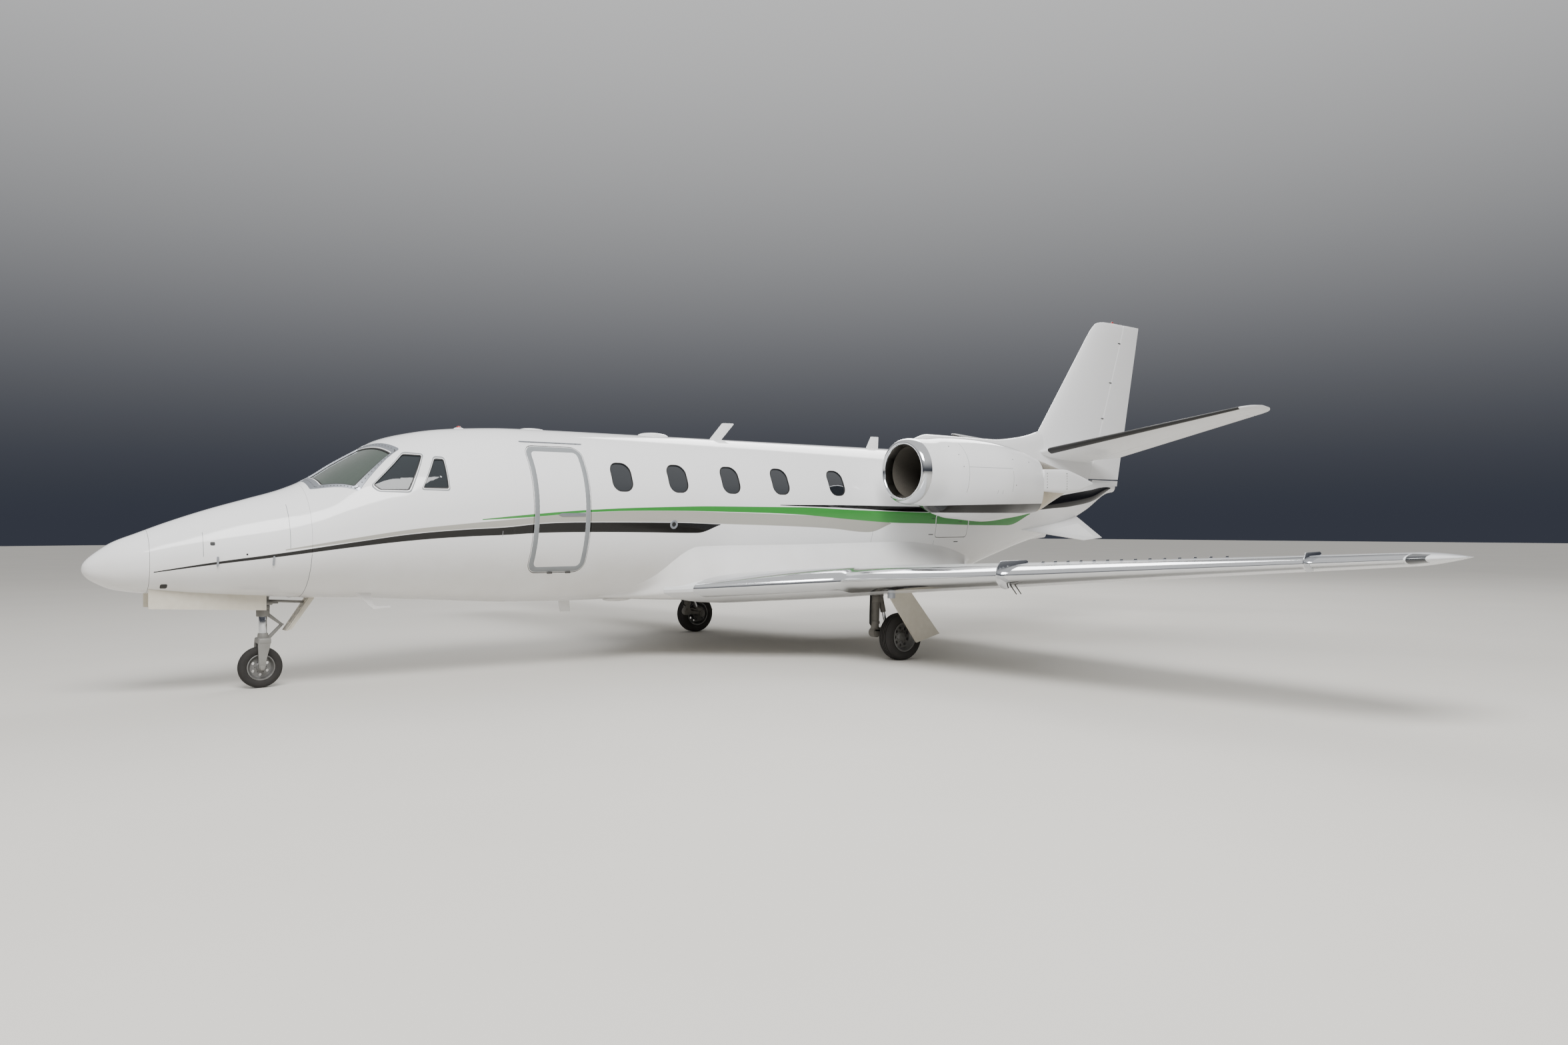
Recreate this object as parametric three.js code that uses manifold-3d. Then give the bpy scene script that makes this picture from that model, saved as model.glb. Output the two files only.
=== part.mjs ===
// Mid-size business jet standing on its landing gear, in millimetres, +Z up.
// It is laid out in stations: x is the distance aft of the nose tip, y is to starboard, z is up from the ground.
// The outer group then moves the whole aircraft so that the origin is on the ground below its middle.
import * as THREE from 'three';
import Module from 'manifold-3d';
import { mergeVertices } from 'three/addons/utils/BufferGeometryUtils.js';

const wasm = await Module();
wasm.setup();

// Driving dimensions of the whole aircraft
const LENGTH = 16193;
const HALF_SPAN = 8480;
const SEAM = 0.3;
const MOVING_GAP = 8;
const END_GAP = 20;
const BAGGAGE_GAP = 17;
const PORT = -1;
const STARBOARD = 1;
const SIDES = [['left', PORT], ['right', STARBOARD]];

// Colours and finishes, as [colour, roughness, metalness]
const FINISH = {
  whitePaint: [0xe6e7e8, 0.25, 0.1],
  polished: [0xd8dade, 0.12, 1.0],
  darkMetal: [0x4a4a4c, 0.5, 0.8],
  glass: [0x1c2226, 0.08, 0.0],
  tyre: [0x17171a, 0.85, 0.0],
  rim: [0xb9bcc0, 0.4, 0.9],
  gearPaint: [0xdfe0df, 0.35, 0.1],
  leather: [0xb7aa93, 0.6, 0.0],
  panelBlack: [0x202124, 0.7, 0.0],
  floorGrey: [0x8b8579, 0.8, 0.0],
};

const aircraft = new THREE.Group();

// Solids: closed geometry to and from the boolean library

function toSolid(geometry) {
  const bare = geometry.clone();
  bare.deleteAttribute('normal');
  bare.deleteAttribute('uv');
  const merged = mergeVertices(bare, 1e-3);
  return new wasm.Manifold(new wasm.Mesh({
    numProp: 3,
    vertProperties: new Float32Array(merged.attributes.position.array),
    triVerts: new Uint32Array(merged.index.array),
  }));
}

function toGeometry(solid) {
  const mesh = solid.getMesh();
  const geometry = new THREE.BufferGeometry();
  geometry.setAttribute('position', new THREE.BufferAttribute(mesh.vertProperties, 3));
  geometry.setIndex(new THREE.BufferAttribute(mesh.triVerts, 1));
  return geometry;
}

function cut(solid, ...tools) {
  return tools.reduce((body, tool) => body.subtract(tool), solid);
}

function join(first, ...others) {
  return others.reduce((body, other) => body.add(other), first);
}

// The main body of a cut, without the slivers that it leaves
function largest(solid) {
  return solid.decompose().sort((p, q) => q.volume() - p.volume())[0];
}

function addPiece(name, solid, finish) {
  const [color, roughness, metalness] = FINISH[finish];
  const material = new THREE.MeshStandardMaterial({ color, roughness, metalness });
  const mesh = new THREE.Mesh(toGeometry(solid), material);
  mesh.name = name;
  aircraft.add(mesh);
}

// Shapes: a loft through rings of points, an extruded outline, a turned profile, a box and a rod

// Flat triangles that close a ring, found in the plane that it lies nearest to
function capFaces(ring) {
  const span = [0, 1, 2].map((k) => Math.max(...ring.map((p) => p[k])) - Math.min(...ring.map((p) => p[k])));
  const drop = span.indexOf(Math.min(...span));
  const [a, b] = [0, 1, 2].filter((k) => k !== drop);
  return THREE.ShapeUtils.triangulateShape(ring.map((p) => new THREE.Vector2(p[a], p[b])), []);
}

function signedVolume(points, faces) {
  let volume = 0;
  for (const [a, b, c] of faces) {
    const [p, q, r] = [points[a], points[b], points[c]];
    volume += p[0] * (q[1] * r[2] - q[2] * r[1]) - p[1] * (q[0] * r[2] - q[2] * r[0])
      + p[2] * (q[0] * r[1] - q[1] * r[0]);
  }
  return volume;
}

function loft(rings) {
  const count = rings[0].length;
  const points = rings.flat();
  const middle = points[0].map((_, k) => points.reduce((sum, p) => sum + p[k], 0) / points.length);
  const faces = [];
  for (let ring = 0; ring < rings.length - 1; ring += 1) {
    for (let i = 0; i < count; i += 1) {
      const a = ring * count + i;
      const b = ring * count + ((i + 1) % count);
      faces.push([a, b, b + count], [a, b + count, a + count]);
    }
  }
  const turned = signedVolume(points.map((p) => p.map((v, k) => v - middle[k])), faces) < 0;
  const last = (rings.length - 1) * count;
  const walls = turned ? faces.map(([a, b, c]) => [a, c, b]) : faces;
  const edges = new Set(walls.flatMap(([a, b, c]) => [`${a} ${b}`, `${b} ${c}`, `${c} ${a}`]));
  const caps = [[capFaces(rings[0]), 0], [capFaces(rings.at(-1)), last]].flatMap(([flat, offset]) => {
    const placed = flat.map((face) => face.map((i) => i + offset));
    const shared = placed.some(([a, b, c]) => [[a, b], [b, c], [c, a]].some(([p, q]) => edges.has(`${p} ${q}`)));
    return shared ? placed.map(([a, b, c]) => [a, c, b]) : placed;
  });
  const geometry = new THREE.BufferGeometry();
  geometry.setAttribute('position', new THREE.Float32BufferAttribute(points.flat(), 3));
  geometry.setIndex([...walls, ...caps].flat());
  return toSolid(geometry);
}

// An outline in the plane of the two axes, such as 'xz', extruded along the third from low to high
function prism(outline, axes, low, high) {
  const [a, b] = [...axes].map((axis) => 'xyz'.indexOf(axis));
  const c = 3 - a - b;
  const ring = (level) => outline.map(([p, q]) => {
    const point = [0, 0, 0];
    point[a] = p;
    point[b] = q;
    point[c] = level;
    return point;
  });
  return loft([ring(low), ring(high)]);
}

function box(low, high) {
  const outline = [[low[0], low[1]], [high[0], low[1]], [high[0], high[1]], [low[0], high[1]]];
  return prism(outline, 'xy', low[2], high[2]);
}

// A rectangle with round corners, as an outline of points
function roundedOutline(centre, size, radius, perCorner = 3) {
  const points = [];
  for (let corner = 0; corner < 4; corner += 1) {
    const signs = [[1, 1], [-1, 1], [-1, -1], [1, -1]][corner];
    const hub = [0, 1].map((k) => centre[k] + signs[k] * (size[k] / 2 - radius));
    for (let step = 0; step < perCorner; step += 1) {
      const angle = (corner + step / (perCorner - 1)) * Math.PI / 2;
      points.push([hub[0] + radius * Math.cos(angle), hub[1] + radius * Math.sin(angle)]);
    }
  }
  return points;
}

// A closed profile of [radius, height] points turned about an axis through centre
function turned(profile, centre, axis, segments) {
  const shape = new THREE.LatheGeometry(profile.map(([r, h]) => new THREE.Vector2(r, h)), segments);
  shape.rotateY(Math.PI / segments);
  shape.applyQuaternion(new THREE.Quaternion().setFromUnitVectors(
    new THREE.Vector3(0, 1, 0),
    new THREE.Vector3(...axis).normalize(),
  ));
  shape.translate(...centre);
  const solid = toSolid(shape);
  return solid;
}

function rod(from, to, radiusFrom, radiusTo = radiusFrom, segments = 12) {
  const start = new THREE.Vector3(...from);
  const way = new THREE.Vector3(...to).sub(start);
  const length = way.length();
  const profile = [[0, 0], [radiusFrom, 0], [radiusTo, length], [0, length]];
  return turned(profile, from, way.toArray(), segments);
}

function along(table, station, column) {
  const last = table.length - 1;
  if (station <= table[0][0]) return table[0][column];
  for (let row = 0; row < last; row += 1) {
    const [a, b] = [table[row], table[row + 1]];
    if (station <= b[0]) return a[column] + (b[column] - a[column]) * (station - a[0]) / (b[0] - a[0]);
  }
  return table[last][column];
}

// Fuselage

const BODY_SIDES = 28;
const CABIN_WALL = 90;
const TAIL_WALL = 45;
// station, top, bottom, half width, height of the widest point
const BODY = [
  [0, 1262, 1188, 38, 1225],
  [46, 1318, 1137, 96, 1227],
  [109, 1374, 1092, 148, 1230],
  [242, 1468, 1028, 224, 1240],
  [447, 1556, 990, 300, 1260],
  [692, 1657, 966, 366, 1290],
  [1042, 1783, 938, 462, 1335],
  [1393, 1892, 914, 556, 1385],
  [1679, 1981, 897, 634, 1435],
  [1920, 2086, 884, 700, 1495],
  [2195, 2265, 869, 768, 1580],
  [2449, 2415, 858, 822, 1655],
  [2653, 2529, 845, 856, 1700],
  [2890, 2600, 828, 884, 1740],
  [3257, 2670, 803, 914, 1775],
  [3573, 2702, 780, 930, 1790],
  [4128, 2730, 746, 940, 1795],
  [5050, 2735, 729, 940, 1795],
  [10000, 2735, 735, 940, 1795],
  [10900, 2732, 811, 912, 1800],
  [11807, 2720, 1059, 838, 1860],
  [12478, 2700, 1242, 742, 1920],
  [13490, 2620, 1487, 520, 2010],
  [14460, 2395, 1826, 280, 2110],
  [15208, 2372, 2165, 108, 2270],
  [15376, 2362, 2193, 82, 2278],
];
const RADOME_JOINT = 515;
const COCKPIT_FRONT = 1850;
const CABIN_FRONT = 3850;
const TAIL_FRONT = 10050;
const BODY_END = 15380;
const SOLID_TAIL = 12600;
const BULKHEAD = 30;
const BODY_JOINTS = [RADOME_JOINT, COCKPIT_FRONT, CABIN_FRONT, TAIL_FRONT, SOLID_TAIL];

function bodyRing(station, grow = 0) {
  const [top, bottom, half, waist] = [1, 2, 3, 4].map((column) => along(BODY, station, column));
  return Array.from({ length: BODY_SIDES }, (_, i) => {
    const angle = 2 * Math.PI * i / BODY_SIDES;
    const rise = Math.sin(angle) > 0 ? top - waist + grow : waist - bottom + grow;
    return [station, (half + grow) * Math.cos(angle), waist + rise * Math.sin(angle)];
  });
}

const wholeBodies = new Map();

// The whole body grown by a distance, with a ring at each joint so that every slice has the same facets
function wholeBody(grow) {
  if (!wholeBodies.has(grow)) {
    const inner = BODY.filter(([, top, bottom, half]) => Math.min(half, (top - bottom) / 2) + grow > 5);
    const reach = [inner[0][0], inner.at(-1)[0]];
    const joints = BODY_JOINTS.filter((station) => station > reach[0] && station < reach[1]);
    const stations = [...new Set([...inner.map((row) => row[0]), ...joints])].sort((a, b) => a - b);
    wholeBodies.set(grow, loft(stations.map((station) => bodyRing(station, grow))));
  }
  return wholeBodies.get(grow);
}

function bodyLoft(from, to, grow = 0) {
  return wholeBody(grow).intersect(box([from, -1500, 0], [to, 1500, 3500]));
}

const bodyOutside = wholeBody(SEAM);

function bodyShell(from, to, wall) {
  return cut(bodyLoft(from, to), bodyLoft(from - 10, to + 10, -wall));
}

// Windows: centre station of each pane, with one more opposite the door, and the outline that is cut through one wall
const PORT_WINDOWS = [5145, 5891, 6644, 7405, 8327];
const STARBOARD_WINDOWS = [4385, ...PORT_WINDOWS];
const WINDOW_HEIGHT = 2170;
const WINDOW_SIZE = [268, 340];
const WINDOW_CORNER = 110;
const GLASS_RECESS = 22;
const BELT_THICKNESS = 14;
const BELT_MARGIN = [260, 230];

function windowStations(side) {
  return side < 0 ? PORT_WINDOWS : STARBOARD_WINDOWS;
}

function windowPrism(station, side, shrink = 0) {
  const size = WINDOW_SIZE.map((v) => v - 2 * shrink);
  const outline = roundedOutline([station, WINDOW_HEIGHT], size, WINDOW_CORNER - shrink);
  return prism(outline, 'xz', side < 0 ? -1100 : 300, side < 0 ? -300 : 1100);
}

// Cockpit panes: [x, y] corners of a windscreen half from above, and [x, z] corners of the side panes
const WINDSCREEN = [[1965, 30], [1995, 400], [2252, 635], [2660, 512], [2460, 30]];
const SIDE_PANE = [[2753, 2361], [2932, 2350], [2742, 1974], [2470, 1975], [2418, 2029]];
const REAR_PANE = [[3039, 2318], [3132, 2315], [3133, 1998], [2874, 1999]];

function shrunk(outline, inset) {
  const middle = [0, 1].map((k) => outline.reduce((sum, p) => sum + p[k], 0) / outline.length);
  return outline.map((p) => {
    const away = p.map((v, k) => v - middle[k]);
    const scale = 1 - inset / Math.hypot(...away);
    return middle.map((v, k) => v + away[k] * scale);
  });
}

function cockpitPrisms(side, inset = 0) {
  const screen = shrunk(WINDSCREEN, inset).map(([x, y]) => [x, side * y]);
  const [low, high] = side < 0 ? [-1100, -300] : [300, 1100];
  return [
    prism(screen, 'xy', 1700, 2900),
    prism(shrunk(SIDE_PANE, inset), 'xz', low, high),
    prism(shrunk(REAR_PANE, inset), 'xz', low, high),
  ];
}

function bodyLayer(from, to, outer, inner) {
  return cut(bodyLoft(from, to, -outer), bodyLoft(from - 10, to + 10, -inner));
}

// A hinge knuckle from one station of an axis to another, with a web of [y, z] points measured from the axis
function knuckle(axisAt, from, to, radius, web) {
  const [p, q] = [axisAt(from), axisAt(to)];
  const plate = loft([p, q].map(([x, y, z]) => web.map(([dy, dz]) => [x, y + dy, z + dz])));
  return join(rod(p, q, radius, radius, 10), plate);
}

const SEAT_GAP = 0.4;

// Cabin door, an airstair hinged along its sill, with the stations where each pair of knuckles starts
const DOOR_LOW = [4036, 1095];
const DOOR_HIGH = [4725, 2505];
const DOOR_CORNER = 120;
const DOOR_AXIS = { y: -716, z: 1095 };
const DOOR_KNUCKLES = { starts: [4230, 4450], length: 60, radius: 10 };
const DOOR_FRAME_WEB = [[-9, 0], [9, 0], [56, -35], [46, -65]];
const DOOR_WEB = [[-9, 0], [9, 0], [21, 25], [1, 55]];

function doorOutline(inset) {
  const centre = [0, 1].map((k) => (DOOR_LOW[k] + DOOR_HIGH[k]) / 2);
  const size = [0, 1].map((k) => DOOR_HIGH[k] - DOOR_LOW[k] - 2 * inset);
  return roundedOutline(centre, size, DOOR_CORNER - inset, 4);
}

function doorAxis(x) {
  return [x, DOOR_AXIS.y, DOOR_AXIS.z];
}

// Baggage door in the port side of the tail cone, hinged along its lower edge on the skin
const BAGGAGE_LOW = [10100, 1430];
const BAGGAGE_HIGH = [10790, 1770];
const BAGGAGE_CORNER = 60;
const BAGGAGE_AXIS = [[10100, -878.5], [10790, -850.3]];
const BAGGAGE_KNUCKLES = { starts: [10190, 10600], length: 45, radius: 7, room: 12 };
const BAGGAGE_FRAME_WEB = [[-6, 0], [6, 0], [24, -30], [14, -34]];
const BAGGAGE_WEB = [[-5, 0], [5, 0], [6, 40], [-5, 40]];

function baggageAxis(x) {
  return [x, along(BAGGAGE_AXIS, x, 1), BAGGAGE_LOW[1]];
}

function baggageOutline(inset) {
  const centre = [0, 1].map((k) => (BAGGAGE_LOW[k] + BAGGAGE_HIGH[k]) / 2);
  const size = [0, 1].map((k) => BAGGAGE_HIGH[k] - BAGGAGE_LOW[k] - 2 * inset);
  return roundedOutline(centre, size, BAGGAGE_CORNER - inset, 3);
}

// Nose wheel well
const NOSE_WELL_LOW = [640, -150, 700];
const NOSE_WELL_HIGH = [1780, 150, 1290];

function makeFuselage() {
  addPiece('radome', bodyLoft(0, RADOME_JOINT - SEAM), 'whitePaint');
  const well = box(NOSE_WELL_LOW, NOSE_WELL_HIGH);
  addPiece('nose_section', cut(bodyLoft(RADOME_JOINT, COCKPIT_FRONT - SEAM), well), 'whitePaint');

  const cockpit = bodyShell(COCKPIT_FRONT, CABIN_FRONT - SEAM, CABIN_WALL);
  addPiece('cockpit_shell', cut(cockpit, ...cockpitPrisms(PORT), ...cockpitPrisms(STARBOARD)), 'whitePaint');
  for (const [hand, side] of SIDES) {
    const half = side < 0 ? box([1900, -1200, 1000], [3500, -20, 3000]) : box([1900, 20, 1000], [3500, 1200, 3000]);
    const belt = bodyLayer(1900, 3450, CABIN_WALL + SEAM, CABIN_WALL + BELT_THICKNESS).intersect(half)
      .intersect(box([1930, -1200, 1780], [3300, 1200, 2900]));
    const layer = bodyLayer(1860, 3450, GLASS_RECESS, CABIN_WALL + BELT_THICKNESS);
    const panes = cockpitPrisms(side, SEAM + 0.2).map((tool) => layer.intersect(tool));
    addPiece(`cockpit_glazing_${hand}`, join(belt, ...panes), 'glass');
  }

  const doorway = prism(doorOutline(0), 'xz', -1200, -300);
  const windows = SIDES.flatMap(([, side]) => windowStations(side).map((station) => windowPrism(station, side)));
  const { starts, length, radius } = DOOR_KNUCKLES;
  const frameKnuckles = starts.map((x) => knuckle(doorAxis, x, x + length, radius, DOOR_FRAME_WEB));
  const cabin = cut(bodyShell(CABIN_FRONT, TAIL_FRONT - SEAM, CABIN_WALL), doorway, ...windows);
  addPiece('cabin_shell', join(cabin, ...frameKnuckles), 'whitePaint');
  for (const [hand, side] of SIDES) {
    const stations = windowStations(side);
    const [ahead, above] = BELT_MARGIN;
    const low = [stations[0] - ahead, side < 0 ? -1200 : 0, WINDOW_HEIGHT - above];
    const high = [stations.at(-1) + ahead, side < 0 ? 0 : 1200, WINDOW_HEIGHT + above];
    const belt = bodyLayer(4000, 9500, CABIN_WALL + SEAM, CABIN_WALL + BELT_THICKNESS).intersect(box(low, high));
    const layer = bodyLayer(4000, 9500, GLASS_RECESS, CABIN_WALL + BELT_THICKNESS);
    const panes = stations.map((station) => layer.intersect(windowPrism(station, side, SEAM + 0.2)));
    addPiece(`cabin_windows_${hand}`, join(belt, ...panes), 'glass');
  }
  const doorPlug = prism(doorOutline(MOVING_GAP), 'xz', -1200, -300);
  const doorKnuckles = starts.map((x) => knuckle(doorAxis, x + length + SEAT_GAP, x + 2 * length, radius, DOOR_WEB));
  addPiece('cabin_door', join(bodyShell(3900, 4900, CABIN_WALL).intersect(doorPlug), ...doorKnuckles), 'whitePaint');
  makeTailCone();
}

function makeTailCone() {
  const { starts, length, radius, room } = BAGGAGE_KNUCKLES;
  const rearBulkhead = bodyLoft(TAIL_FRONT, TAIL_FRONT + BULKHEAD, -TAIL_WALL + 1);
  const baggageHole = prism(baggageOutline(0), 'xz', -1100, -200);
  const hollow = bodyLoft(TAIL_FRONT - 10, SOLID_TAIL, -TAIL_WALL);
  const closed = join(cut(bodyLoft(TAIL_FRONT, BODY_END), hollow), rearBulkhead, dorsalFairing());
  const recesses = starts.map((x) => rod(baggageAxis(x + length), baggageAxis(x + 2 * length + 5), room, room, 12));
  const frameKnuckles = starts.map((x) => knuckle(baggageAxis, x, x + length, radius, BAGGAGE_FRAME_WEB));
  const footPin = rod(rudderAxisPoint(2340), rudderAxisPoint(RUDDER_LOW + RUDDER_FOOT_GAP - 0.6), 16, 1, 10);
  addPiece('tail_cone', join(cut(closed, baggageHole, ...recesses), ...frameKnuckles, footPin), 'whitePaint');
  const plug = bodyShell(10060, 10900, TAIL_WALL).intersect(prism(baggageOutline(BAGGAGE_GAP), 'xz', -1100, -200));
  const doorKnuckles = starts.map(
    (x) => knuckle(baggageAxis, x + length + 2 * SEAT_GAP, x + 2 * length, radius, BAGGAGE_WEB),
  );
  addPiece('baggage_door', join(plug, ...doorKnuckles), 'whitePaint');
}

// Dorsal fairing ahead of the fin: station, top, half width
const DORSAL = [
  [10350, 2745, 40],
  [10620, 2940, 120],
  [10850, 3000, 130],
  [12300, 2990, 120],
  [12900, 3050, 100],
  [13480, 3200, 80],
];

function dorsalRing([station, top, half]) {
  const foot = along(BODY, station, 1) - 120;
  return [
    [station, -half * 1.6, foot],
    [station, -half * 1.15, foot + (top - foot) * 0.6],
    [station, -half * 0.7, foot + (top - foot) * 0.9],
    [station, 0, top],
    [station, half * 0.7, foot + (top - foot) * 0.9],
    [station, half * 1.15, foot + (top - foot) * 0.6],
    [station, half * 1.6, foot],
  ];
}

function dorsalFairing() {
  return loft(DORSAL.map(dorsalRing));
}

// Belly fairing under the wing: station, height of the edge on the skin, bottom, half width
const BELLY = [
  [5150, 860, 760, 300],
  [5580, 930, 728, 430],
  [5850, 1180, 716, 760],
  [6030, 1392, 708, 930],
  [6700, 1395, 692, 1040],
  [7600, 1390, 684, 1090],
  [9300, 1410, 684, 1090],
  [9700, 1410, 690, 1075],
  [10380, 1330, 742, 985],
  [10770, 1230, 788, 860],
  [11200, 1120, 885, 420],
  [11330, 1080, 945, 250],
];
// Half of the fairing's section from the bottom up: share of the half width, share of the height, pull to the skin
const BELLY_SECTION = [
  [0.4, 0, 0], [0.72, 0.03, 0], [0.9, 0.12, 0], [0.985, 0.25, 0], [1, 0.4, 0], [1, 0.52, 0.12], [1, 0.64, 0.36],
  [1, 0.78, 0.68], [1, 0.9, 0.9], [1, 1, 1],
];
const BELLY_EDGE = 14;

function skinHalf(station, height) {
  const [bottom, half, waist] = [2, 3, 4].map((column) => along(BODY, station, column));
  return half * Math.sqrt(1 - ((waist - height) / (waist - bottom)) ** 2);
}

function bellyRing([station, top, bottom, half], grow) {
  const edge = skinHalf(station, top) - BELLY_EDGE;
  const right = BELLY_SECTION.map(([share, level, pull]) => [
    station,
    half * share * (1 - pull) + edge * pull + grow,
    bottom + (top - bottom) * level - grow * (1 - level),
  ]);
  return [...right, ...right.map(([x, y, z]) => [x, -y, z]).reverse()];
}

function bellyLoft(grow = 0) {
  return loft(BELLY.map((row) => bellyRing(row, grow)));
}

// Cabin fittings

const FLOOR_TOP = 1094;
const FLOOR_THICKNESS = 60;

function insideLoft(clear) {
  return bodyLoft(COCKPIT_FRONT - 10, TAIL_FRONT + 10, -CABIN_WALL - clear);
}

// Side view of one seat facing forward from its front edge: cushion, back and headrest
const SEAT_OUTLINE = [[0, 0], [60, 380], [60, 480], [520, 450], [600, 1030], [720, 1030], [660, 380], [560, 0]];
const CABIN_SEATS = [5000, 6650, 7500, 8400];
const SEAT_SIDE = [300, 720];
const SEAT_RAIL = { front: 5000, end: 9100, across: [330, 430], height: 40 };
const SEAT_CLEAR = 20;
const PILOT_SEAT = 2850;
const PILOT_SEAT_SIDE = [170, 600];

// Two distances from the middle line, as the lower and the higher y on one side
function acrossOn(side, [near, far]) {
  return side < 0 ? [-far, -near] : [near, far];
}

function seatAt(station, low, high) {
  const outline = SEAT_OUTLINE.map(([x, z]) => [station + x, FLOOR_TOP + SEAM + z]);
  return prism(outline, 'xz', low, high);
}

function makeCabinFittings() {
  const inside = insideLoft(SEAM);
  const slab = box([COCKPIT_FRONT + 60, -900, FLOOR_TOP - FLOOR_THICKNESS], [TAIL_FRONT - 5, 900, FLOOR_TOP]);
  addPiece('cabin_floor', slab.intersect(inside), 'floorGrey');

  const panel = prism([[2180, 1500], [2480, 1500], [2480, 1960], [2350, 2020], [2180, 1900]], 'xz', -700, 700);
  const pedestal = box([2250, -120, FLOOR_TOP + SEAM], [2800, 120, 1520]);
  addPiece('instrument_panel', join(panel, pedestal).intersect(insideLoft(20)), 'panelBlack');

  for (const [hand, side] of SIDES) {
    const pilot = seatAt(PILOT_SEAT, ...acrossOn(side, PILOT_SEAT_SIDE));
    addPiece(`pilot_seat_${hand}`, pilot.intersect(insideLoft(SEAT_CLEAR)), 'leather');
    const [low, high] = acrossOn(side, SEAT_RAIL.across);
    const rail = box([SEAT_RAIL.front, low, FLOOR_TOP + SEAM], [SEAT_RAIL.end, high, FLOOR_TOP + SEAT_RAIL.height]);
    const seats = CABIN_SEATS.map((station) => seatAt(station, ...acrossOn(side, SEAT_SIDE)));
    addPiece(`cabin_seats_${hand}`, join(rail, ...seats).intersect(insideLoft(SEAT_CLEAR)), 'leather');
  }
}

// Wing, tail and other lifting surfaces

// Chord positions of the section's points, from the leading edge
const CHORDWISE = [0, 0.012, 0.05, 0.13, 0.27, 0.45, 0.66, 0.84, 1];

function halfThickness(t, x) {
  return 5 * t * (0.2969 * Math.sqrt(x) - 0.126 * x - 0.3516 * x ** 2 + 0.2843 * x ** 3 - 0.1036 * x ** 4);
}

// One section as a ring: place(x, h) puts a chord fraction and a height over the chord line in space
function sectionRing(thickness, blunt, place) {
  const rise = CHORDWISE.map((x) => halfThickness(thickness, x) + blunt * x);
  const upper = CHORDWISE.map((x, i) => place(x, rise[i]));
  const lower = CHORDWISE.map((x, i) => place(x, -rise[i])).slice(1).reverse();
  return [...upper, ...lower];
}

// span place, leading edge x, chord, height of the chord line, thickness ratio
const WING = [
  [700, 5790, 4050, 850, 0.095],
  [1000, 6080, 3743, 868, 0.1],
  [2200, 7250, 2400, 960, 0.145],
  [4400, 7415, 1925, 1094, 0.129],
  [8200, 7719, 1086, 1338, 0.1],
  [8300, 7752, 888, 1345, 0.098],
  [8400, 7850, 620, 1351, 0.09],
  [8455, 7975, 375, 1354, 0.08],
  [HALF_SPAN, 8110, 130, 1356, 0.06],
];
const WING_BLUNT = 0.0015;

function wingLoft(side, grow = 0) {
  return loft(WING.map(([y, x0, chord, z, t]) => sectionRing(t, WING_BLUNT + grow / chord, (x, h) => [
    x0 + x * chord,
    side * y,
    z + h * chord,
  ])));
}

function wingAt(y, column) {
  return along(WING, y, column);
}

function wingPoint(y, fraction) {
  return [wingAt(y, 1) + fraction * wingAt(y, 2), y, wingAt(y, 3)];
}

// Control surfaces of the wing: inner and outer span places and the chord fraction of the hinge
const FLAP = { inner: 1260, outer: 5150, front: 0.74 };
const AILERON = { inner: 5230, outer: 8080, front: 0.74 };

function surfacePlan({ inner, outer, front }, side, ends, behind) {
  const [a, b] = [inner + ends, outer - ends];
  const [p, q] = [wingPoint(a, front), wingPoint(b, front)];
  return prism([
    [p[0] + behind, side * a],
    [12000, side * a],
    [12000, side * b],
    [q[0] + behind, side * b],
  ], 'xy', 0, 2500);
}

const HINGE_SIDES = 14;
// A cove is this much wider than the nose that turns in it, because the skin behind the hinge swings in too
const COVE_ROOM = 1.1;

// A round bar along a hinge line: rings about the axis in planes across the span, widened fore and aft by its slant
function hingeBar(places, axisAt, radiusAt, upright, grow = 0) {
  const [first, last] = [axisAt(places[0]), axisAt(places.at(-1))];
  const span = upright ? last[2] - first[2] : last[1] - first[1];
  const stretch = Math.hypot(last[0] - first[0], span) / Math.abs(span);
  return loft(places.map((place) => {
    const [x, y, z] = axisAt(place);
    const radius = grow ? radiusAt(place) * COVE_ROOM + grow : radiusAt(place);
    return Array.from({ length: HINGE_SIDES }, (_, i) => {
      const angle = 2 * Math.PI * i / HINGE_SIDES;
      const across = radius * Math.sin(angle);
      return [x + radius * stretch * Math.cos(angle), upright ? y + across : y, upright ? z : z + across];
    });
  }));
}

function aileronHinge(y, side) {
  const point = wingPoint(y, AILERON.front);
  return [point[0], side * y, point[2]];
}

function aileronRadius(y) {
  return (halfThickness(wingAt(y, 4), AILERON.front) + WING_BLUNT) * wingAt(y, 2);
}

// A pivot that tapers along a hinge line, from the fixed structure almost to the end of the moving surface
function pivot(from, to) {
  return rod(from, to, 9, 1, 8);
}

// The flap's hinge line runs below the wing's lower skin, just behind the front edge of the flap
const FLAP_AXIS = [[1268, 8897, 765.6], [5142, 8786, 1061.4]];
const FLAP_LUGS = { places: [1500, 4850], width: 14, radius: 15 };
// Webs of the lugs as [x, z] points measured from the hinge line
const FLAP_WEB = [[-4, 0], [12, -10], [70, 45], [10, 45]];
const FLAP_BRACKET_WEB = [[4, 0], [-12, -10], [-80, 50], [-20, 50]];
const WEB_SIDE_GAP = 2.5;

function flapAxis(y, side) {
  return [along(FLAP_AXIS, y, 1), side * y, along(FLAP_AXIS, y, 2)];
}

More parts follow.
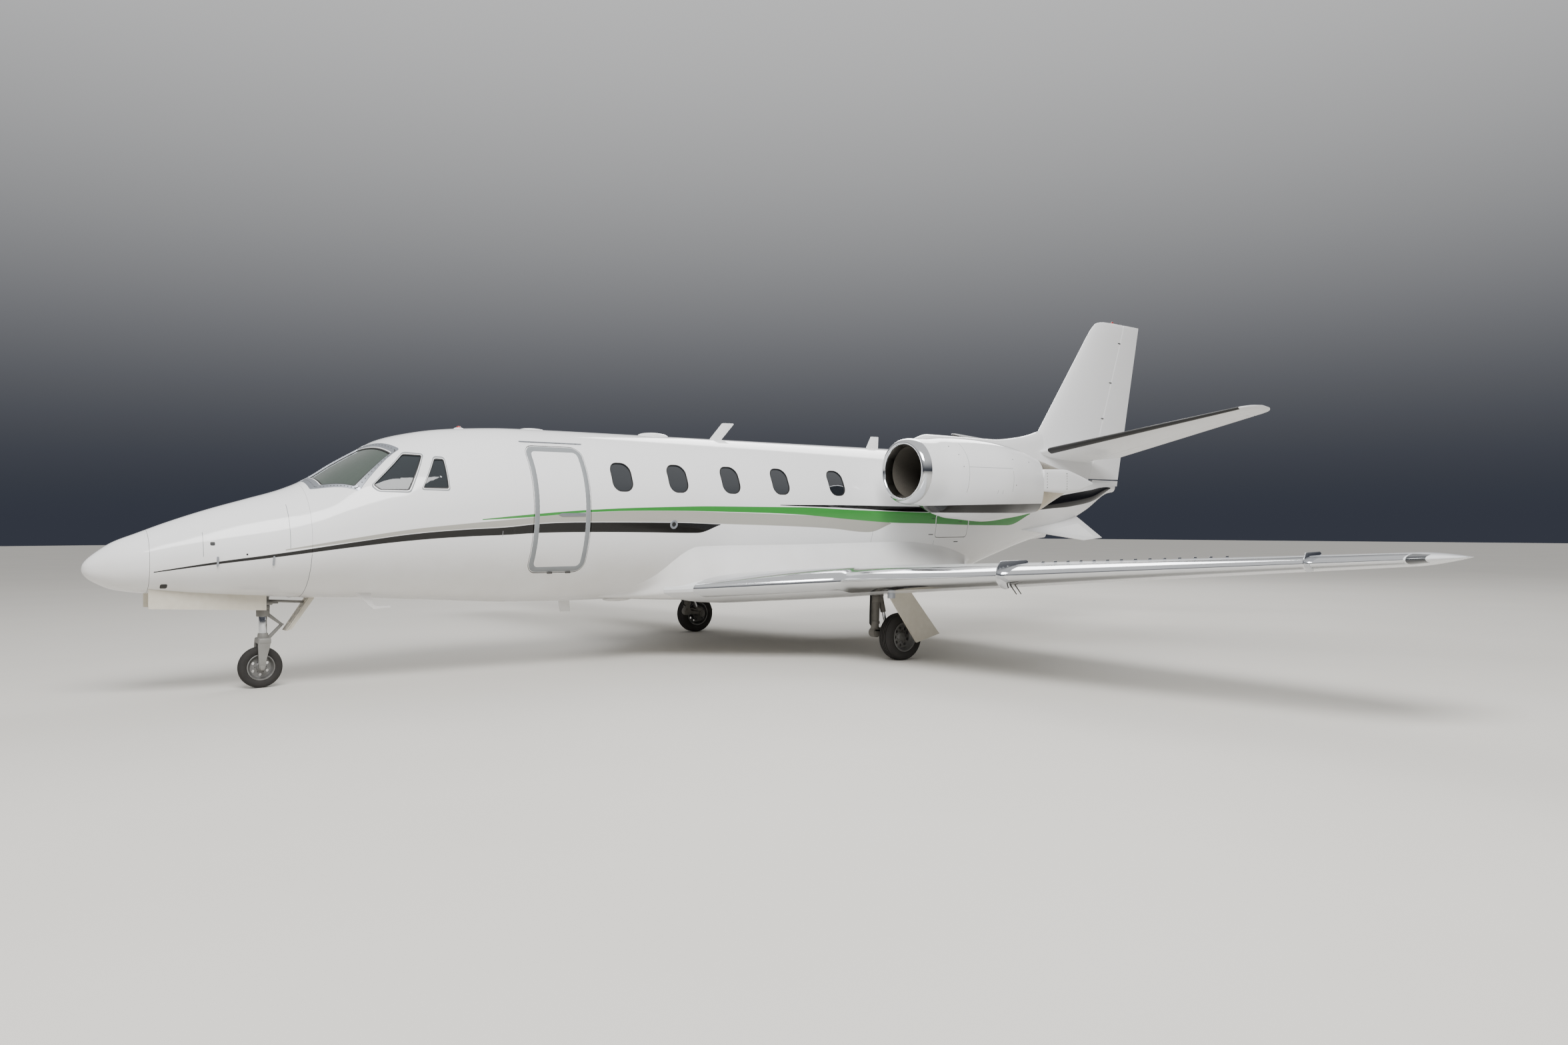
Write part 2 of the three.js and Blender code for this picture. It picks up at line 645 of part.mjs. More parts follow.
// Lugs side by side on the hinge line, on the wing below the given place and on the flap above it
function flapLugs(side, onFlap) {
  const { places, width, radius } = FLAP_LUGS;
  return places.flatMap((place) => {
    const [low, high] = onFlap ? [place, place + width] : [place - SEAT_GAP - width, place - SEAT_GAP];
    const [x, , z] = flapAxis(place, 1);
    const outline = (onFlap ? FLAP_WEB : FLAP_BRACKET_WEB).map(([dx, dz]) => [x + dx, z + dz]);
    const web = prism(outline, 'xz', side * (low + WEB_SIDE_GAP), side * (high - WEB_SIDE_GAP));
    return [rod(flapAxis(low, side), flapAxis(high, side), radius, radius, 12), web];
  });
}

const WHEEL_WELL = { x: 8150, y: 1560, radius: 300, top: 830 };
const JACK_PAD = { x: 7700, y: 2600, radius: 45, low: 770, high: 900 };

function jackPad(side) {
  const { x, y, radius, low, high } = JACK_PAD;
  return rod([x, side * y, low], [x, side * y, high], radius, radius, 16);
}

function wheelWell(side) {
  const { x, y, radius, top } = WHEEL_WELL;
  return rod([x, side * y, 500], [x, side * y, top], radius, radius, 20);
}

function makeWings() {
  const belly = bellyLoft(SEAM);
  for (const [hand, side] of SIDES) {
    const whole = cut(wingLoft(side), bodyOutside, belly);
    const { inner, outer } = AILERON;
    const hinge = (y) => aileronHinge(y, side);
    const cove = hingeBar([inner, outer], hinge, aileronRadius, false, MOVING_GAP);
    const well = wheelWell(side);
    const wing = cut(whole, surfacePlan(FLAP, side, 0, 0), surfacePlan(AILERON, side, 0, 0), cove, well);
    const [a, b] = [inner + END_GAP, outer - END_GAP];
    const pivots = [pivot(hinge(inner - 15), hinge(a - SEAT_GAP)), pivot(hinge(outer + 15), hinge(b + SEAT_GAP))];
    addPiece(`wing_${hand}`, join(wing, jackPad(side), ...pivots, ...flapLugs(side, false)), 'whitePaint');
    const flap = whole.intersect(surfacePlan(FLAP, side, END_GAP, MOVING_GAP));
    addPiece(`flap_${hand}`, join(flap, ...flapLugs(side, true)), 'whitePaint');
    const nose = hingeBar([a, b], hinge, aileronRadius, false);
    const blade = whole.intersect(surfacePlan(AILERON, side, END_GAP, 1));
    addPiece(`aileron_${hand}`, join(blade, nose), 'whitePaint');
  }
  const wells = SIDES.map(([, side]) => wheelWell(side));
  addPiece('belly_fairing', largest(cut(bellyLoft(), bodyOutside, ...wells)), 'whitePaint');
}

// Fin and rudder: height, leading edge x, trailing edge x, thickness ratio
const FIN = [
  [2300, 12760, 15530, 0.1],
  [2700, 13070, 15620, 0.1],
  [3230, 13471, 15744, 0.1],
  [4976, 14790, 16147, 0.1],
  [5140, 14960, 16185, 0.08],
  [5175, 15150, LENGTH, 0.05],
];
const FIN_BLUNT = 0.004;
// Hinge line of the rudder: a point on it, and how far it runs aft for each millimetre up
const RUDDER_HINGE = { x: 14628, z: 2300, slant: 0.38435 };
const RUDDER_LOW = 2392;
const RUDDER_FOOT_GAP = 26;

function finLoft(grow = 0) {
  return loft(FIN.map(([z, x0, x1, t]) => sectionRing(t, FIN_BLUNT + grow / (x1 - x0), (x, h) => [
    x0 + x * (x1 - x0),
    h * (x1 - x0),
    z,
  ])));
}

function rudderAxisPoint(z) {
  return [RUDDER_HINGE.x + RUDDER_HINGE.slant * (z - RUDDER_HINGE.z), 0, z];
}

function rudderRadius(z) {
  const [x0, x1, t] = [1, 2, 3].map((column) => along(FIN, z, column));
  const chord = x1 - x0;
  const fraction = (rudderAxisPoint(z)[0] - x0) / chord;
  return (halfThickness(t, fraction) + FIN_BLUNT * fraction) * chord;
}

// Stabiliser and elevator: span place, then x of the leading and trailing edges, their heights, and thickness ratio
const STABILISER = [
  [20, 13302, 15025, 2809, 2689, 0.1],
  [2980, 14454, 15090, 3376, 3322, 0.1],
  [3080, 14545, 15075, 3395, 3345, 0.09],
  [3130, 14650, 15050, 3405, 3368, 0.07],
  [3150, 14770, 14980, 3412, 3390, 0.04],
];
const STABILISER_BLUNT = 0.004;
const ELEVATOR_SPAN = [230, 2860];
const ELEVATOR_FRONT = 0.7;
const ELEVATOR_FLARE = 370;
const ROOT_END = 14580;

function stabiliserLoft(side) {
  return loft(STABILISER.map(([y, x0, x1, z0, z1, t]) => sectionRing(t, STABILISER_BLUNT, (x, h) => [
    x0 + x * (x1 - x0),
    side * y,
    z0 + x * (z1 - z0) + h * (x1 - x0),
  ])));
}

function elevatorAxisPoint(y, side) {
  const [x0, x1, z0, z1] = [1, 2, 3, 4].map((column) => along(STABILISER, y, column));
  return [x0 + ELEVATOR_FRONT * (x1 - x0), side * y, z0 + ELEVATOR_FRONT * (z1 - z0)];
}

function elevatorRadius(y) {
  const [x0, x1, , , t] = [1, 2, 3, 4, 5].map((column) => along(STABILISER, y, column));
  return (halfThickness(t, ELEVATOR_FRONT) + STABILISER_BLUNT * ELEVATOR_FRONT) * (x1 - x0);
}

// Ventral strakes: corners as [x, y, z] for the starboard side
const STRAKE = [[11990, 700, 1560], [14100, 190, 1790], [14300, 600, 1405], [13820, 600, 1363]];
const STRAKE_THICKNESS = 30;
const TAIL_PLAN_END = 15600;

function makeTail() {
  const [lowZ, highZ] = [RUDDER_LOW, 5300];
  const rudderSide = (inset) => {
    const [p, q] = [rudderAxisPoint(lowZ - inset), rudderAxisPoint(highZ)];
    return prism([[p[0] + inset, p[2]], [17000, p[2]], [17000, q[2]], [q[0] + inset, q[2]]], 'xz', -400, 400);
  };
  const whole = cut(finLoft(), bodyOutside);
  const rows = [3230, 4976, 5140];
  const cove = hingeBar([lowZ - 40, ...rows, 5230], rudderAxisPoint, rudderRadius, true, MOVING_GAP);
  const dorsal = loft(DORSAL.map(([x, top, half]) => dorsalRing([x, top + SEAM, half + SEAM])));
  addPiece('fin', largest(cut(whole, rudderSide(0), cove, dorsal)), 'whitePaint');
  const nose = hingeBar([lowZ + RUDDER_FOOT_GAP, ...rows], rudderAxisPoint, rudderRadius, true);
  const above = box([14000, -400, lowZ + RUDDER_FOOT_GAP], [17000, 400, 5300]);
  addPiece('rudder', join(finLoft().intersect(rudderSide(1)).intersect(above), nose), 'whitePaint');

  const finAround = finLoft(SEAM);
  for (const [hand, side] of SIDES) {
    const span = (inset) => [ELEVATOR_SPAN[0] + inset, ELEVATOR_SPAN[1] - inset];
    const plan = (inset, ahead) => {
      const [a, b] = span(inset);
      const [p, q] = [elevatorAxisPoint(a, side), elevatorAxisPoint(b, side)];
      const corners = [[p[0] + ahead, a], [TAIL_PLAN_END, a + ELEVATOR_FLARE], [TAIL_PLAN_END, b], [q[0] + ahead, b]];
      return prism(corners.map(([x, y]) => [x, side * y]), 'xy', 2400, 3800);
    };
    const hinge = (y) => elevatorAxisPoint(y, side);
    const around = hingeBar(span(0), hinge, elevatorRadius, false, MOVING_GAP);
    const root = [[ROOT_END, 0], [TAIL_PLAN_END, 0], [TAIL_PLAN_END, ELEVATOR_SPAN[0] + ELEVATOR_FLARE + 1],
      [ROOT_END, ELEVATOR_SPAN[0] + 18]];
    const inboard = prism(root.map(([x, y]) => [x, side * y]), 'xy', 2400, 3800);
    const blank = stabiliserLoft(side);
    const fixed = largest(cut(blank, plan(0, 0), around, finAround, bodyOutside, dorsal, inboard));
    const [low, high] = span(END_GAP);
    const pivots = [[low - 35, low - 0.6], [high + 35, high + 0.6]].map(([from, to]) => pivot(hinge(from), hinge(to)));
    addPiece(`stabiliser_${hand}`, join(fixed, ...pivots), 'whitePaint');
    const bar = hingeBar(span(END_GAP), hinge, elevatorRadius, false);
    addPiece(`elevator_${hand}`, join(blank.intersect(plan(END_GAP, 1)), bar), 'whitePaint');

    const corners = STRAKE.map(([x, y, z]) => [x, side * y, z]);
    const strake = loft([-1, 1].map((face) => corners.map(([x, y, z]) => [x, y + face * STRAKE_THICKNESS / 2, z])));
    addPiece(`strake_${hand}`, largest(cut(strake, bodyOutside)), 'whitePaint');
  }
}

// Engine nacelles

const NACELLE_Y = 1550;
const INLET_X = 8860;
const INLET_Z = 2316;
const NACELLE_SIDES = 24;
// station, height of the axis, rise above it, drop below it, half width
const COWL = [
  [9250, 2316, 438, 438, 438],
  [9500, 2306, 470, 545, 478],
  [9750, 2295, 492, 590, 505],
  [10300, 2250, 525, 585, 540],
  [10850, 2225, 485, 515, 460],
  [11420, 2195, 372, 400, 310],
];
const COWL_WALL = 45;
const NOZZLE_WALL = 25;
// The nozzle goes on from the cowl, with the same columns
const NOZZLE = [
  [11180, 2208, 419, 448, 373],
  [11420, 2195, 372, 400, 310],
  [11700, 2214, 285, 300, 262],
  [11960, 2230, 205, 205, 220],
];
// The cowl's aft edge is cut forward at its sides: middle height, half height, and how far the edge goes forward
const SCALLOP = { x: 11420, z: 2200, half: 420, depth: 170, steps: 8 };
// Fairings along the sides of the nozzle: station, outer and inner distance from the axis, low and high edges
const STANG = [
  [11200, 356, 300, 2085, 2395],
  [11770, 330, 225, 2070, 2410],
  [12100, 290, 215, 2100, 2350],
  [12500, 235, 215, 2215, 2240],
];
const ENGINE_END = 11300;
const PYLON = { front: 9700, chord: 2600, z: 2200, thickness: 0.085, end: 11240, root: 760 };

function cowlRing([station, axis, rise, drop, half], side, grow = 0) {
  return Array.from({ length: NACELLE_SIDES }, (_, i) => {
    const angle = 2 * Math.PI * i / NACELLE_SIDES;
    const reach = Math.sin(angle) > 0 ? rise : drop;
    return [station, side * NACELLE_Y + (half + grow) * Math.cos(angle), axis + (reach + grow) * Math.sin(angle)];
  });
}

function cowlLoft(table, side, grow = 0, extend = 0) {
  const rows = table.map((row) => [...row]);
  rows[0][0] -= extend;
  rows.at(-1)[0] += extend;
  return loft(rows.map((row) => cowlRing(row, side, grow)));
}

// Inlet lip and duct: [radius, distance aft of the inlet plane], closed on itself
const LIP_PROFILE = [
  [340, 34], [354, 6], [374, 0], [400, 12], [418, 42], [430, 98], [438, 389.7], [384, 389.7], [366, 780], [348, 780],
  [336, 150], [340, 34],
];
const FAN_X = 9580;
const FAN_RADIUS = 330;
const FAN_BLADES = 16;
const BLADE_TWIST = 0.65;
const HUB_END = 70;

function fanSolid(side) {
  const centre = [FAN_X, side * NACELLE_Y, INLET_Z];
  const profile = [[0, -170], [40, -150], [78, -90], [105, 0], [105, HUB_END], [0, HUB_END]];
  const hub = turned(profile, centre, [1, 0, 0], 16);
  const blades = Array.from({ length: FAN_BLADES }, (_, i) => {
    const turn = 2 * Math.PI * i / FAN_BLADES;
    const corner = (radius, x, width) => {
      const angle = turn + width / radius;
      return [centre[0] + x, centre[1] + radius * Math.cos(angle), centre[2] + radius * Math.sin(angle)];
    };
    const ring = (radius, half) => [
      corner(radius, -30, -half * BLADE_TWIST),
      corner(radius, -30, -half * BLADE_TWIST + 8),
      corner(radius, 45, half * BLADE_TWIST + 8),
      corner(radius, 45, half * BLADE_TWIST),
    ];
    return loft([ring(95, 22), ring(FAN_RADIUS, 70)]);
  });
  return join(hub, ...blades);
}

// Everything behind the scalloped aft edge of a cowl
function behindCowl(shift) {
  const { x, z, half, depth, steps } = SCALLOP;
  const edge = Array.from({ length: steps + 1 }, (_, i) => {
    const level = 2 * i / steps - 1;
    return [x + shift - depth * (1 - level ** 2), z + half * level];
  });
  return prism([...edge, [13000, z + half], [13000, z - half]], 'xz', -2500, 2500);
}

function makeNacelles() {
  for (const [hand, side] of SIDES) {
    const centre = side * NACELLE_Y;
    addPiece(`inlet_lip_${hand}`, turned(LIP_PROFILE, [INLET_X, centre, INLET_Z], [1, 0, 0], 28), 'polished');
    const cowl = cut(cowlLoft(COWL, side), cowlLoft(COWL, side, -COWL_WALL, 10), behindCowl(0));
    addPiece(`nacelle_${hand}`, cowl, 'whitePaint');
    addPiece(`fan_${hand}`, fanSolid(side), 'darkMetal');

    const core = rod([FAN_X + 80, centre, 2290], [ENGINE_END, centre, 2230], 290, 230, 20);
    const shaft = rod([FAN_X + HUB_END + SEAT_GAP, centre, INLET_Z], [FAN_X + 120, centre, INLET_Z], 60, 60, 12);
    const mount = box([10200, Math.min(side * 1000, centre), 2180], [10500, Math.max(side * 1000, centre), 2290]);
    const insideCowl = cowlLoft(COWL, side, -COWL_WALL - SEAM, -1);
    addPiece(`engine_block_${hand}`, join(core, mount, shaft).intersect(insideCowl), 'darkMetal');

    const sleeve = cut(cowlLoft(NOZZLE, side), cowlLoft(NOZZLE, side, -NOZZLE_WALL, 10));
    const stangs = [1, -1].map((way) => loft(STANG.map(([x, outer, inner, low, high]) => {
      const [near, far] = [centre + way * inner, centre + way * outer];
      return [[x, near, low], [x, far, low], [x, far, high], [x, near, high]];
    })));
    addPiece(`reverser_${hand}`, join(sleeve, ...stangs).intersect(behindCowl(SEAM)), 'polished');

    const { front, chord, z, thickness, end, root } = PYLON;
    const strut = loft([root, NACELLE_Y - 50].map((y) => sectionRing(thickness, 0.003, (x, h) => [
      front + x * chord,
      side * y,
      z + h * chord,
    ])));
    const cowlOutside = cowlLoft([[COWL[0][0] - 10, ...COWL[0].slice(1)], ...COWL.slice(1)], side, SEAM);
    const gap = box([front - 100, side < 0 ? -1350 : 600, 1800], [end, side < 0 ? -600 : 1350, 2600]);
    const pylon = cut(strut, bodyOutside, cowlOutside).intersect(gap);
    addPiece(`pylon_${hand}`, largest(pylon), 'whitePaint');
  }
}

// Landing gear

const NOSE_WHEEL = { x: 1519, y: 0, radius: 206, width: 112 };
const MAIN_WHEEL = { x: 8135, y: 2284, radius: 279.5, width: 200 };
const TYRE_SEGMENTS = 28;
const BEAD = 0.64;
const RIM_WIDTH = 0.86;
const HUB_WIDTH = 0.35;

// Half of a tyre section from the tread's middle to the bead, as fractions of the radius and the half width
const TYRE_SECTION = [[1, 0], [1, 0.35], [0.975, 0.72], [0.9, 0.97], [0.78, 1], [0.64, 0.86]];

function tyreAndRim(name, { x, y, radius, width }) {
  const outer = radius / Math.cos(Math.PI / TYRE_SEGMENTS);
  const half = width / 2;
  const right = TYRE_SECTION.map(([r, w]) => [r * outer, w * half]);
  const left = TYRE_SECTION.slice(1).map(([r, w]) => [r * outer, -w * half]).reverse();
  const section = [...left, ...right];
  const centre = [x, y, radius];
  addPiece(`${name}_tyre`, turned([...section, section[0]], centre, [0, 1, 0], TYRE_SEGMENTS), 'tyre');
  const seat = BEAD * outer - SEAM * 2;
  const well = RIM_WIDTH * half;
  const hub = HUB_WIDTH * half;
  const dish = [[seat, well], [0.9 * seat, well], [0.8 * seat, 0.2 * half], [0.3 * seat, hub], [0, hub]];
  const rim = [...dish.map(([r, w]) => [r, -w]).reverse(), ...dish];
  addPiece(`${name}_rim`, turned(rim, centre, [0, 1, 0], TYRE_SEGMENTS), 'rim');
}

// Nose gear: the steering axis, the joint where the fork turns in the leg, the crown of the fork and its arms
const STEERING_X = 1545;
const STEERING_JOINT = 780;
const CROWN = { low: [1485, -110, 436], high: [1605, 110, 500] };
const FORK_ARM = [72, 104];
const NOSE_DOOR = [[520, 1100], [1540, 1000], [1540, 783], [519, 842]];
const NOSE_DOOR_Y = [160, 180];
const AFT_DOOR = [[1744, 560], [1813, 560], [2010, 900], [1950, 940]];

function makeNoseGear() {
  tyreAndRim('nose', NOSE_WHEEL);
  const { x, radius, width } = NOSE_WHEEL;
  const post = (low, high, size) => rod([STEERING_X, 0, low], [STEERING_X, 0, high], size, size, 16);
  const upper = post(STEERING_JOINT, NOSE_WELL_HIGH[2] - SEAM, 62);
  const brace = rod([STEERING_X, 0, 900], [900, 0, 1250], 26, 26, 8);
  const door = cut(prism(AFT_DOOR, 'xz', -90, 90), bodyOutside);
  const link = rod([STEERING_X, 0, 870], [1935, 0, 840], 14, 14, 8);
  addPiece('nose_leg', join(upper, brace, door, link), 'gearPaint');

  const piston = post(CROWN.low[2] + 20, STEERING_JOINT - SEAT_GAP, 40);
  const collar = post(712, STEERING_JOINT - SEAT_GAP, 66);
  const torqueLinks = [[[1590, 750], [1718, 624]], [[1718, 624], [1580, 480]]].map(
    ([[x0, z0], [x1, z1]]) => prism([[x0, z0 + 13], [x0, z0 - 13], [x1, z1 - 13], [x1, z1 + 13]], 'xz', -22, 22),
  );
  const arms = [-1, 1].flatMap((way) => {
    const [near, far] = way < 0 ? [-FORK_ARM[1], -FORK_ARM[0]] : FORK_ARM;
    const outline = [[CROWN.low[0] + 10, 480], [CROWN.high[0] - 10, 480], [x + 45, radius - 40], [x - 40, radius - 40]];
    const hubFace = HUB_WIDTH * width / 2 + SEAT_GAP;
    return [prism(outline, 'xz', near, far), rod([x, way * hubFace, radius], [x, way * 90, radius], 18, 18, 12)];
  });
  const crown = box(CROWN.low, CROWN.high);
  addPiece('nose_fork', join(piston, collar, crown, ...torqueLinks, ...arms), 'gearPaint');
  for (const [hand, side] of SIDES) {
    const [near, far] = side < 0 ? [-NOSE_DOOR_Y[1], -NOSE_DOOR_Y[0]] : NOSE_DOOR_Y;
    addPiece(`nose_door_${hand}`, largest(cut(prism(NOSE_DOOR, 'xz', near, far), bodyOutside)), 'whitePaint');
  }
}

// Main gear: span places of the leg, its trailing arm and the door beside the wheel
const LEG_Y = 2110;
const ARM_Y = [2085, 2165];
const ARM_Z = [268, 360];
const GEAR_DOOR = [[7683, 900], [8049, 900], [8130, 810], [8590, 300], [8210, 215]];
const GEAR_DOOR_Y = [2470, 2490];

function makeMainGear() {
  for (const [hand, side] of SIDES) {
    const wheel = { ...MAIN_WHEEL, y: side * MAIN_WHEEL.y };
    tyreAndRim(`main_${hand}`, wheel);
    const y = (value) => side * value;
    const post = rod([7880, y(LEG_Y), 330], [7900, y(LEG_Y), 830], 50, 58, 14);
    const foot = rod([7830, y(LEG_Y), 330], [7930, y(LEG_Y), 330], 55, 55, 10);
    const section = [[0, 0], [1, 0], [1, 1], [0, 1]].map(([i, j]) => [y(ARM_Y[i]), ARM_Z[j]]);
    const arm = loft([7840, 8195].map((x) => section.map((point) => [x, ...point])));
    const hubFace = MAIN_WHEEL.y - HUB_WIDTH * MAIN_WHEEL.width / 2 - SEAT_GAP;
    const axle = rod([wheel.x, y(ARM_Y[0]), wheel.radius], [wheel.x, y(hubFace), wheel.radius], 34, 34, 12);
    const damper = rod([8060, y(2125), 350], [7945, y(2125), 830], 34, 34, 10);
    const wing = wingLoft(side, SEAM);
    addPiece(`main_leg_${hand}`, cut(join(post, foot, arm, axle, damper), wing), 'gearPaint');
    const plate = prism(GEAR_DOOR, 'xz', y(GEAR_DOOR_Y[0]), y(GEAR_DOOR_Y[1]));
    addPiece(`main_gear_door_${hand}`, largest(cut(plate, wing)), 'whitePaint');
  }
}

makeFuselage();
makeCabinFittings();
makeWings();
makeTail();
makeNacelles();
makeNoseGear();
makeMainGear();

aircraft.position.set(-LENGTH / 2, 0, 0);

const businessJet = new THREE.Group();
businessJet.add(aircraft);

export default businessJet;
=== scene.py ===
"""A mid-size business jet parked on its landing gear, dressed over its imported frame.

Lengths are in millimetres in the aircraft's own stations: x aft from the nose tip, y to starboard, z up
from the ground. row() turns them into the metres of the frame.
"""

import logging
import math
from bisect import bisect_right
from collections.abc import Callable, Iterable, Sequence
from dataclasses import dataclass, field
from enum import Enum

import bmesh
import bpy
from mathutils import Matrix, Vector


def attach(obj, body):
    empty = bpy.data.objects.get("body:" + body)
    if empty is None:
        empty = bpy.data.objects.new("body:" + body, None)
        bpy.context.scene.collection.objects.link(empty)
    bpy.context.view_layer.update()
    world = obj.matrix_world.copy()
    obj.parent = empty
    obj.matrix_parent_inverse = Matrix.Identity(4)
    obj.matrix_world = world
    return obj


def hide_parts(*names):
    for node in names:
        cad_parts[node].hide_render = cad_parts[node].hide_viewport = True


logging.basicConfig(level=logging.INFO, format="%(message)s")
LOG = logging.getLogger("jet")

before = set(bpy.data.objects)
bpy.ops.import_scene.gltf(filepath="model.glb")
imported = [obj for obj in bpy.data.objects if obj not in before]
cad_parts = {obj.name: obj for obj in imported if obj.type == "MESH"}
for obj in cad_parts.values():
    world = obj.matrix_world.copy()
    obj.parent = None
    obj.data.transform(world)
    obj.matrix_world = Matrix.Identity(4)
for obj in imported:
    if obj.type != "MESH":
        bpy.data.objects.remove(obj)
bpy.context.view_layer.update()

Object = bpy.types.Object
Material = bpy.types.Material
Socket = bpy.types.NodeSocket
Point = tuple[float, float, float]
Flat = tuple[float, float]
Ring = list[Point]

LENGTH = 16193.0
HALF_SPAN = 8480.0
SEAM = 0.3
MOVING_GAP = 8.0
END_GAP = 20.0
SEAT_GAP = 0.4
AIRFRAME = "airframe"
# Share of a corner's radius by which a cubic curve's handles make it round
ROUND_PULL = 0.5523
# A boolean tool's own edges stay sharp with a round this small
SHARP = 0.1
# How much wider a cove is than the nose that turns in it, beside the gap
COVE_SPREAD = 1.1
# Distances outwards of a wrapped skin's edges, face and back
STRIP_EDGE, STRIP_FACE, STRIP_BACK = 0.6, 2.2, -3.0


class Side(Enum):
    """The two sides of the aircraft."""

    PORT = -1
    STARBOARD = 1

    @property
    def hand(self) -> str:
        """The word that the side's nodes end in."""
        return "left" if self is Side.PORT else "right"

    def reach(self, near: float, far: float) -> list[float]:
        """Two distances from the middle as the lower and the higher place on this side."""
        return sorted((self.value * near, self.value * far))


class Cut(Enum):
    """What a tool does to the piece that it meets."""

    AWAY = "DIFFERENCE"
    WITHIN = "INTERSECT"


def row(x: float, y: float, z: float) -> Point:
    """A point of the aircraft in the metres of the frame."""
    return ((x - LENGTH / 2) / 1000, y / 1000, z / 1000)


def spaced(first: float, last: float, step: float, extra: Iterable[float] = ()) -> list[float]:
    """Evenly spaced numbers with both ends, and the extra ones that lie between them.

    Args:
        first: The lowest number.
        last: The highest number.
        step: The largest distance between two of them.
        extra: Numbers that must be among them.

    Returns:
        The numbers in order, without near doubles.
    """
    count = max(1, math.ceil((last - first) / step))
    kept = [e for e in extra if first < e < last]
    grid = [first + (last - first) * k / count for k in range(count + 1)]
    grid = [g for g in grid if g in (first, last) or all(abs(g - e) > step * 0.2 for e in kept)]
    return sorted({*grid, *kept})


class Smooth:
    """Columns of a table, read along curves that pass through every row and never overshoot."""

    def __init__(self, rows: Sequence[Sequence[float]]) -> None:
        """Keeps the rows and finds the slope of each column at each row.

        Args:
            rows: Rows of a place and its values, in the places' order.
        """
        self.places = [r[0] for r in rows]
        self.columns = [[r[k] for r in rows] for k in range(1, len(rows[0]))]
        gaps = [b - a for a, b in zip(self.places, self.places[1:])]
        self.slopes = []
        for values in self.columns:
            rates = [(q - p) / gap for p, q, gap in zip(values, values[1:], gaps)]
            inner = [2 * a * b / (a + b) if a * b > 0 else 0.0 for a, b in zip(rates, rates[1:])]
            self.slopes.append([rates[0], *inner, rates[-1]])

    def at(self, place: float) -> list[float]:
        """The value of every column at a place.

        Args:
            place: The place.

        Returns:
            One value for each column.
        """
        place = min(max(place, self.places[0]), self.places[-1])
        k = min(bisect_right(self.places, place), len(self.places) - 1) - 1
        gap = self.places[k + 1] - self.places[k]
        t = (place - self.places[k]) / gap
        a, b, c, d = 2 * t**3 - 3 * t**2 + 1, t**3 - 2 * t**2 + t, 3 * t**2 - 2 * t**3, t**3 - t**2
        return [
            a * v[k] + b * gap * s[k] + c * v[k + 1] + d * gap * s[k + 1]
            for v, s in zip(self.columns, self.slopes)
        ]


class Straight:
    """Columns of a table, read along straight lines whose corners are rounded over a short way."""

    def __init__(self, rows: Sequence[Sequence[float]], round_over: float = 0.0) -> None:
        """Keeps the rows and the distance over which a corner is rounded.

        Args:
            rows: Rows of a place and its values, in order.
            round_over: Half the way over which a corner is rounded.
        """
        self.rows = rows
        self.round_over = round_over

    def line(self, place: float) -> list[float]:
        """The value of every column on the straight lines.

        Args:
            place: The place.

        Returns:
            One value for each column.
        """
        places = [r[0] for r in self.rows]
        place = min(max(place, places[0]), places[-1])
        k = min(bisect_right(places, place), len(places) - 1) - 1
        a, b = self.rows[k], self.rows[k + 1]
        t = (place - a[0]) / (b[0] - a[0])
        return [p + (q - p) * t for p, q in zip(a[1:], b[1:])]

    def at(self, place: float) -> list[float]:
        """The value of every column, averaged over the round of the corners.

        Args:
            place: The place.

        Returns:
            One value for each column.
        """
        reach = min(self.round_over, place - self.rows[0][0], self.rows[-1][0] - place)
        if reach <= 0:
            return self.line(place)
        near = [self.line(place + reach * k / 4) for k in range(-4, 5)]
        return [sum(values) / len(near) for values in zip(*near)]


# Meshes


def new_piece(name: str, points: Sequence[Point], faces: Sequence[Sequence[int]]) -> Object:
    """Makes a closed piece from points in millimetres and faces that all turn the same way.

    Args:
        name: Name of the piece.
        points: Corners in the aircraft's stations.
        faces: Corner numbers of each face.

    Returns:
        The piece, with its faces pointing outwards.
    """
    mesh = bpy.data.meshes.new(name)
    mesh.from_pydata([row(*p) for p in points], [], faces)
    shape = bmesh.new()
    shape.from_mesh(mesh)
    if shape.calc_volume(signed=True) < 0:
        bmesh.ops.reverse_faces(shape, faces=shape.faces)
    shape.to_mesh(mesh)
    shape.free()
    piece = bpy.data.objects.new(name, mesh)
    bpy.context.scene.collection.objects.link(piece)
    return piece


def belt(first: int, second: int, count: int) -> list[list[int]]:
    """The four-sided faces between two rings, each given by the number of its first corner."""
    nexts = [(i, (i + 1) % count) for i in range(count)]
    return [[first + i, first + j, second + j, second + i] for i, j in nexts]


def loft(name: str, rings: Sequence[Ring], closed: bool = False) -> Object:
    """A skin through rings of points.

    Args:
        name: Name of the piece.
        rings: Rings with the same number of points.
        closed: Whether the last ring joins the first, as on a tube bent into itself. Otherwise both ends get
            a cap.

    Returns:
        The closed piece.
    """
    count = len(rings[0])
    faces = [f for k in range(len(rings) - 1) for f in belt(k * count, (k + 1) * count, count)]
    last = (len(rings) - 1) * count
    if closed:
        faces += belt(last, 0, count)
    else:
        faces += [list(range(count))[::-1], list(range(last, last + count))]
    return new_piece(name, [p for ring in rings for p in ring], faces)


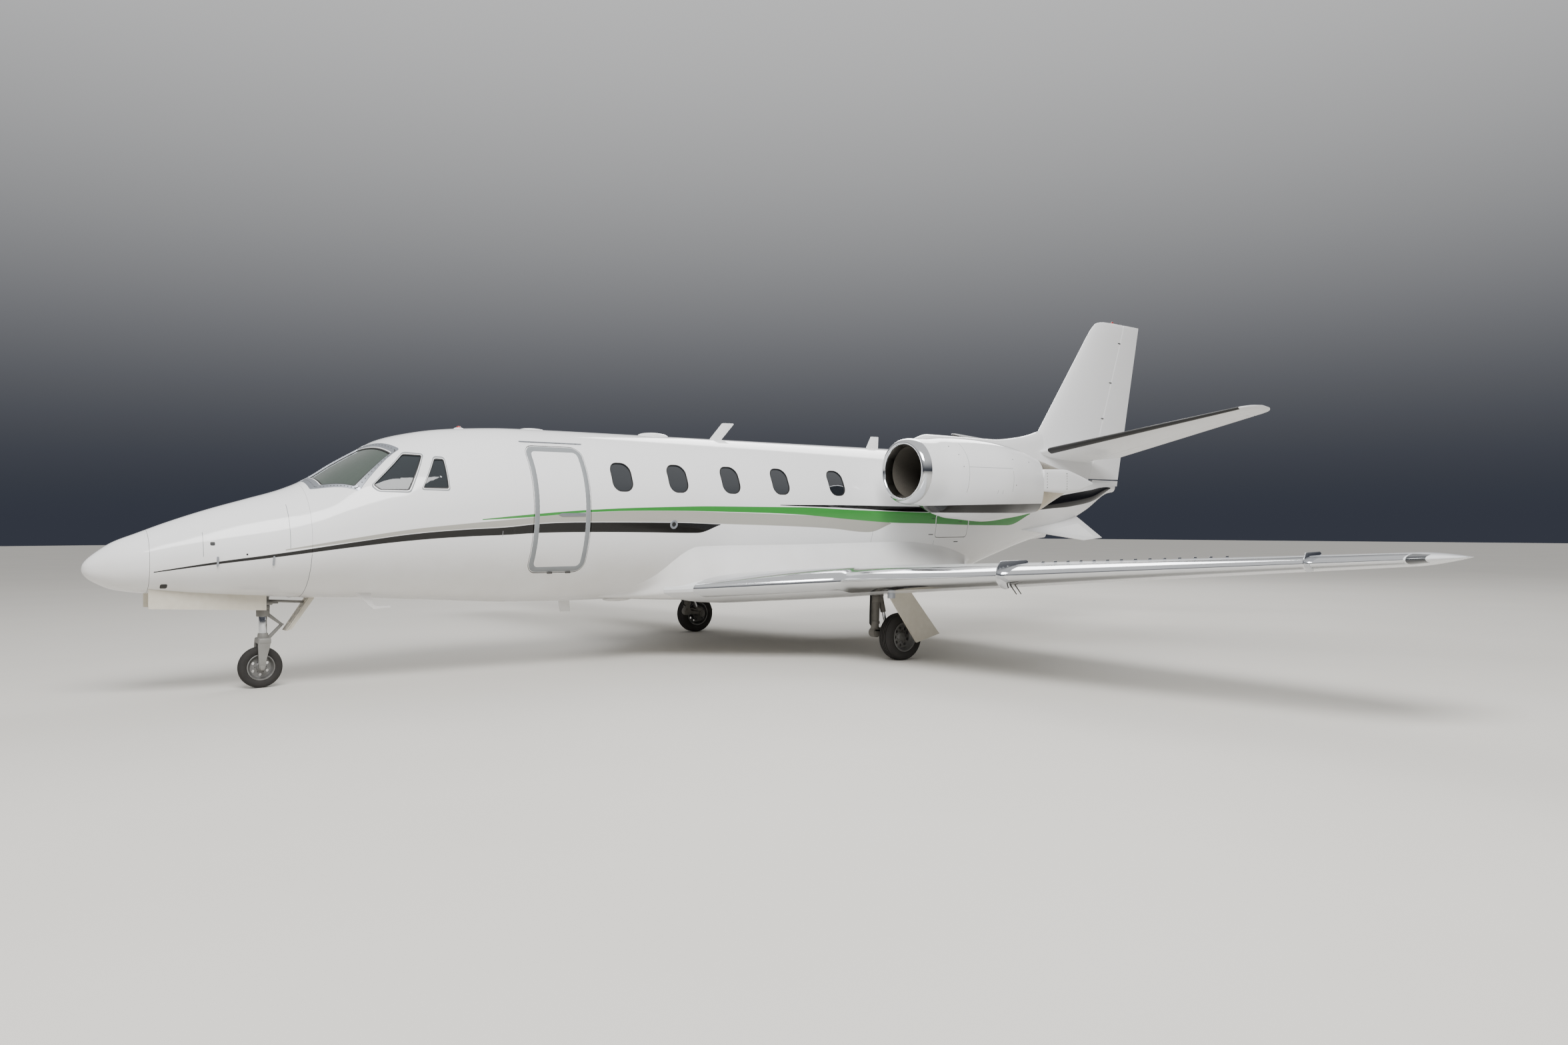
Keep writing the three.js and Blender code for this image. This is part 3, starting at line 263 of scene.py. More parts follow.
def prism(name: str, outline: Sequence[Flat], axes: str, low: float, high: float) -> Object:
    """An outline in the plane of two axes, such as "xz", drawn out along the third from low to high.

    Args:
        name: Name of the piece.
        outline: Points of the outline.
        axes: The outline's two axes.
        low: Where it starts on the third axis.
        high: Where it ends.

    Returns:
        The closed piece.
    """
    a, b = ("xyz".index(axis) for axis in axes)
    rings = []
    for level in (low, high):
        ring = []
        for p, q in outline:
            point = [level] * 3
            point[a], point[b] = p, q
            ring.append(tuple(point))
        rings.append(ring)
    return loft(name, rings)


def round_outline(
    corners: Sequence[Flat], radius: float, per_corner: int = 8, per_edge: int = 6
) -> list[Flat]:
    """An outline with round corners, and with points along its edges so that it can follow a curved skin.

    Args:
        corners: The sharp corners in order.
        radius: Radius of a right-angled corner.
        per_corner: Points in each corner.
        per_edge: Points along each edge.

    Returns:
        The outline's points.
    """
    points = []
    for k, corner in enumerate(corners):
        middle, before = Vector(corner), Vector(corners[k - 1])
        after = Vector(corners[(k + 1) % len(corners)])
        start = middle + (before - middle).normalized() * radius
        end = middle + (after - middle).normalized() * radius
        for i in range(per_corner):
            t = i / (per_corner - 1)
            p, q = start.lerp(middle, ROUND_PULL), end.lerp(middle, ROUND_PULL)
            weights = ((1 - t) ** 3, 3 * t * (1 - t) ** 2, 3 * t * t * (1 - t), t**3)
            points.append(sum((w * v for w, v in zip(weights, (start, p, q, end))), Vector((0, 0))))
        follow = Vector(corners[(k + 1) % len(corners)]) + (middle - after).normalized() * radius
        points += [end.lerp(follow, i / (per_edge + 1)) for i in range(1, per_edge + 1)]
    return [tuple(p) for p in points]


def rectangle(low: Flat, high: Flat, inset: float = 0.0) -> list[Flat]:
    """The corners of an upright rectangle, moved inwards by an inset."""
    (a, b), (c, d) = low, high
    return [(a + inset, b + inset), (c - inset, b + inset), (c - inset, d - inset), (a + inset, d - inset)]


def around(centre: Flat, radius: float, count: int, turn: float = 0.0) -> list[Flat]:
    """Points evenly round a circle, from an angle in radians."""
    angles = [math.tau * k / count + turn for k in range(count)]
    return [(centre[0] + radius * math.cos(a), centre[1] + radius * math.sin(a)) for a in angles]


def middle_of(outline: Sequence[Flat]) -> Vector:
    """The mean of an outline's points."""
    return sum((Vector(p) for p in outline), Vector((0, 0))) / len(outline)


def shrunk(outline: Sequence[Flat], inset: float) -> list[Flat]:
    """An outline whose points are moved towards its middle by an inset.

    Args:
        outline: The outline.
        inset: Distance inwards, or outwards below nought.

    Returns:
        The moved points.
    """
    middle = middle_of(outline)
    away = [Vector(p) - middle for p in outline]
    return [tuple(middle + v * (1 - inset / v.length)) for v in away]


Surface = Callable[[float, float, float], Point]


def plate(
    name: str, outline: Sequence[Flat], surface: Surface, out: float, under: float, rings: int = 5
) -> Object:
    """A plate inside an outline that follows a curved surface, from one distance off it to another.

    Args:
        name: Name of the piece.
        outline: Points of the outline in the surface's two coordinates.
        surface: Gives the point at two coordinates and a distance outwards.
        out: Distance outwards of the plate's face.
        under: Distance outwards of the plate's back.
        rings: Rings of points between the outline and its middle.

    Returns:
        The closed piece.
    """
    middle = middle_of(outline)
    count = len(outline)
    points, faces = [], []
    for level in (out, under):
        start = len(points)
        for k in range(rings):
            share = 1 - k / rings
            points += [surface(*(middle + (Vector(p) - middle) * share), level) for p in outline]
        points.append(surface(*middle, level))
        sheet = [f for k in range(rings - 1) for f in belt(start + k * count, start + (k + 1) * count, count)]
        hub = start + rings * count
        last = start + (rings - 1) * count
        sheet += [[last + i, last + (i + 1) % count, hub] for i in range(count)]
        faces += sheet if level == out else [f[::-1] for f in sheet]
    back = rings * count + 1
    faces += [f[::-1] for f in belt(0, back, count)]
    return new_piece(name, points, faces)


def band(
    name: str, outer: Sequence[Flat], inner: Sequence[Flat], surface: Surface, out: float, under: float
) -> Object:
    """A strip between two outlines with the same number of points, on a curved surface.

    Args:
        name: Name of the piece.
        outer: Points of the outer outline.
        inner: Points of the inner outline.
        surface: Gives the point at two coordinates and a distance outwards.
        out: Distance outwards of the strip's face.
        under: Distance outwards of the strip's back.

    Returns:
        The closed piece, whose edges fall away over a share of its width and depth.
    """
    sloped, fall = 0.12, 0.4
    edge = (out - under) * fall
    slim = [tuple(Vector(p).lerp(Vector(q), sloped)) for p, q in zip(outer, inner)]
    wide = [tuple(Vector(p).lerp(Vector(q), 1 - sloped)) for p, q in zip(outer, inner)]
    lines = (outer, slim, wide, inner, inner, outer)
    levels = (out - edge, out, out, out - edge, under, under)
    rings = [[surface(*p, level) for p in line] for line, level in zip(lines, levels)]
    return loft(name, rings, closed=True)


def edit(piece: Object, work: Callable[[], None]) -> Object:
    """Does some work on a piece in edit mode, with all of it selected.

    Args:
        piece: The piece to work on.
        work: The operators to call.

    Returns:
        The same piece.
    """
    pick(piece)
    bpy.ops.object.mode_set(mode="EDIT")
    bpy.ops.mesh.select_all(action="SELECT")
    work()
    bpy.ops.object.mode_set(mode="OBJECT")
    return piece


def pick(piece: Object) -> Object:
    """Makes a piece the only one that is selected, and the active one.

    Args:
        piece: The piece.

    Returns:
        The same piece.
    """
    bpy.ops.object.select_all(action="DESELECT")
    piece.select_set(True)
    bpy.context.view_layer.objects.active = piece
    return piece


def settle(name: str, piece: Object) -> Object:
    """Puts a piece's place into its mesh and names it.

    Args:
        name: Name of the piece.
        piece: The piece.

    Returns:
        The same piece.
    """
    pick(piece)
    bpy.ops.object.transform_apply(location=True, rotation=True, scale=True)
    piece.name = name
    piece.data.name = name
    return piece


def added() -> Object:
    """The primitive that was added last."""
    return bpy.context.view_layer.objects.active


def bevel_edges(piece: Object, width: float, segments: int = 3, sharper: float = 40.0) -> Object:
    """Rounds the edges of a piece that are sharper than an angle.

    Args:
        piece: The piece.
        width: Width of the round in millimetres.
        segments: Faces across the round.
        sharper: Smallest angle in degrees between the faces of a rounded edge.

    Returns:
        The same piece.
    """
    modifier = piece.modifiers.new("round", "BEVEL")
    modifier.width = width / 1000
    modifier.segments = segments
    modifier.limit_method = "ANGLE"
    modifier.angle_limit = math.radians(sharper)
    pick(piece)
    bpy.ops.object.modifier_apply(modifier=modifier.name)
    return piece


def block(name: str, low: Point, high: Point, rounding: float = 3.0) -> Object:
    """A block between two corners with rounded edges.

    Args:
        name: Name of the piece.
        low: Its lowest corner.
        high: Its highest corner.
        rounding: Width of the round of its edges.

    Returns:
        The closed piece.
    """
    a, b = Vector(row(*low)), Vector(row(*high))
    bpy.ops.object.select_all(action="DESELECT")
    bpy.ops.mesh.primitive_cube_add(size=1, location=(a + b) / 2, scale=b - a)
    return bevel_edges(settle(name, added()), rounding)


def rod(name: str, start: Point, end: Point, radius: float, far: float | None = None, sides: int = 24,
        rounding: float = 1.5) -> Object:
    """A round bar from one point to another, with rounded rims.

    Args:
        name: Name of the piece.
        start: Middle of the first end.
        end: Middle of the other end.
        radius: Radius at the first end.
        far: Radius at the other end, where it differs.
        sides: Sides of the bar.
        rounding: Width of the round of its rims.

    Returns:
        The closed piece.
    """
    a, b = Vector(row(*start)), Vector(row(*end))
    turn = (b - a).to_track_quat("Z", "Y").to_euler()
    bpy.ops.object.select_all(action="DESELECT")
    bpy.ops.mesh.primitive_cone_add(
        vertices=sides,
        radius1=radius / 1000,
        radius2=(radius if far is None else far) / 1000,
        depth=(b - a).length,
        location=(a + b) / 2,
        rotation=turn,
    )
    return bevel_edges(settle(name, added()), rounding, 2)


def spun(name: str, profile: Sequence[Flat], centre: Point, axis: Point, steps: int = 64) -> Object:
    """A profile of [radius, height] points turned about an axis.

    Args:
        name: Name of the piece.
        profile: The profile. It starts and ends on the axis, or where it started.
        centre: Point where the height is zero.
        axis: Direction of the axis.
        steps: Steps of the turn.

    Returns:
        The closed piece.
    """
    mesh = bpy.data.meshes.new(name)
    links = [(k, k + 1) for k in range(len(profile) - 1)]
    mesh.from_pydata([(r / 1000, 0, h / 1000) for r, h in profile], links, [])
    piece = bpy.data.objects.new(name, mesh)
    bpy.context.scene.collection.objects.link(piece)

    def turn() -> None:
        """Spins the profile round and closes its seam and poles."""
        bpy.ops.mesh.spin(steps=steps, angle=math.tau, center=(0, 0, 0), axis=(0, 0, 1))
        bpy.ops.mesh.select_all(action="SELECT")
        bpy.ops.mesh.remove_doubles(threshold=1e-5)
        bpy.ops.mesh.normals_make_consistent(inside=False)

    edit(piece, turn)
    turned = Vector(axis).to_track_quat("Z", "Y").to_matrix().to_4x4()
    piece.data.transform(Matrix.Translation(Vector(row(*centre))) @ turned)
    return piece


def carve(piece: Object, *tools: Object, how: Cut = Cut.AWAY) -> Object:
    """Cuts tools out of a piece, or keeps only what lies in them, and removes the tools.

    Args:
        piece: The piece that is changed.
        tools: The closed pieces that change it.
        how: What each tool does.

    Returns:
        The same piece.
    """
    for tool in tools:
        modifier = piece.modifiers.new("carve", "BOOLEAN")
        modifier.operation = how.value
        modifier.object = tool
        modifier.solver = "MANIFOLD"
        pick(piece)
        bpy.ops.object.modifier_apply(modifier=modifier.name)
        bpy.data.objects.remove(tool)
    return piece


def joined(name: str, pieces: Sequence[Object]) -> Object:
    """Makes one piece of several.

    Args:
        name: Name of the piece.
        pieces: The pieces.

    Returns:
        The first piece, which holds them all.
    """
    bpy.ops.object.select_all(action="DESELECT")
    for piece in pieces:
        piece.select_set(True)
    bpy.context.view_layer.objects.active = pieces[0]
    bpy.ops.object.join()
    pieces[0].name = name
    pieces[0].data.name = name
    return pieces[0]


def copied(piece: Object, change: Matrix) -> Object:
    """A copy of a piece with a mesh of its own, moved by a matrix.

    Args:
        piece: The piece.
        change: How the copy's mesh is moved.

    Returns:
        The copy.
    """
    twin = piece.copy()
    twin.data = piece.data.copy()
    bpy.context.scene.collection.objects.link(twin)
    twin.data.transform(change)
    return twin


Bar = tuple[Point, Point, float, float | None, int, float]


def bars(rows: Iterable[Bar], way: int = 1) -> list[Object]:
    """Round bars from rows of start, end, both radii, sides and rounding, mirrored where way is -1."""
    flipped = [((a, way * b, c), (d, way * e, f), *rest) for (a, b, c), (d, e, f), *rest in rows]
    return [rod("bar", *values) for values in flipped]


# Finishes


def linear(code: str) -> tuple[float, float, float, float]:
    """A hex sRGB colour in the linear values that the shader takes."""
    parts = [int(code[k : k + 2], 16) / 255 for k in (1, 3, 5)]
    return (*(p / 12.92 if p <= 0.04045 else ((p + 0.055) / 1.055) ** 2.4 for p in parts), 1.0)


def add_node(
    tree: bpy.types.NodeTree,
    kind: str,
    links: dict[str | int, Socket] | None = None,
    values: dict[str | int, object] | None = None,
    **settings: object,
) -> bpy.types.Node:
    """Adds one node to a tree.

    Args:
        tree: The material's tree.
        kind: Type of the node.
        links: Sockets that feed its inputs.
        values: Constants set on its inputs.
        settings: Properties of the node itself.

    Returns:
        The node.
    """
    made = tree.nodes.new(kind)
    for key, value in settings.items():
        setattr(made, key, value)
    for key, value in (values or {}).items():
        made.inputs[key].default_value = value
    for key, socket in (links or {}).items():
        tree.links.new(socket, made.inputs[key])
    return made


@dataclass(frozen=True)
class Grain:
    """A fine pattern of a surface: size of its cells, what it does to colour and gloss, and its height."""

    size: float = 20.0
    tint: float = 0.1
    gloss: float = 0.08
    height: float = 0.0
    stretch: Point = (1, 1, 1)
    cells: bool = False


@dataclass(frozen=True)
class Finish:
    """What a surface is made of, with the two colours that it varies between and its patterns."""

    name: str
    colour: str
    shade: str
    roughness: float
    metallic: float = 0.0
    coat: float = 0.0
    coat_roughness: float = 0.05
    ior: float = 1.5
    transmission: float = 0.0
    sheen: float = 0.0
    grains: tuple[Grain, ...] = (Grain(),)

    def base_colour(self, tree: bpy.types.NodeTree, place: Socket, mixed: Socket) -> Socket:
        """The colour before anything is painted over it."""
        colours = {6: linear(self.colour), 7: linear(self.shade)}
        return add_node(tree, "ShaderNodeMix", {0: mixed}, colours, data_type="RGBA").outputs[2]

    def material(self) -> Material:
        """The node material, made once and then shared.

        Returns:
            The material.
        """
        if self.name in bpy.data.materials:
            return bpy.data.materials[self.name]
        made = bpy.data.materials.new(self.name)
        made.use_nodes = True
        tree = made.node_tree
        shader = tree.nodes["Principled BSDF"]
        constants = {
            "Metallic": self.metallic,
            "Coat Weight": self.coat,
            "Coat Roughness": self.coat_roughness,
            "IOR": self.ior,
            "Transmission Weight": self.transmission,
            "Sheen Weight": self.sheen,
        }
        for key, value in constants.items():
            shader.inputs[key].default_value = value
        place = add_node(tree, "ShaderNodeTexCoord").outputs["Object"]
        mixed, rough, bump = None, None, None
        for grain in self.grains:
            value = self.pattern(tree, place, grain)
            mixed = self.weighted(tree, value, grain.tint, mixed)
            rough = self.weighted(tree, value, grain.gloss, rough)
            if grain.height:
                bump = add_node(
                    tree,
                    "ShaderNodeBump",
                    {"Height": value} | ({"Normal": bump} if bump else {}),
                    {"Strength": 1.0, "Distance": grain.height / 1000},
                ).outputs[0]
        tree.links.new(self.base_colour(tree, place, mixed), shader.inputs["Base Color"])
        gloss = add_node(
            tree, "ShaderNodeMath", {0: rough}, {1: self.roughness}, operation="ADD", use_clamp=True
        ).outputs[0]
        tree.links.new(gloss, shader.inputs["Roughness"])
        if bump:
            tree.links.new(bump, shader.inputs["Normal"])
        return made

    @staticmethod
    def pattern(tree: bpy.types.NodeTree, place: Socket, grain: Grain) -> Socket:
        """A pattern between 0 and 1 at its real size.

        Args:
            tree: The material's tree.
            place: Socket of the object's coordinates.
            grain: The pattern's sizes.

        Returns:
            The socket of the result.
        """
        size = tuple(1000 / (grain.size * s) for s in grain.stretch)
        spread = add_node(tree, "ShaderNodeMapping", {"Vector": place}, {"Scale": size}).outputs[0]
        kind, values = "ShaderNodeTexNoise", {"Scale": 1.0, "Detail": 4.0}
        if grain.cells:
            kind, values = "ShaderNodeTexVoronoi", {"Scale": 1.0}
        return add_node(tree, kind, {"Vector": spread}, values).outputs[0]

    @staticmethod
    def weighted(tree: bpy.types.NodeTree, value: Socket, share: float, so_far: Socket | None) -> Socket:
        """A share of a pattern, added to what earlier patterns gave.

        Args:
            tree: The material's tree.
            value: The pattern.
            share: Its share.
            so_far: What earlier patterns gave, if any.

        Returns:
            The socket of the result.
        """
        links = {0: value} | ({2: so_far} if so_far else {})
        values = {1: share} | ({} if so_far else {2: 0.0})
        return add_node(tree, "ShaderNodeMath", links, values, operation="MULTIPLY_ADD").outputs[0]


@dataclass(frozen=True)
class Stripe:
    """A painted stripe on the side of the body, between two edges of [station, height] points."""

    colour: str
    top: tuple[Flat, ...]
    low: tuple[Flat, ...]


@dataclass(frozen=True)
class Joint:
    """A line between two skin panels, across at a station or along at a height, from start to end."""

    upright: bool
    place: float
    start: float
    end: float


@dataclass(frozen=True)
class Livery(Finish):
    """Gloss paint with stripes, fine panel lines and a patchy warm film low down: dust, with painted shade
    and floor reflection.
    """

    stripes: tuple[Stripe, ...] = ()
    joints: tuple[Joint, ...] = ()
    line_width: float = 5.0
    edge_softness: float = 4.0
    # Colour, top, fade and share of the low film: dust, with painted shade and floor reflection of the lower
    # body
    dust: str = "#B9AF9C"
    dust_top: float = 1300.0
    dust_fade: float = 0.4
    dust_share: float = 1.3
    line_colour: str = "#8E8F92"
    curve_height: float = 4.0

    def base_colour(self, tree: bpy.types.NodeTree, place: Socket, mixed: Socket) -> Socket:
        """Paint, the low film of dust and painted shade, stripes and panel lines over each other.

        Args:
            tree: The material's tree.
            place: Socket of the object's coordinates.
            mixed: Socket of the summed patterns.

        Returns:
            The socket of the result.
        """
        colour = super().base_colour(tree, place, mixed)
        axes = add_node(tree, "ShaderNodeSeparateXYZ", {0: place}).outputs
        # Patchy warm colour laid on low down: dust, with painted shade and floor reflection
        low = self.ramp(tree, axes[2], self.dust_top / 1000, self.dust_fade)
        film = self.combined(tree, "MULTIPLY", low, mixed)
        film = self.combined(tree, "MULTIPLY", film, None, self.dust_share)
        colour = self.laid(tree, colour, self.dust, film)
        for stripe in self.stripes:
            colour = self.laid(tree, colour, stripe.colour, self.inside(tree, axes, stripe))
        for joint in self.joints:
            colour = self.laid(tree, colour, self.line_colour, self.on_joint(tree, axes, joint))
        return colour

    @staticmethod
    def combined(
        tree: bpy.types.NodeTree, operation: str, first: Socket, second: Socket | None, number: float = 0.0
    ) -> Socket:
        """Two values, or a value and a number, put through one sum.

        Args:
            tree: The material's tree.
            operation: The sum.
            first: The first value.
            second: The second value, if any.
            number: The number in the second value's stead.

        Returns:
            The socket of the result.
        """
        links = {0: first} | ({1: second} if second else {})
        values = {} if second else {1: number}
        return add_node(tree, "ShaderNodeMath", links, values, operation=operation).outputs[0]

    def ramp(self, tree: bpy.types.NodeTree, value: Socket, edge: float, width: float) -> Socket:
        """One below an edge, falling to nothing over a width.

        Args:
            tree: The material's tree.
            value: The value.
            edge: Middle of the fall.
            width: Its width.

        Returns:
            The socket of the result.
        """
        return add_node(
            tree,
            "ShaderNodeMapRange",
            {0: value},
            {1: edge - width / 2, 2: edge + width / 2, 3: 1.0, 4: 0.0},
            interpolation_type="SMOOTHSTEP",
        ).outputs[0]

    @staticmethod
    def laid(tree: bpy.types.NodeTree, under: Socket, colour: str, mask: Socket) -> Socket:
        """One colour over another where a mask is one.

        Args:
            tree: The material's tree.
            under: The colour below.
            colour: The colour on top.
            mask: Where it covers.

        Returns:
            The socket of the result.
        """
        return add_node(
            tree, "ShaderNodeMix", {0: mask, 6: under}, {7: linear(colour)}, data_type="RGBA"
        ).outputs[2]

    def edge(self, tree: bpy.types.NodeTree, station: Socket, line: Sequence[Flat]) -> Socket:
        """The height in metres of a stripe's edge at each station.

        Args:
            tree: The material's tree.
            station: Socket of the station in metres.
            line: The edge's points.

        Returns:
            The socket of the result.
        """
        first, last = line[0][0], line[-1][0]
        share = add_node(
            tree,
            "ShaderNodeMapRange",
            {0: station},
            {1: row(first, 0, 0)[0], 2: row(last, 0, 0)[0], 3: 0.0, 4: 1.0},
        ).outputs[0]
        curve = add_node(tree, "ShaderNodeFloatCurve", {"Value": share})
        points = curve.mapping.curves[0].points
        places = [((s - first) / (last - first), z / 1000 / self.curve_height) for s, z in line]
        for point, location in zip((points[0], points[1]), (places[0], places[-1])):
            point.location = location
        for location in places[1:-1]:
            points.new(*location)
        for point in points:
            point.handle_type = "AUTO_CLAMPED"
        curve.mapping.update()
        return self.combined(tree, "MULTIPLY", curve.outputs[0], None, self.curve_height)

    def inside(self, tree: bpy.types.NodeTree, axes: Sequence[Socket], stripe: Stripe) -> Socket:
        """One inside a stripe and nothing outside it.

        Args:
            tree: The material's tree.
            axes: Sockets of the three coordinates.
            stripe: The stripe.

        Returns:
            The socket of the result.
        """
        soft = self.edge_softness / 1000
        parts = []
        for line, sign in ((stripe.top, 1.0), (stripe.low, -1.0)):
            gap = self.combined(tree, "SUBTRACT", axes[2], self.edge(tree, axes[0], line))
            parts.append(self.ramp(tree, self.combined(tree, "MULTIPLY", gap, None, sign), soft, soft))
        ends = (stripe.top[0][0], stripe.top[-1][0])
        ahead = self.ramp(tree, axes[0], row(ends[1], 0, 0)[0], soft)
        behind = self.combined(tree, "SUBTRACT", axes[0], None, row(ends[0], 0, 0)[0])
        behind = self.ramp(tree, self.combined(tree, "MULTIPLY", behind, None, -1.0), 0.0, soft)
        for part in (parts[1], ahead, behind):
            parts[0] = self.combined(tree, "MULTIPLY", parts[0], part)
        return parts[0]

    def on_joint(self, tree: bpy.types.NodeTree, axes: Sequence[Socket], joint: Joint) -> Socket:
        """One on a panel line and nothing beside it.

        Args:
            tree: The material's tree.
            axes: Sockets of the three coordinates.
            joint: The panel line.

        Returns:
            The socket of the result.
        """
        across, along = (axes[0], axes[2]) if joint.upright else (axes[2], axes[0])
        shift = (lambda v: row(v, 0, 0)[0]) if joint.upright else (lambda v: v / 1000)
        reach = (lambda v: v / 1000) if joint.upright else (lambda v: row(v, 0, 0)[0])
        near = self.combined(tree, "SUBTRACT", across, None, shift(joint.place))
        near = self.ramp(tree, self.combined(tree, "ABSOLUTE", near, None), self.line_width / 2000, 0.003)
        middle, half = (joint.start + joint.end) / 2, abs(joint.end - joint.start) / 2000
        within = self.combined(tree, "SUBTRACT", along, None, reach(middle))
        within = self.ramp(tree, self.combined(tree, "ABSOLUTE", within, None), half, 0.004)
        return self.combined(tree, "MULTIPLY", near, within)


ORANGE_PEEL = Grain(size=9, tint=0.0, gloss=0.02, height=0.02)
LONG_WAVES = Grain(size=420, tint=0.25, gloss=0.05, height=0.25)

# White polyurethane topcoat, sprayed and polished: deep gloss, faint waves, and low down a little dust with
# painted shade and floor reflection
STRIPES = (
    Stripe(
        "#A6A49C",
        (
            (1619, 1387), (2256, 1499), (2754, 1577), (3267, 1632), (3733, 1674), (4725, 1758), (5840, 1782),
            (6435, 1773), (7645, 1743), (8834, 1696), (9110, 1668), (9245, 1640),
        ),
        (
            (1619, 1384), (2257, 1472), (2756, 1543), (3270, 1586), (3736, 1612), (4130, 1648), (4728, 1664),
            (5844, 1660), (6441, 1640), (7656, 1604), (8215, 1577), (8842, 1528), (9245, 1640),
        ),
    ),
    Stripe(
        "#060505",
        (
            (545, 1191), (1057, 1277), (1520, 1342), (2258, 1458), (2757, 1529), (3271, 1572), (3737, 1597),
            (4131, 1634), (4729, 1649), (5845, 1646), (6455, 1627),
        ),
        (
            (545, 1190), (1057, 1261), (1521, 1318), (2260, 1416), (2762, 1471), (3276, 1506), (3743, 1523),
            (4139, 1543), (4739, 1548), (5499, 1540), (6114, 1530), (6455, 1627),
        ),
    ),
    Stripe(
        "#3B8A3E",
        (
            (3470, 1682), (3991, 1733), (4725, 1789), (5840, 1833), (6436, 1843), (7655, 1843), (8531, 1817),
            (9837, 1789), (11367, 1779), (12320, 1790),
        ),
        (
            (3470, 1680), (3992, 1711), (4725, 1769), (5840, 1792), (6435, 1786), (7655, 1756), (8534, 1696),
            (9234, 1655), (9845, 1643), (11396, 1616), (11699, 1616), (12320, 1790),
        ),
    ),
    Stripe(
        "#060505",
        (
            (7353, 1871), (8520, 1877), (9531, 1870), (11000, 1880), (12600, 2000), (13484, 2107),
            (14400, 2200),
            (15113, 2271), (15230, 2262),
        ),
        (
            (7353, 1870), (8520, 1843), (9531, 1805), (11000, 1800), (12300, 1840), (12958, 1881),
            (13704, 1926),
            (14745, 2075), (15202, 2251), (15230, 2262),
        ),
    ),
)
PANEL_JOINTS = (
    Joint(True, 940, 1330, 1560),
    Joint(True, 1662, 1400, 1830),
    Joint(True, 1850, 900, 1340),
    Joint(True, 3700, 1500, 1560),
    Joint(True, 8930, 900, 1560),
    Joint(True, 10120, 1100, 1400),
)
WHITE_PAINT = Livery(
    "polyurethane_white_striped", "#F0F0F0", "#E6E6E7", 0.06,
    grains=(LONG_WAVES, ORANGE_PEEL), stripes=STRIPES, joints=PANEL_JOINTS,
)
PLAIN_WHITE = Livery(
    "polyurethane_white", "#F0F0F0", "#E6E6E7", 0.07,
    grains=(LONG_WAVES, ORANGE_PEEL),
)
# The same paint on the doors that face the ground: darker and warmer as painted shade and floor reflection,
# with dust
SHADED_DOOR_PAINT = Livery(
    "polyurethane_white_shaded_dusty", "#E2DED2", "#CFC8B6", 0.16,
    grains=(LONG_WAVES, Grain(size=60, tint=0.3, gloss=0.1), ORANGE_PEEL), dust_top=1600,
)
NACELLE_WHITE = Livery(
    "polyurethane_white_nacelle", "#F0F0F0", "#E6E6E7", 0.06,
    grains=(LONG_WAVES, ORANGE_PEEL),
    stripes=(
        Stripe(
            "#060505",
            ((9240, 1866), (9770, 1877), (11020, 1906), (11400, 1915)),
            ((9240, 1787), (9770, 1781), (11020, 1786), (11400, 1790)),
        ),
    ),
    joints=(
        Joint(True, 9610, 2040, 2700),
        Joint(True, 10420, 2060, 2340),
        Joint(False, 2372, 9610, 10420),
        Joint(True, 10140, 2030, 2080),
        Joint(True, 10230, 2030, 2080),
    ),
)
# Polished aluminium sheet: mirror bright, with the faint lengthwise marks of the polishing wheel
POLISHED = Finish(
    "aluminium_polished", "#E3E4E6", "#CDD0D4", 0.05, metallic=1.0,
    grains=(
        Grain(size=300, tint=0.5, gloss=0.08, height=0.3),
        Grain(size=3, tint=0.2, gloss=0.03, stretch=(1, 40, 1)),
    ),
)
# Nickel alloy sheet of the reverser buckets: bright, with straw patches painted in as reflection of the warm
# floor
BUCKET_METAL = Finish(
    "nickel_alloy_warm_reflection", "#C9C3B5", "#A1937B", 0.18, metallic=1.0,
    grains=(Grain(size=160, tint=0.9, gloss=0.15), Grain(size=4, tint=0.1, gloss=0.06, height=0.02)),
)
# Titanium blades: satin grey metal with soot near the roots
TITANIUM = Finish(
    "titanium_satin", "#6F7072", "#4B4A49", 0.32, metallic=1.0, grains=(Grain(size=60, tint=0.7, gloss=0.2),)
)
# Duct lining: grey sheet with rows of tiny holes that show as a dull grain
DUCT = Finish("aluminium_perforated", "#77726A", "#5C5850", 0.5, metallic=0.6,
              grains=(Grain(size=9, tint=0.6, gloss=0.1, height=0.3, cells=True),))
# Stretched acrylic of the cabin's panes and the tip lamps' covers: opaque and dark as painted shade of the
# unlit inside, and very glossy
ACRYLIC = Finish(
    "acrylic_dark_shaded_inside", "#23272C", "#191C20", 0.03, coat=1.0, coat_roughness=0.02,
    grains=(Grain(size=500, tint=0.6, gloss=0.01),),
)
# Laminated windscreen glass with a faint green tint
SCREEN_GLASS = Finish(
    "glass_laminated", "#6C7870", "#5A655E", 0.015, transmission=0.6, ior=1.5,
    grains=(Grain(size=600, tint=0.4, gloss=0.01),),
)
# Stretched acrylic of the cockpit's side panes: darker, with the inside just showing
SIDE_GLASS = Finish(
    "acrylic_clear", "#3D4449", "#2E3438", 0.015, transmission=0.55, ior=1.49,
    grains=(Grain(size=500, tint=0.5, gloss=0.01),),
)
# Rubber of the tyres: dull black, greyed by dust on the tread
TYRE_RUBBER = Finish(
    "rubber_tyre", "#1D1C1C", "#37332F", 0.72, grains=(Grain(size=70, tint=0.5, gloss=0.1),
                                                      Grain(size=2.5, tint=0.2, gloss=0.1, height=0.15)),
)
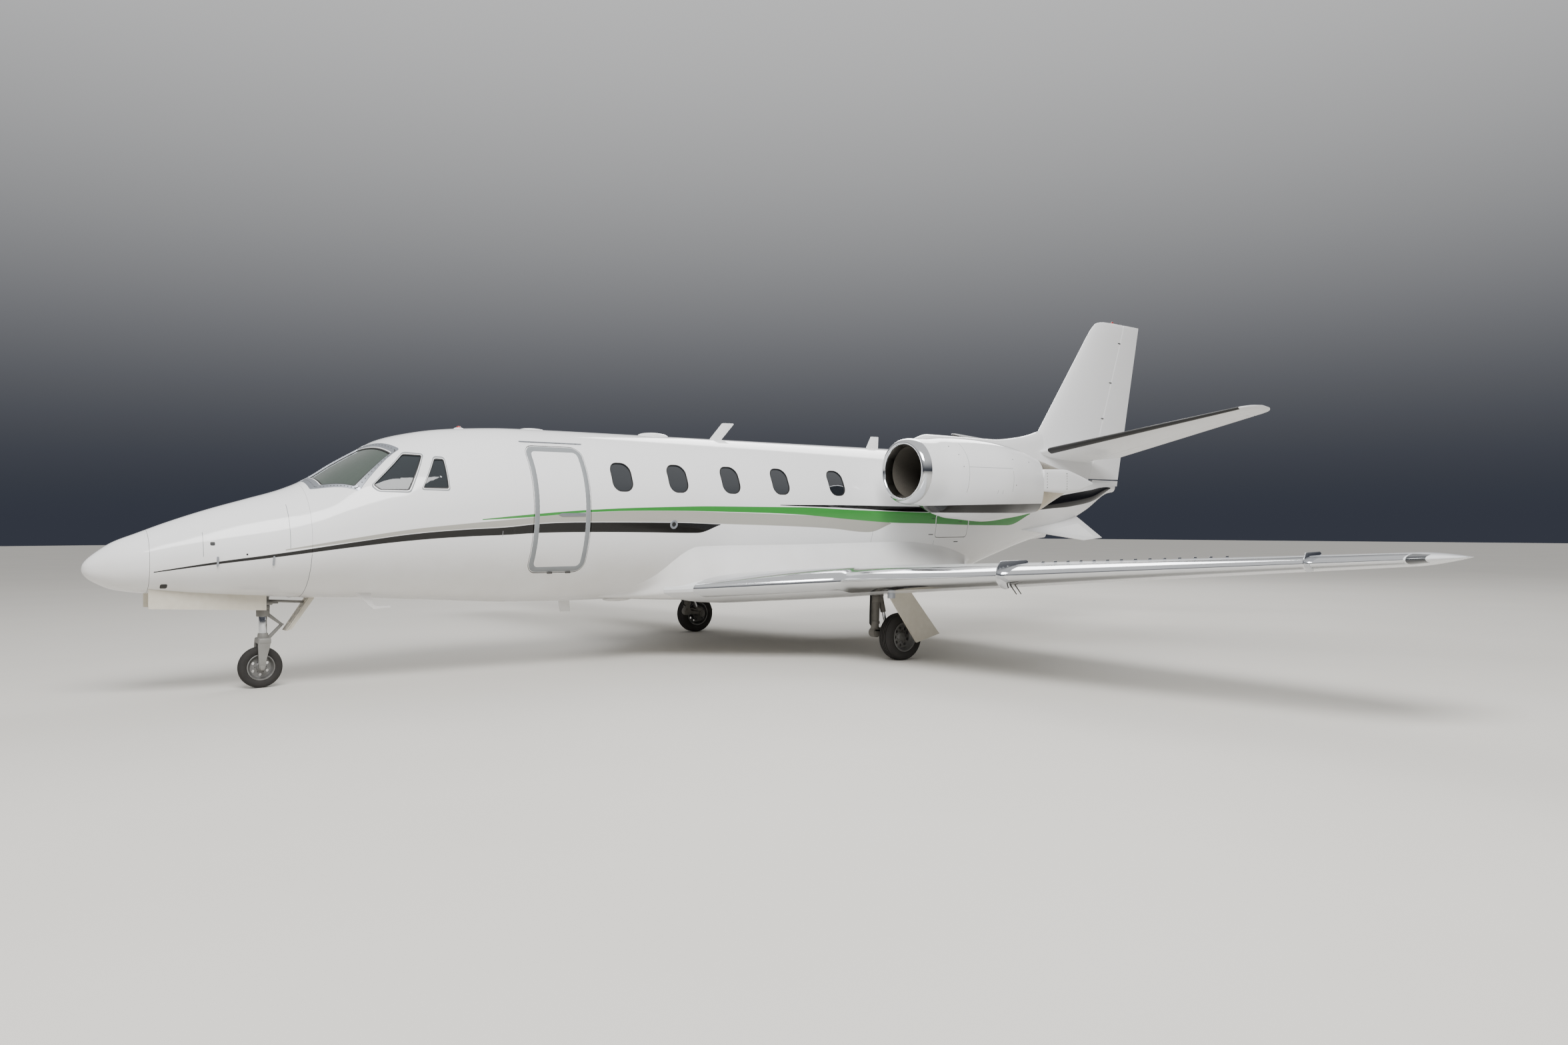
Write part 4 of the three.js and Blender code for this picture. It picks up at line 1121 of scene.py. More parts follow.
# Rubber boots and seals: black with a slight shine
SEAL_RUBBER = Finish(
    "neoprene_black", "#171717", "#262524", 0.38, grains=(Grain(size=120, tint=0.5, gloss=0.15),
                                                         Grain(size=3, tint=0.1, gloss=0.05, height=0.05)),
)
# Grey sealing strip round the door and frames: satin with slight wear
GREY_SEAL = Finish(
    "silicone_grey", "#8C9092", "#76797C", 0.42, grains=(Grain(size=90, tint=0.5, gloss=0.1),
                                                        Grain(size=4, tint=0.2, gloss=0.1, height=0.04)),
)
# Anodised aluminium frame of the windscreen: satin grey
ANODISED = Finish(
    "aluminium_anodised", "#A9ADB4", "#8F949C", 0.33, metallic=0.9,
    grains=(Grain(size=70, tint=0.4, gloss=0.12), Grain(size=3, tint=0.1, gloss=0.05, height=0.03)),
)
# Cast aluminium wheels under silver lacquer, darkened by brake dust
CAST_WHEEL = Finish(
    "aluminium_cast", "#9A9B9B", "#5A5650", 0.42, metallic=0.75,
    grains=(Grain(size=45, tint=0.8, gloss=0.15), Grain(size=3, tint=0.2, gloss=0.1, height=0.12)),
)
# Epoxy enamel on the nose leg, the fork and the flap lugs: grey, darkened as painted shade, with oil stains
GEAR_ENAMEL = Finish(
    "epoxy_enamel", "#8E8D89", "#5F5C56", 0.34,
    grains=(Grain(size=90, tint=0.55, gloss=0.2), Grain(size=4, tint=0.1, gloss=0.05, height=0.05)),
)
# The same enamel on the main legs, darker: painted shade under the wing, with brake dust and grease
LEG_ENAMEL = Finish(
    "epoxy_enamel_soiled_shaded", "#77746D", "#45423C", 0.4,
    grains=(Grain(size=80, tint=0.8, gloss=0.25), Grain(size=4, tint=0.1, gloss=0.05, height=0.05)),
)
# Hard chrome on the sliding tubes of the legs
CHROME = Finish(
    "chromium_plate", "#D7D9DC", "#B9BBBE", 0.08, metallic=1.0, grains=(Grain(size=60, tint=0.4, gloss=0.08),)
)
# Steel fittings with a grey phosphate coat
STEEL = Finish(
    "steel_phosphated", "#5E5D5B", "#43413E", 0.45, metallic=0.8,
    grains=(Grain(size=30, tint=0.7, gloss=0.2),),
)
# Seat leather, dyed and lightly creased
LEATHER = Finish(
    "leather_dyed", "#C3B59C", "#A89778", 0.48, sheen=0.1,
    grains=(Grain(size=60, tint=0.5, gloss=0.1), Grain(size=3, tint=0.2, gloss=0.1, height=0.25, cells=True)),
)
# Cut pile wool carpet: soft and quite without gloss
CARPET = Finish(
    "wool_pile", "#8D8578", "#6E675B", 0.9, sheen=0.4,
    grains=(Grain(size=5, tint=0.9, gloss=0.0, height=1.2),),
)
# Moulded panels of the cockpit and seat shells: dark grey with a fine leather-like texture
DARK_PANEL = Finish(
    "abs_textured", "#2B2C2F", "#1F2022", 0.6, grains=(Grain(size=2, tint=0.3, gloss=0.15, height=0.1),
                                                      Grain(size=90, tint=0.4, gloss=0.1))
)
# Moulded lenses of the beacons: clear red with a gloss
RED_LENS = Finish(
    "polycarbonate_red", "#A81414", "#7A0C0C", 0.08, coat=0.6, grains=(Grain(size=12, tint=0.5),)
)


def dress(
    piece: Object,
    finish: Finish,
    body: str = AIRFRAME,
    stands_for: Sequence[str] = (),
    smooth: float = 32.0,
) -> Object:
    """Gives a finished piece its material, its body and the nodes that it stands for.

    Args:
        piece: The piece, with its place in its mesh.
        finish: What it is made of.
        body: The body that it moves with.
        stands_for: CAD nodes that it replaces.
        smooth: Angle in degrees above which an edge stays sharp.

    Returns:
        The same piece.
    """
    piece.data.materials.clear()
    piece.data.materials.append(finish.material())
    pick(piece)
    bpy.ops.object.shade_smooth_by_angle(angle=math.radians(smooth))
    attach(piece, body)
    if stands_for:
        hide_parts(*stands_for)
    LOG.info("%s, %s, rides on %s, %d faces", piece.name, finish.name, body, len(piece.data.polygons))
    return piece


def dress_node(name: str, finish: Finish) -> None:
    """Gives a CAD node that stays in view its finish.

    Args:
        name: Name of the node.
        finish: What it is made of.
    """
    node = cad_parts[name]
    node.data.materials.clear()
    node.data.materials.append(finish.material())
    LOG.info("%s keeps its shape in %s", name, finish.name)


# Body


@dataclass(frozen=True)
class Hull:
    """The smooth outside of the body: station, top, bottom, half width and height of the widest point."""

    sides: int = 96
    rows: tuple[tuple[float, ...], ...] = (
        (0, 1227, 1224, 1, 1226),
        (3, 1250, 1203, 24, 1226),
        (12, 1273, 1180, 49, 1226),
        (26, 1294, 1160, 72, 1227),
        (46, 1318, 1137, 96, 1227),
        (109, 1374, 1092, 148, 1230),
        (242, 1468, 1028, 224, 1240),
        (447, 1556, 990, 300, 1260),
        (692, 1657, 966, 366, 1290),
        (1042, 1783, 938, 462, 1335),
        (1393, 1892, 914, 556, 1385),
        (1679, 1981, 897, 634, 1435),
        (1920, 2086, 884, 700, 1495),
        (2195, 2265, 869, 768, 1580),
        (2449, 2415, 858, 822, 1655),
        (2653, 2529, 845, 856, 1700),
        (2890, 2600, 828, 884, 1740),
        (3257, 2670, 803, 914, 1775),
        (3573, 2702, 780, 930, 1790),
        (4128, 2730, 746, 940, 1795),
        (5050, 2735, 729, 940, 1795),
        (10000, 2735, 735, 940, 1795),
        (10900, 2732, 811, 912, 1800),
        (11807, 2720, 1059, 838, 1860),
        (12478, 2700, 1242, 742, 1920),
        (13490, 2620, 1487, 520, 2010),
        (14460, 2395, 1826, 280, 2110),
        (15208, 2372, 2165, 108, 2270),
        (15376, 2362, 2193, 82, 2278),
    )
    table: Smooth = field(init=False)

    def __post_init__(self) -> None:
        """Prepares the curves through the rows."""
        object.__setattr__(self, "table", Smooth(self.rows))

    def ring(self, station: float, grow: float = 0.0) -> Ring:
        """The points round the body at a station, grown by a distance.

        Args:
            station: The station.
            grow: Distance outwards.

        Returns:
            The ring.
        """
        top, bottom, half, waist = self.table.at(station)
        ring = []
        for i in range(self.sides):
            angle = math.tau * i / self.sides
            rise = (top - waist if math.sin(angle) > 0 else waist - bottom) + grow
            ring.append((station, (half + grow) * math.cos(angle), waist + rise * math.sin(angle)))
        return ring

    def side(self, station: float, height: float, grow: float = 0.0) -> float:
        """Half width of the skin at a station and height.

        Args:
            station: The station.
            height: The height.
            grow: Distance outwards.

        Returns:
            The half width.
        """
        top, bottom, half, waist = self.table.at(station)
        rise = (top - waist if height > waist else waist - bottom) + grow
        return (half + grow) * math.sqrt(max(0.0, 1 - ((height - waist) / rise) ** 2))

    def crown(self, station: float, across: float, grow: float = 0.0) -> float:
        """Height of the upper skin at a station and a distance from the middle."""
        top, _, half, waist = self.table.at(station)
        return waist + (top - waist + grow) * math.sqrt(max(0.0, 1 - (across / (half + grow)) ** 2))

    def beside(self, side: Side) -> Surface:
        """The side of the body as a surface of station and height."""
        return lambda x, z, grow: (x, side.value * self.side(x, z, grow), z)

    def above(self, side: Side) -> Surface:
        """The top of the body as a surface of station and distance from the middle."""
        return lambda x, y, grow: (x, side.value * y, self.crown(x, y, grow))

    def solid(self, name: str, first: float, last: float, grow: float = 0.0, step: float = 60.0) -> Object:
        """A length of the body without a hollow."""
        stations = spaced(first, last, step, [r[0] for r in self.rows if r[0] < 60])
        return loft(name, [self.ring(s, grow) for s in stations])

    def tube(self, name: str, first: float, last: float, wall: float, step: float = 60.0) -> Object:
        """A length of the body with a wall, open at both ends.

        Args:
            name: Name of the piece.
            first: Front station.
            last: Aft station.
            wall: Thickness of the wall.
            step: Largest distance between rings.

        Returns:
            The closed piece.
        """
        stations = spaced(first, last, step)
        rings = [self.ring(s) for s in stations] + [self.ring(s, -wall) for s in reversed(stations)]
        return loft(name, rings, closed=True)


HULL = Hull()


def foil_height(thickness: float, x: float) -> float:
    """Half the thickness of a section at a share of its chord."""
    return 5 * thickness * (0.2969 * math.sqrt(x) - 0.126 * x - 0.3516 * x**2 + 0.2843 * x**3 - 0.1036 * x**4)


CHORD_STEPS = 26
CHORD_SHARES = [(1 - math.cos(math.pi * k / CHORD_STEPS)) / 2 for k in range(CHORD_STEPS + 1)]


def foil_ring(thickness: float, blunt: float, place: Callable[[float, float], Point]) -> Ring:
    """A section as a ring: place puts a share of the chord and a height over the chord line in space.

    Args:
        thickness: Thickness as a share of the chord.
        blunt: Half the thickness of the aft edge, as a share of the chord.
        place: Puts both shares in space.

    Returns:
        The ring.
    """
    rise = [foil_height(thickness, x) + blunt * x for x in CHORD_SHARES]
    upper = [place(x, h) for x, h in zip(CHORD_SHARES, rise)]
    lower = [place(x, -h) for x, h in zip(CHORD_SHARES, rise)]
    return upper + lower[:0:-1]


def nose_strip(
    name: str,
    places: Sequence[float],
    point: Callable[[float, float, float], Point],
    shares_at: Callable[[float], Flat],
    steps: int = 9,
) -> Object:
    """A thin skin wrapped round a leading edge.

    Args:
        name: Name of the piece.
        places: Places along the span.
        point: Gives the point at a place, a signed share of the chord and a distance outwards.
        shares_at: Gives how far back the skin reaches at a place, above and below, as shares of the chord.
        steps: Points from the leading edge to each edge of the skin.

    Returns:
        The closed piece.
    """
    rings = []
    for place in places:
        above, below = shares_at(place)
        shares = [-below * (k / steps) ** 2 for k in range(steps, 0, -1)]
        shares += [above * (k / steps) ** 2 for k in range(steps + 1)]
        outs = [STRIP_EDGE, *[STRIP_FACE] * (2 * steps - 1), STRIP_EDGE]
        outside = [point(place, s, out) for s, out in zip(shares, outs)]
        inside = [point(place, s, STRIP_BACK) for s in reversed(shares)]
        rings.append(outside + inside)
    return loft(name, rings)


def hinge_bar(
    name: str,
    places: Sequence[float],
    axis_at: Callable[[float], Point],
    radius_at: Callable[[float], float],
    upright: bool,
    grow: float = 0.0,
    sides: int = 32,
) -> Object:
    """A round bar along a hinge line, widened fore and aft by the line's slant.

    Args:
        name: Name of the piece.
        places: Places along the hinge.
        axis_at: Gives the point of the hinge line at a place.
        radius_at: Gives the radius at a place.
        upright: Whether the hinge runs up rather than across.
        grow: Distance by which a cove is wider than the nose that turns in it.
        sides: Sides of the bar.

    Returns:
        The closed piece.
    """
    first, last = axis_at(places[0]), axis_at(places[-1])
    span = last[2] - first[2] if upright else last[1] - first[1]
    stretch = math.hypot(last[0] - first[0], span) / abs(span)
    rings = []
    for place in places:
        x, y, z = axis_at(place)
        radius = radius_at(place) * COVE_SPREAD + grow if grow else radius_at(place)
        ring = []
        for i in range(sides):
            angle = math.tau * i / sides
            across = radius * math.sin(angle)
            ring.append((
                x + radius * stretch * math.cos(angle),
                y + across if upright else y,
                z if upright else z + across,
            ))
        rings.append(ring)
    return loft(name, rings)


@dataclass
class Fuselage:
    """Nose, cockpit and cabin of the body, with their panes and the strip round each."""

    radome_joint: float = 515
    cockpit_front: float = 1850
    cabin_front: float = 3850
    tail_front: float = 10050
    wall: float = 90
    well_low: Point = (640, -150, 700)
    well_high: Point = (1780, 150, 1290)
    windows: tuple[float, ...] = (5145, 5891, 6644, 7405, 8327)
    starboard_window: float = 4385
    window_height: float = 2170
    window_size: Flat = (268, 340)
    window_corner: float = 110
    screen: tuple[Flat, ...] = ((1965, 30), (1995, 400), (2252, 635), (2660, 512), (2460, 30))
    screen_frame: tuple[Flat, ...] = ((1885, 9), (1888, 372), (2293, 691), (2761, 489), (2516, 9))
    side_pane: tuple[Flat, ...] = ((2753, 2361), (2932, 2350), (2742, 1974), (2470, 1975), (2418, 2029))
    rear_pane: tuple[Flat, ...] = ((3039, 2318), (3132, 2315), (3133, 1998), (2874, 1999))
    side_cut: Flat = (300, 1150)
    screen_cut: Flat = (1700, 2900)
    radome_gap: float = 3
    nose_gap: float = 2
    screen_depths: Flat = (-14, -34)
    side_depths: Flat = (-9, -27)
    window_depths: Flat = (-11, -30)
    screen_seal_depths: Flat = (-6, -16)
    side_seal_depths: Flat = (-2, -14)
    window_seal_depths: Flat = (-1, -16)
    pane_edge_depths: Flat = (1.4, -4)
    frame_depths: Flat = (3, -30)
    screw_depths: Flat = (-2, 4.6)
    screw_pitch: float = 45
    screw_radius: float = 6.5

    def build(self) -> None:
        """Builds all of it."""
        radome = HULL.solid("radome_shell", 0, self.radome_joint - self.radome_gap, step=14)
        dress(radome, PLAIN_WHITE, stands_for=["radome"])
        nose = HULL.solid("nose_skin", self.radome_joint, self.cockpit_front - self.nose_gap, step=35)
        carve(nose, block("well", self.well_low, self.well_high, SHARP))
        dress(nose, WHITE_PAINT, stands_for=["nose_section"])
        self.build_cockpit()
        self.build_cabin()

    def window_outline(self, station: float, inset: float = 0.0) -> list[Flat]:
        """The outline of a cabin window as station and height.

        Args:
            station: The station.
            inset: Distance inwards.

        Returns:
            The outline's points.
        """
        half = [v / 2 for v in self.window_size]
        low = (station - half[0], self.window_height - half[1])
        high = (station + half[0], self.window_height + half[1])
        return round_outline(rectangle(low, high, inset), self.window_corner - inset, 9, 3)

    @staticmethod
    def pane_line(outline: Sequence[Flat], inset: float, radius: float, per_edge: int = 8) -> list[Flat]:
        """The rounded outline of a pane, moved inwards."""
        return round_outline(shrunk(outline, inset) if inset else outline, radius, 5, per_edge)

    def build_cockpit(self) -> None:
        """The cockpit skin with its panes, frames and seals."""
        shell = HULL.tube("cockpit_skin", self.cockpit_front, self.cabin_front - SEAM, self.wall, 50)
        parts: dict[Side, dict[str, list[Object]]] = {}
        for side in Side:
            above, beside = HULL.above(side), HULL.beside(side)
            screen, frame_line = self.screen, self.screen_frame
            hole = [(x, side.value * y) for x, y in self.pane_line(screen, 0, 22, 10)]
            carve(shell, prism("screen_hole", hole, "xy", *self.screen_cut))
            wide = self.pane_line(screen, -6, 24, 10)
            pane = plate(f"windscreen_pane_{side.hand}", wide, above, *self.screen_depths, 7)
            dress(pane, SCREEN_GLASS, stands_for=[f"cockpit_glazing_{side.hand}"])
            rim, inner = self.pane_line(screen, -3, 23, 10), self.pane_line(screen, 20, 16, 10)
            seals, sides, edges = [band("pane_seal", rim, inner, above, *self.screen_seal_depths)], [], []
            self.build_screws(side)
            for outline in (self.side_pane, self.rear_pane):
                hole = self.pane_line(outline, 0, 20)
                carve(shell, prism("pane_hole", hole, "xz", *side.reach(*self.side_cut)))
                wide, inner = self.pane_line(outline, -6, 22), self.pane_line(outline, 17, 15)
                sides.append(plate("pane", wide, beside, *self.side_depths))
                seals.append(band("pane_seal", wide, inner, beside, *self.side_seal_depths))
                far, near = self.pane_line(outline, -27, 30), self.pane_line(outline, -9, 24)
                edges.append(band("pane_edge", far, near, beside, *self.pane_edge_depths))
            outer, inner = self.pane_line(frame_line, 0, 22, 10), self.pane_line(screen, 4, 20, 10)
            frame_piece = band(f"windscreen_frame_{side.hand}", outer, inner, above, *self.frame_depths)
            dress(frame_piece, ANODISED)
            parts[side] = {"seals": seals, "side_panes": sides, "pane_edges": edges}
        dress(shell, WHITE_PAINT, stands_for=["cockpit_shell"])
        finishes = {"seals": SEAL_RUBBER, "side_panes": SIDE_GLASS, "pane_edges": GREY_SEAL}
        for side in Side:
            for word, finish in finishes.items():
                dress(joined(f"cockpit_{word}_{side.hand}", parts[side][word]), finish)

    def build_screws(self, side: Side) -> None:
        """The row of screws along the windscreen's frame.

        Args:
            side: Side of the aircraft.
        """
        outer, inner = self.pane_line(self.screen_frame, 0, 22, 10), self.pane_line(self.screen, 4, 22, 10)
        line = [Vector(p).lerp(Vector(q), 0.5) for p, q in zip(outer, inner)]
        surface = HULL.above(side)
        screws = []
        for a, b in zip(line, [*line[1:], line[0]]):
            count = max(1, round((b - a).length / self.screw_pitch))
            for x, y in (a.lerp(b, k / count) for k in range(count)):
                if y > 2 * self.screw_radius + 1:
                    foot, head = (surface(x, y, depth) for depth in self.screw_depths)
                    screws.append(rod("screw", foot, head, self.screw_radius, 5, 8, 0.8))
        dress(joined(f"windscreen_screws_{side.hand}", screws), STEEL)

    def build_cabin(self) -> None:
        """The cabin skin with its doorway and windows."""
        shell = HULL.tube("cabin_skin", self.cabin_front, self.tail_front - SEAM, self.wall, 100)
        carve(shell, prism("doorway", DOOR.outline(0), "xz", *DOOR.cut))
        for side in Side:
            stations = self.windows if side is Side.PORT else (self.starboard_window, *self.windows)
            line, surface = self.window_outline, HULL.beside(side)
            panes, seals = [], []
            for station in stations:
                carve(shell, prism("window_hole", line(station), "xz", *side.reach(*self.side_cut)))
                panes.append(plate("pane", line(station, -6), surface, *self.window_depths))
                rims = line(station, -2), line(station, 11)
                seals.append(band("seal", *rims, surface, *self.window_seal_depths))
            # The panes are opaque and dark: painted shade of the cabin behind them
            dress(
                joined(f"cabin_panes_{side.hand}", panes), ACRYLIC,
                stands_for=[f"cabin_windows_{side.hand}"],
            )
            dress(joined(f"cabin_seals_{side.hand}", seals), SEAL_RUBBER)
        dress(shell, WHITE_PAINT, stands_for=["cabin_shell"])


@dataclass
class CabinDoor:
    """The airstair door with the grey strip along its edge, its handle and its hinge knuckles."""

    low: Flat = (4036, 1095)
    high: Flat = (4725, 2505)
    corner: float = 120
    strip: Flat = (9, 72)
    knuckles: tuple[float, ...] = (4290.4, 4510.4)
    knuckle_length: float = 59
    axis: Flat = (-716, 1095)
    handle: tuple[Flat, ...] = ((4320, 1738), (4366, 1754), (4650, 1756), (4650, 1722), (4366, 1718))
    gutter: tuple[Flat, Flat] = ((4026, 2544), (4779, 2553))
    blank: Flat = (3900, 4900)
    wall: float = 90
    cut: Flat = (-1200, -300)

    def outline(self, inset: float) -> list[Flat]:
        """The door's outline as station and height, moved inwards."""
        return round_outline(rectangle(self.low, self.high, inset), self.corner - inset, 12, 20)

    def build(self) -> None:
        """Builds all of it."""
        leaf = HULL.tube("cabin_door_skin", *self.blank, self.wall, 100)
        carve(leaf, prism("door_plug", self.outline(MOVING_GAP), "xz", *self.cut), how=Cut.WITHIN)
        dress(leaf, WHITE_PAINT, "cabin_door", stands_for=["cabin_door"])
        surface = HULL.beside(Side.PORT)
        strip = band(
            "cabin_door_strip", self.outline(self.strip[0] + 1), self.outline(self.strip[1]), surface, 1.6, -6
        )
        dress(strip, GREY_SEAL, "cabin_door", smooth=50)
        y, z = self.axis
        for k, start in enumerate(self.knuckles):
            end = start + self.knuckle_length
            knuckle = rod(f"cabin_door_knuckle_{k}", (start, y, z), (end, y, z), 10, sides=16)
            dress(knuckle, STEEL, "cabin_door")
        grip = plate("cabin_door_handle", round_outline(self.handle, 8, 5, 5), surface, 6, -5, 3)
        dress(grip, ANODISED, "cabin_door")
        line = round_outline(rectangle(*self.gutter), 3, 3, 30)
        gutter = plate("cabin_door_gutter", line, surface, 9, -4, 3)
        dress(gutter, ANODISED)


DOOR = CabinDoor()


@dataclass
class TailCone:
    """The tail cone with its baggage door and the spine ahead of the fin."""

    front: float = 10050
    end: float = 15380
    hollow_end: float = 12600
    wall: float = 45
    baggage_low: Flat = (10100, 1430)
    baggage_high: Flat = (10790, 1770)
    baggage_corner: float = 60
    baggage_gap: float = 17
    baggage_blank: Flat = (10060, 10900)
    baggage_cut: Flat = (-1100, -200)
    frame_depth: float = 30
    foot_depth: float = 120
    spine_half: tuple[Flat, ...] = (
        (1.75, 0.0), (1.5, 0.22), (1.3, 0.42), (1.13, 0.6), (0.93, 0.77), (0.7, 0.895), (0.42, 0.965),
    )
    spine: tuple[tuple[float, ...], ...] = (
        (10350, 2745, 40),
        (10620, 2940, 120),
        (10850, 3000, 130),
        (12300, 2990, 120),
        (12900, 3050, 100),
        (13480, 3200, 80),
        (13760, 3420, 66),
        (13950, 3640, 50),
    )

    def baggage_outline(self, inset: float) -> list[Flat]:
        """The baggage door's outline as station and height."""
        corners = rectangle(self.baggage_low, self.baggage_high, inset)
        return round_outline(corners, self.baggage_corner - inset, 8, 12)

    def build(self) -> None:
        """Builds all of it."""
        shell = HULL.solid("tail_cone_skin", self.front, self.end, step=80)
        hollow = HULL.solid("hollow", self.front + self.frame_depth, self.hollow_end, -self.wall, 150)
        carve(shell, hollow, prism("baggage_hole", self.baggage_outline(0), "xz", *self.baggage_cut))
        dress(shell, WHITE_PAINT, stands_for=["tail_cone"])
        door = HULL.tube("baggage_door_skin", *self.baggage_blank, self.wall, 60)
        plug = prism("plug", self.baggage_outline(self.baggage_gap), "xz", *self.baggage_cut)
        carve(door, plug, how=Cut.WITHIN)
        dress(door, WHITE_PAINT, "baggage_door", stands_for=["baggage_door"])
        surface = HULL.beside(Side.PORT)
        lip = band(
            "baggage_door_rim", self.baggage_outline(-6), self.baggage_outline(10), surface, 0.8, -5
        )
        dress(lip, PLAIN_WHITE)
        table = Smooth(self.spine)
        rings = [self.spine_ring(s, *table.at(s)) for s in spaced(self.spine[0][0], self.spine[-1][0], 45)]
        dress(loft("dorsal_spine", rings), PLAIN_WHITE, smooth=60)

    def spine_ring(self, station: float, top: float, half: float) -> Ring:
        """A section of the spine, from inside the body on one side over to the other.

        Args:
            station: The station.
            top: Height of the spine's top.
            half: Half its width at the body.

        Returns:
            The ring.
        """
        foot = HULL.table.at(station)[0] - self.foot_depth
        rise = top - foot
        upper = [(station, half * w, foot + rise * h) for w, h in self.spine_half]
        return upper + [(station, 0.0, top)] + [(x, -y, z) for x, y, z in reversed(upper)]


@dataclass
class BellyFairing:
    """The fairing that carries the wing under the body: station, edge height, bottom and half width."""

    edge: float = 14
    rows: tuple[tuple[float, ...], ...] = (
        (5150, 860, 760, 300),
        (5580, 930, 728, 430),
        (5850, 1180, 716, 760),
        (6030, 1392, 708, 930),
        (6700, 1395, 692, 1040),
        (7600, 1390, 684, 1090),
        (9300, 1410, 684, 1090),
        (9700, 1410, 690, 1075),
        (10380, 1330, 742, 985),
        (10770, 1230, 788, 860),
        (11200, 1120, 885, 420),
        (11330, 1080, 945, 250),
    )
    section: tuple[tuple[float, float, float], ...] = (
        (0.4, 0, 0),
        (0.72, 0.03, 0),
        (0.9, 0.12, 0),
        (0.985, 0.25, 0),
        (1, 0.4, 0),
        (1, 0.52, 0.12),
        (1, 0.64, 0.36),
        (1, 0.78, 0.68),
        (1, 0.9, 0.9),
        (1, 1, 1),
    )

    def ring(self, station: float, top: float, bottom: float, half: float) -> Ring:
        """The points round the fairing at a station.

        Args:
            station: The station.
            top: Height of the edge on the body.
            bottom: Height of the underside.
            half: Half the width below.

        Returns:
            The ring.
        """
        edge = HULL.side(station, top) - self.edge
        curve = Smooth([(k, *values) for k, values in enumerate(self.section)])
        right = []
        for k in spaced(0, len(self.section) - 1, 0.34):
            share, level, pull = curve.at(k)
            right.append((station, half * share * (1 - pull) + edge * pull, bottom + (top - bottom) * level))
        return right + [(x, -y, z) for x, y, z in reversed(right)]

    def build(self) -> None:
        """Builds the fairing and cuts the wheel wells out of it."""
        table = Straight(self.rows, 160)
        rings = [self.ring(s, *table.at(s)) for s in spaced(self.rows[0][0], self.rows[-1][0], 90)]
        fairing = loft("belly_fairing_skin", rings)
        for side in Side:
            carve(fairing, WING.wheel_well(side))
        dress(fairing, PLAIN_WHITE, stands_for=["belly_fairing"], smooth=40)


# Wing


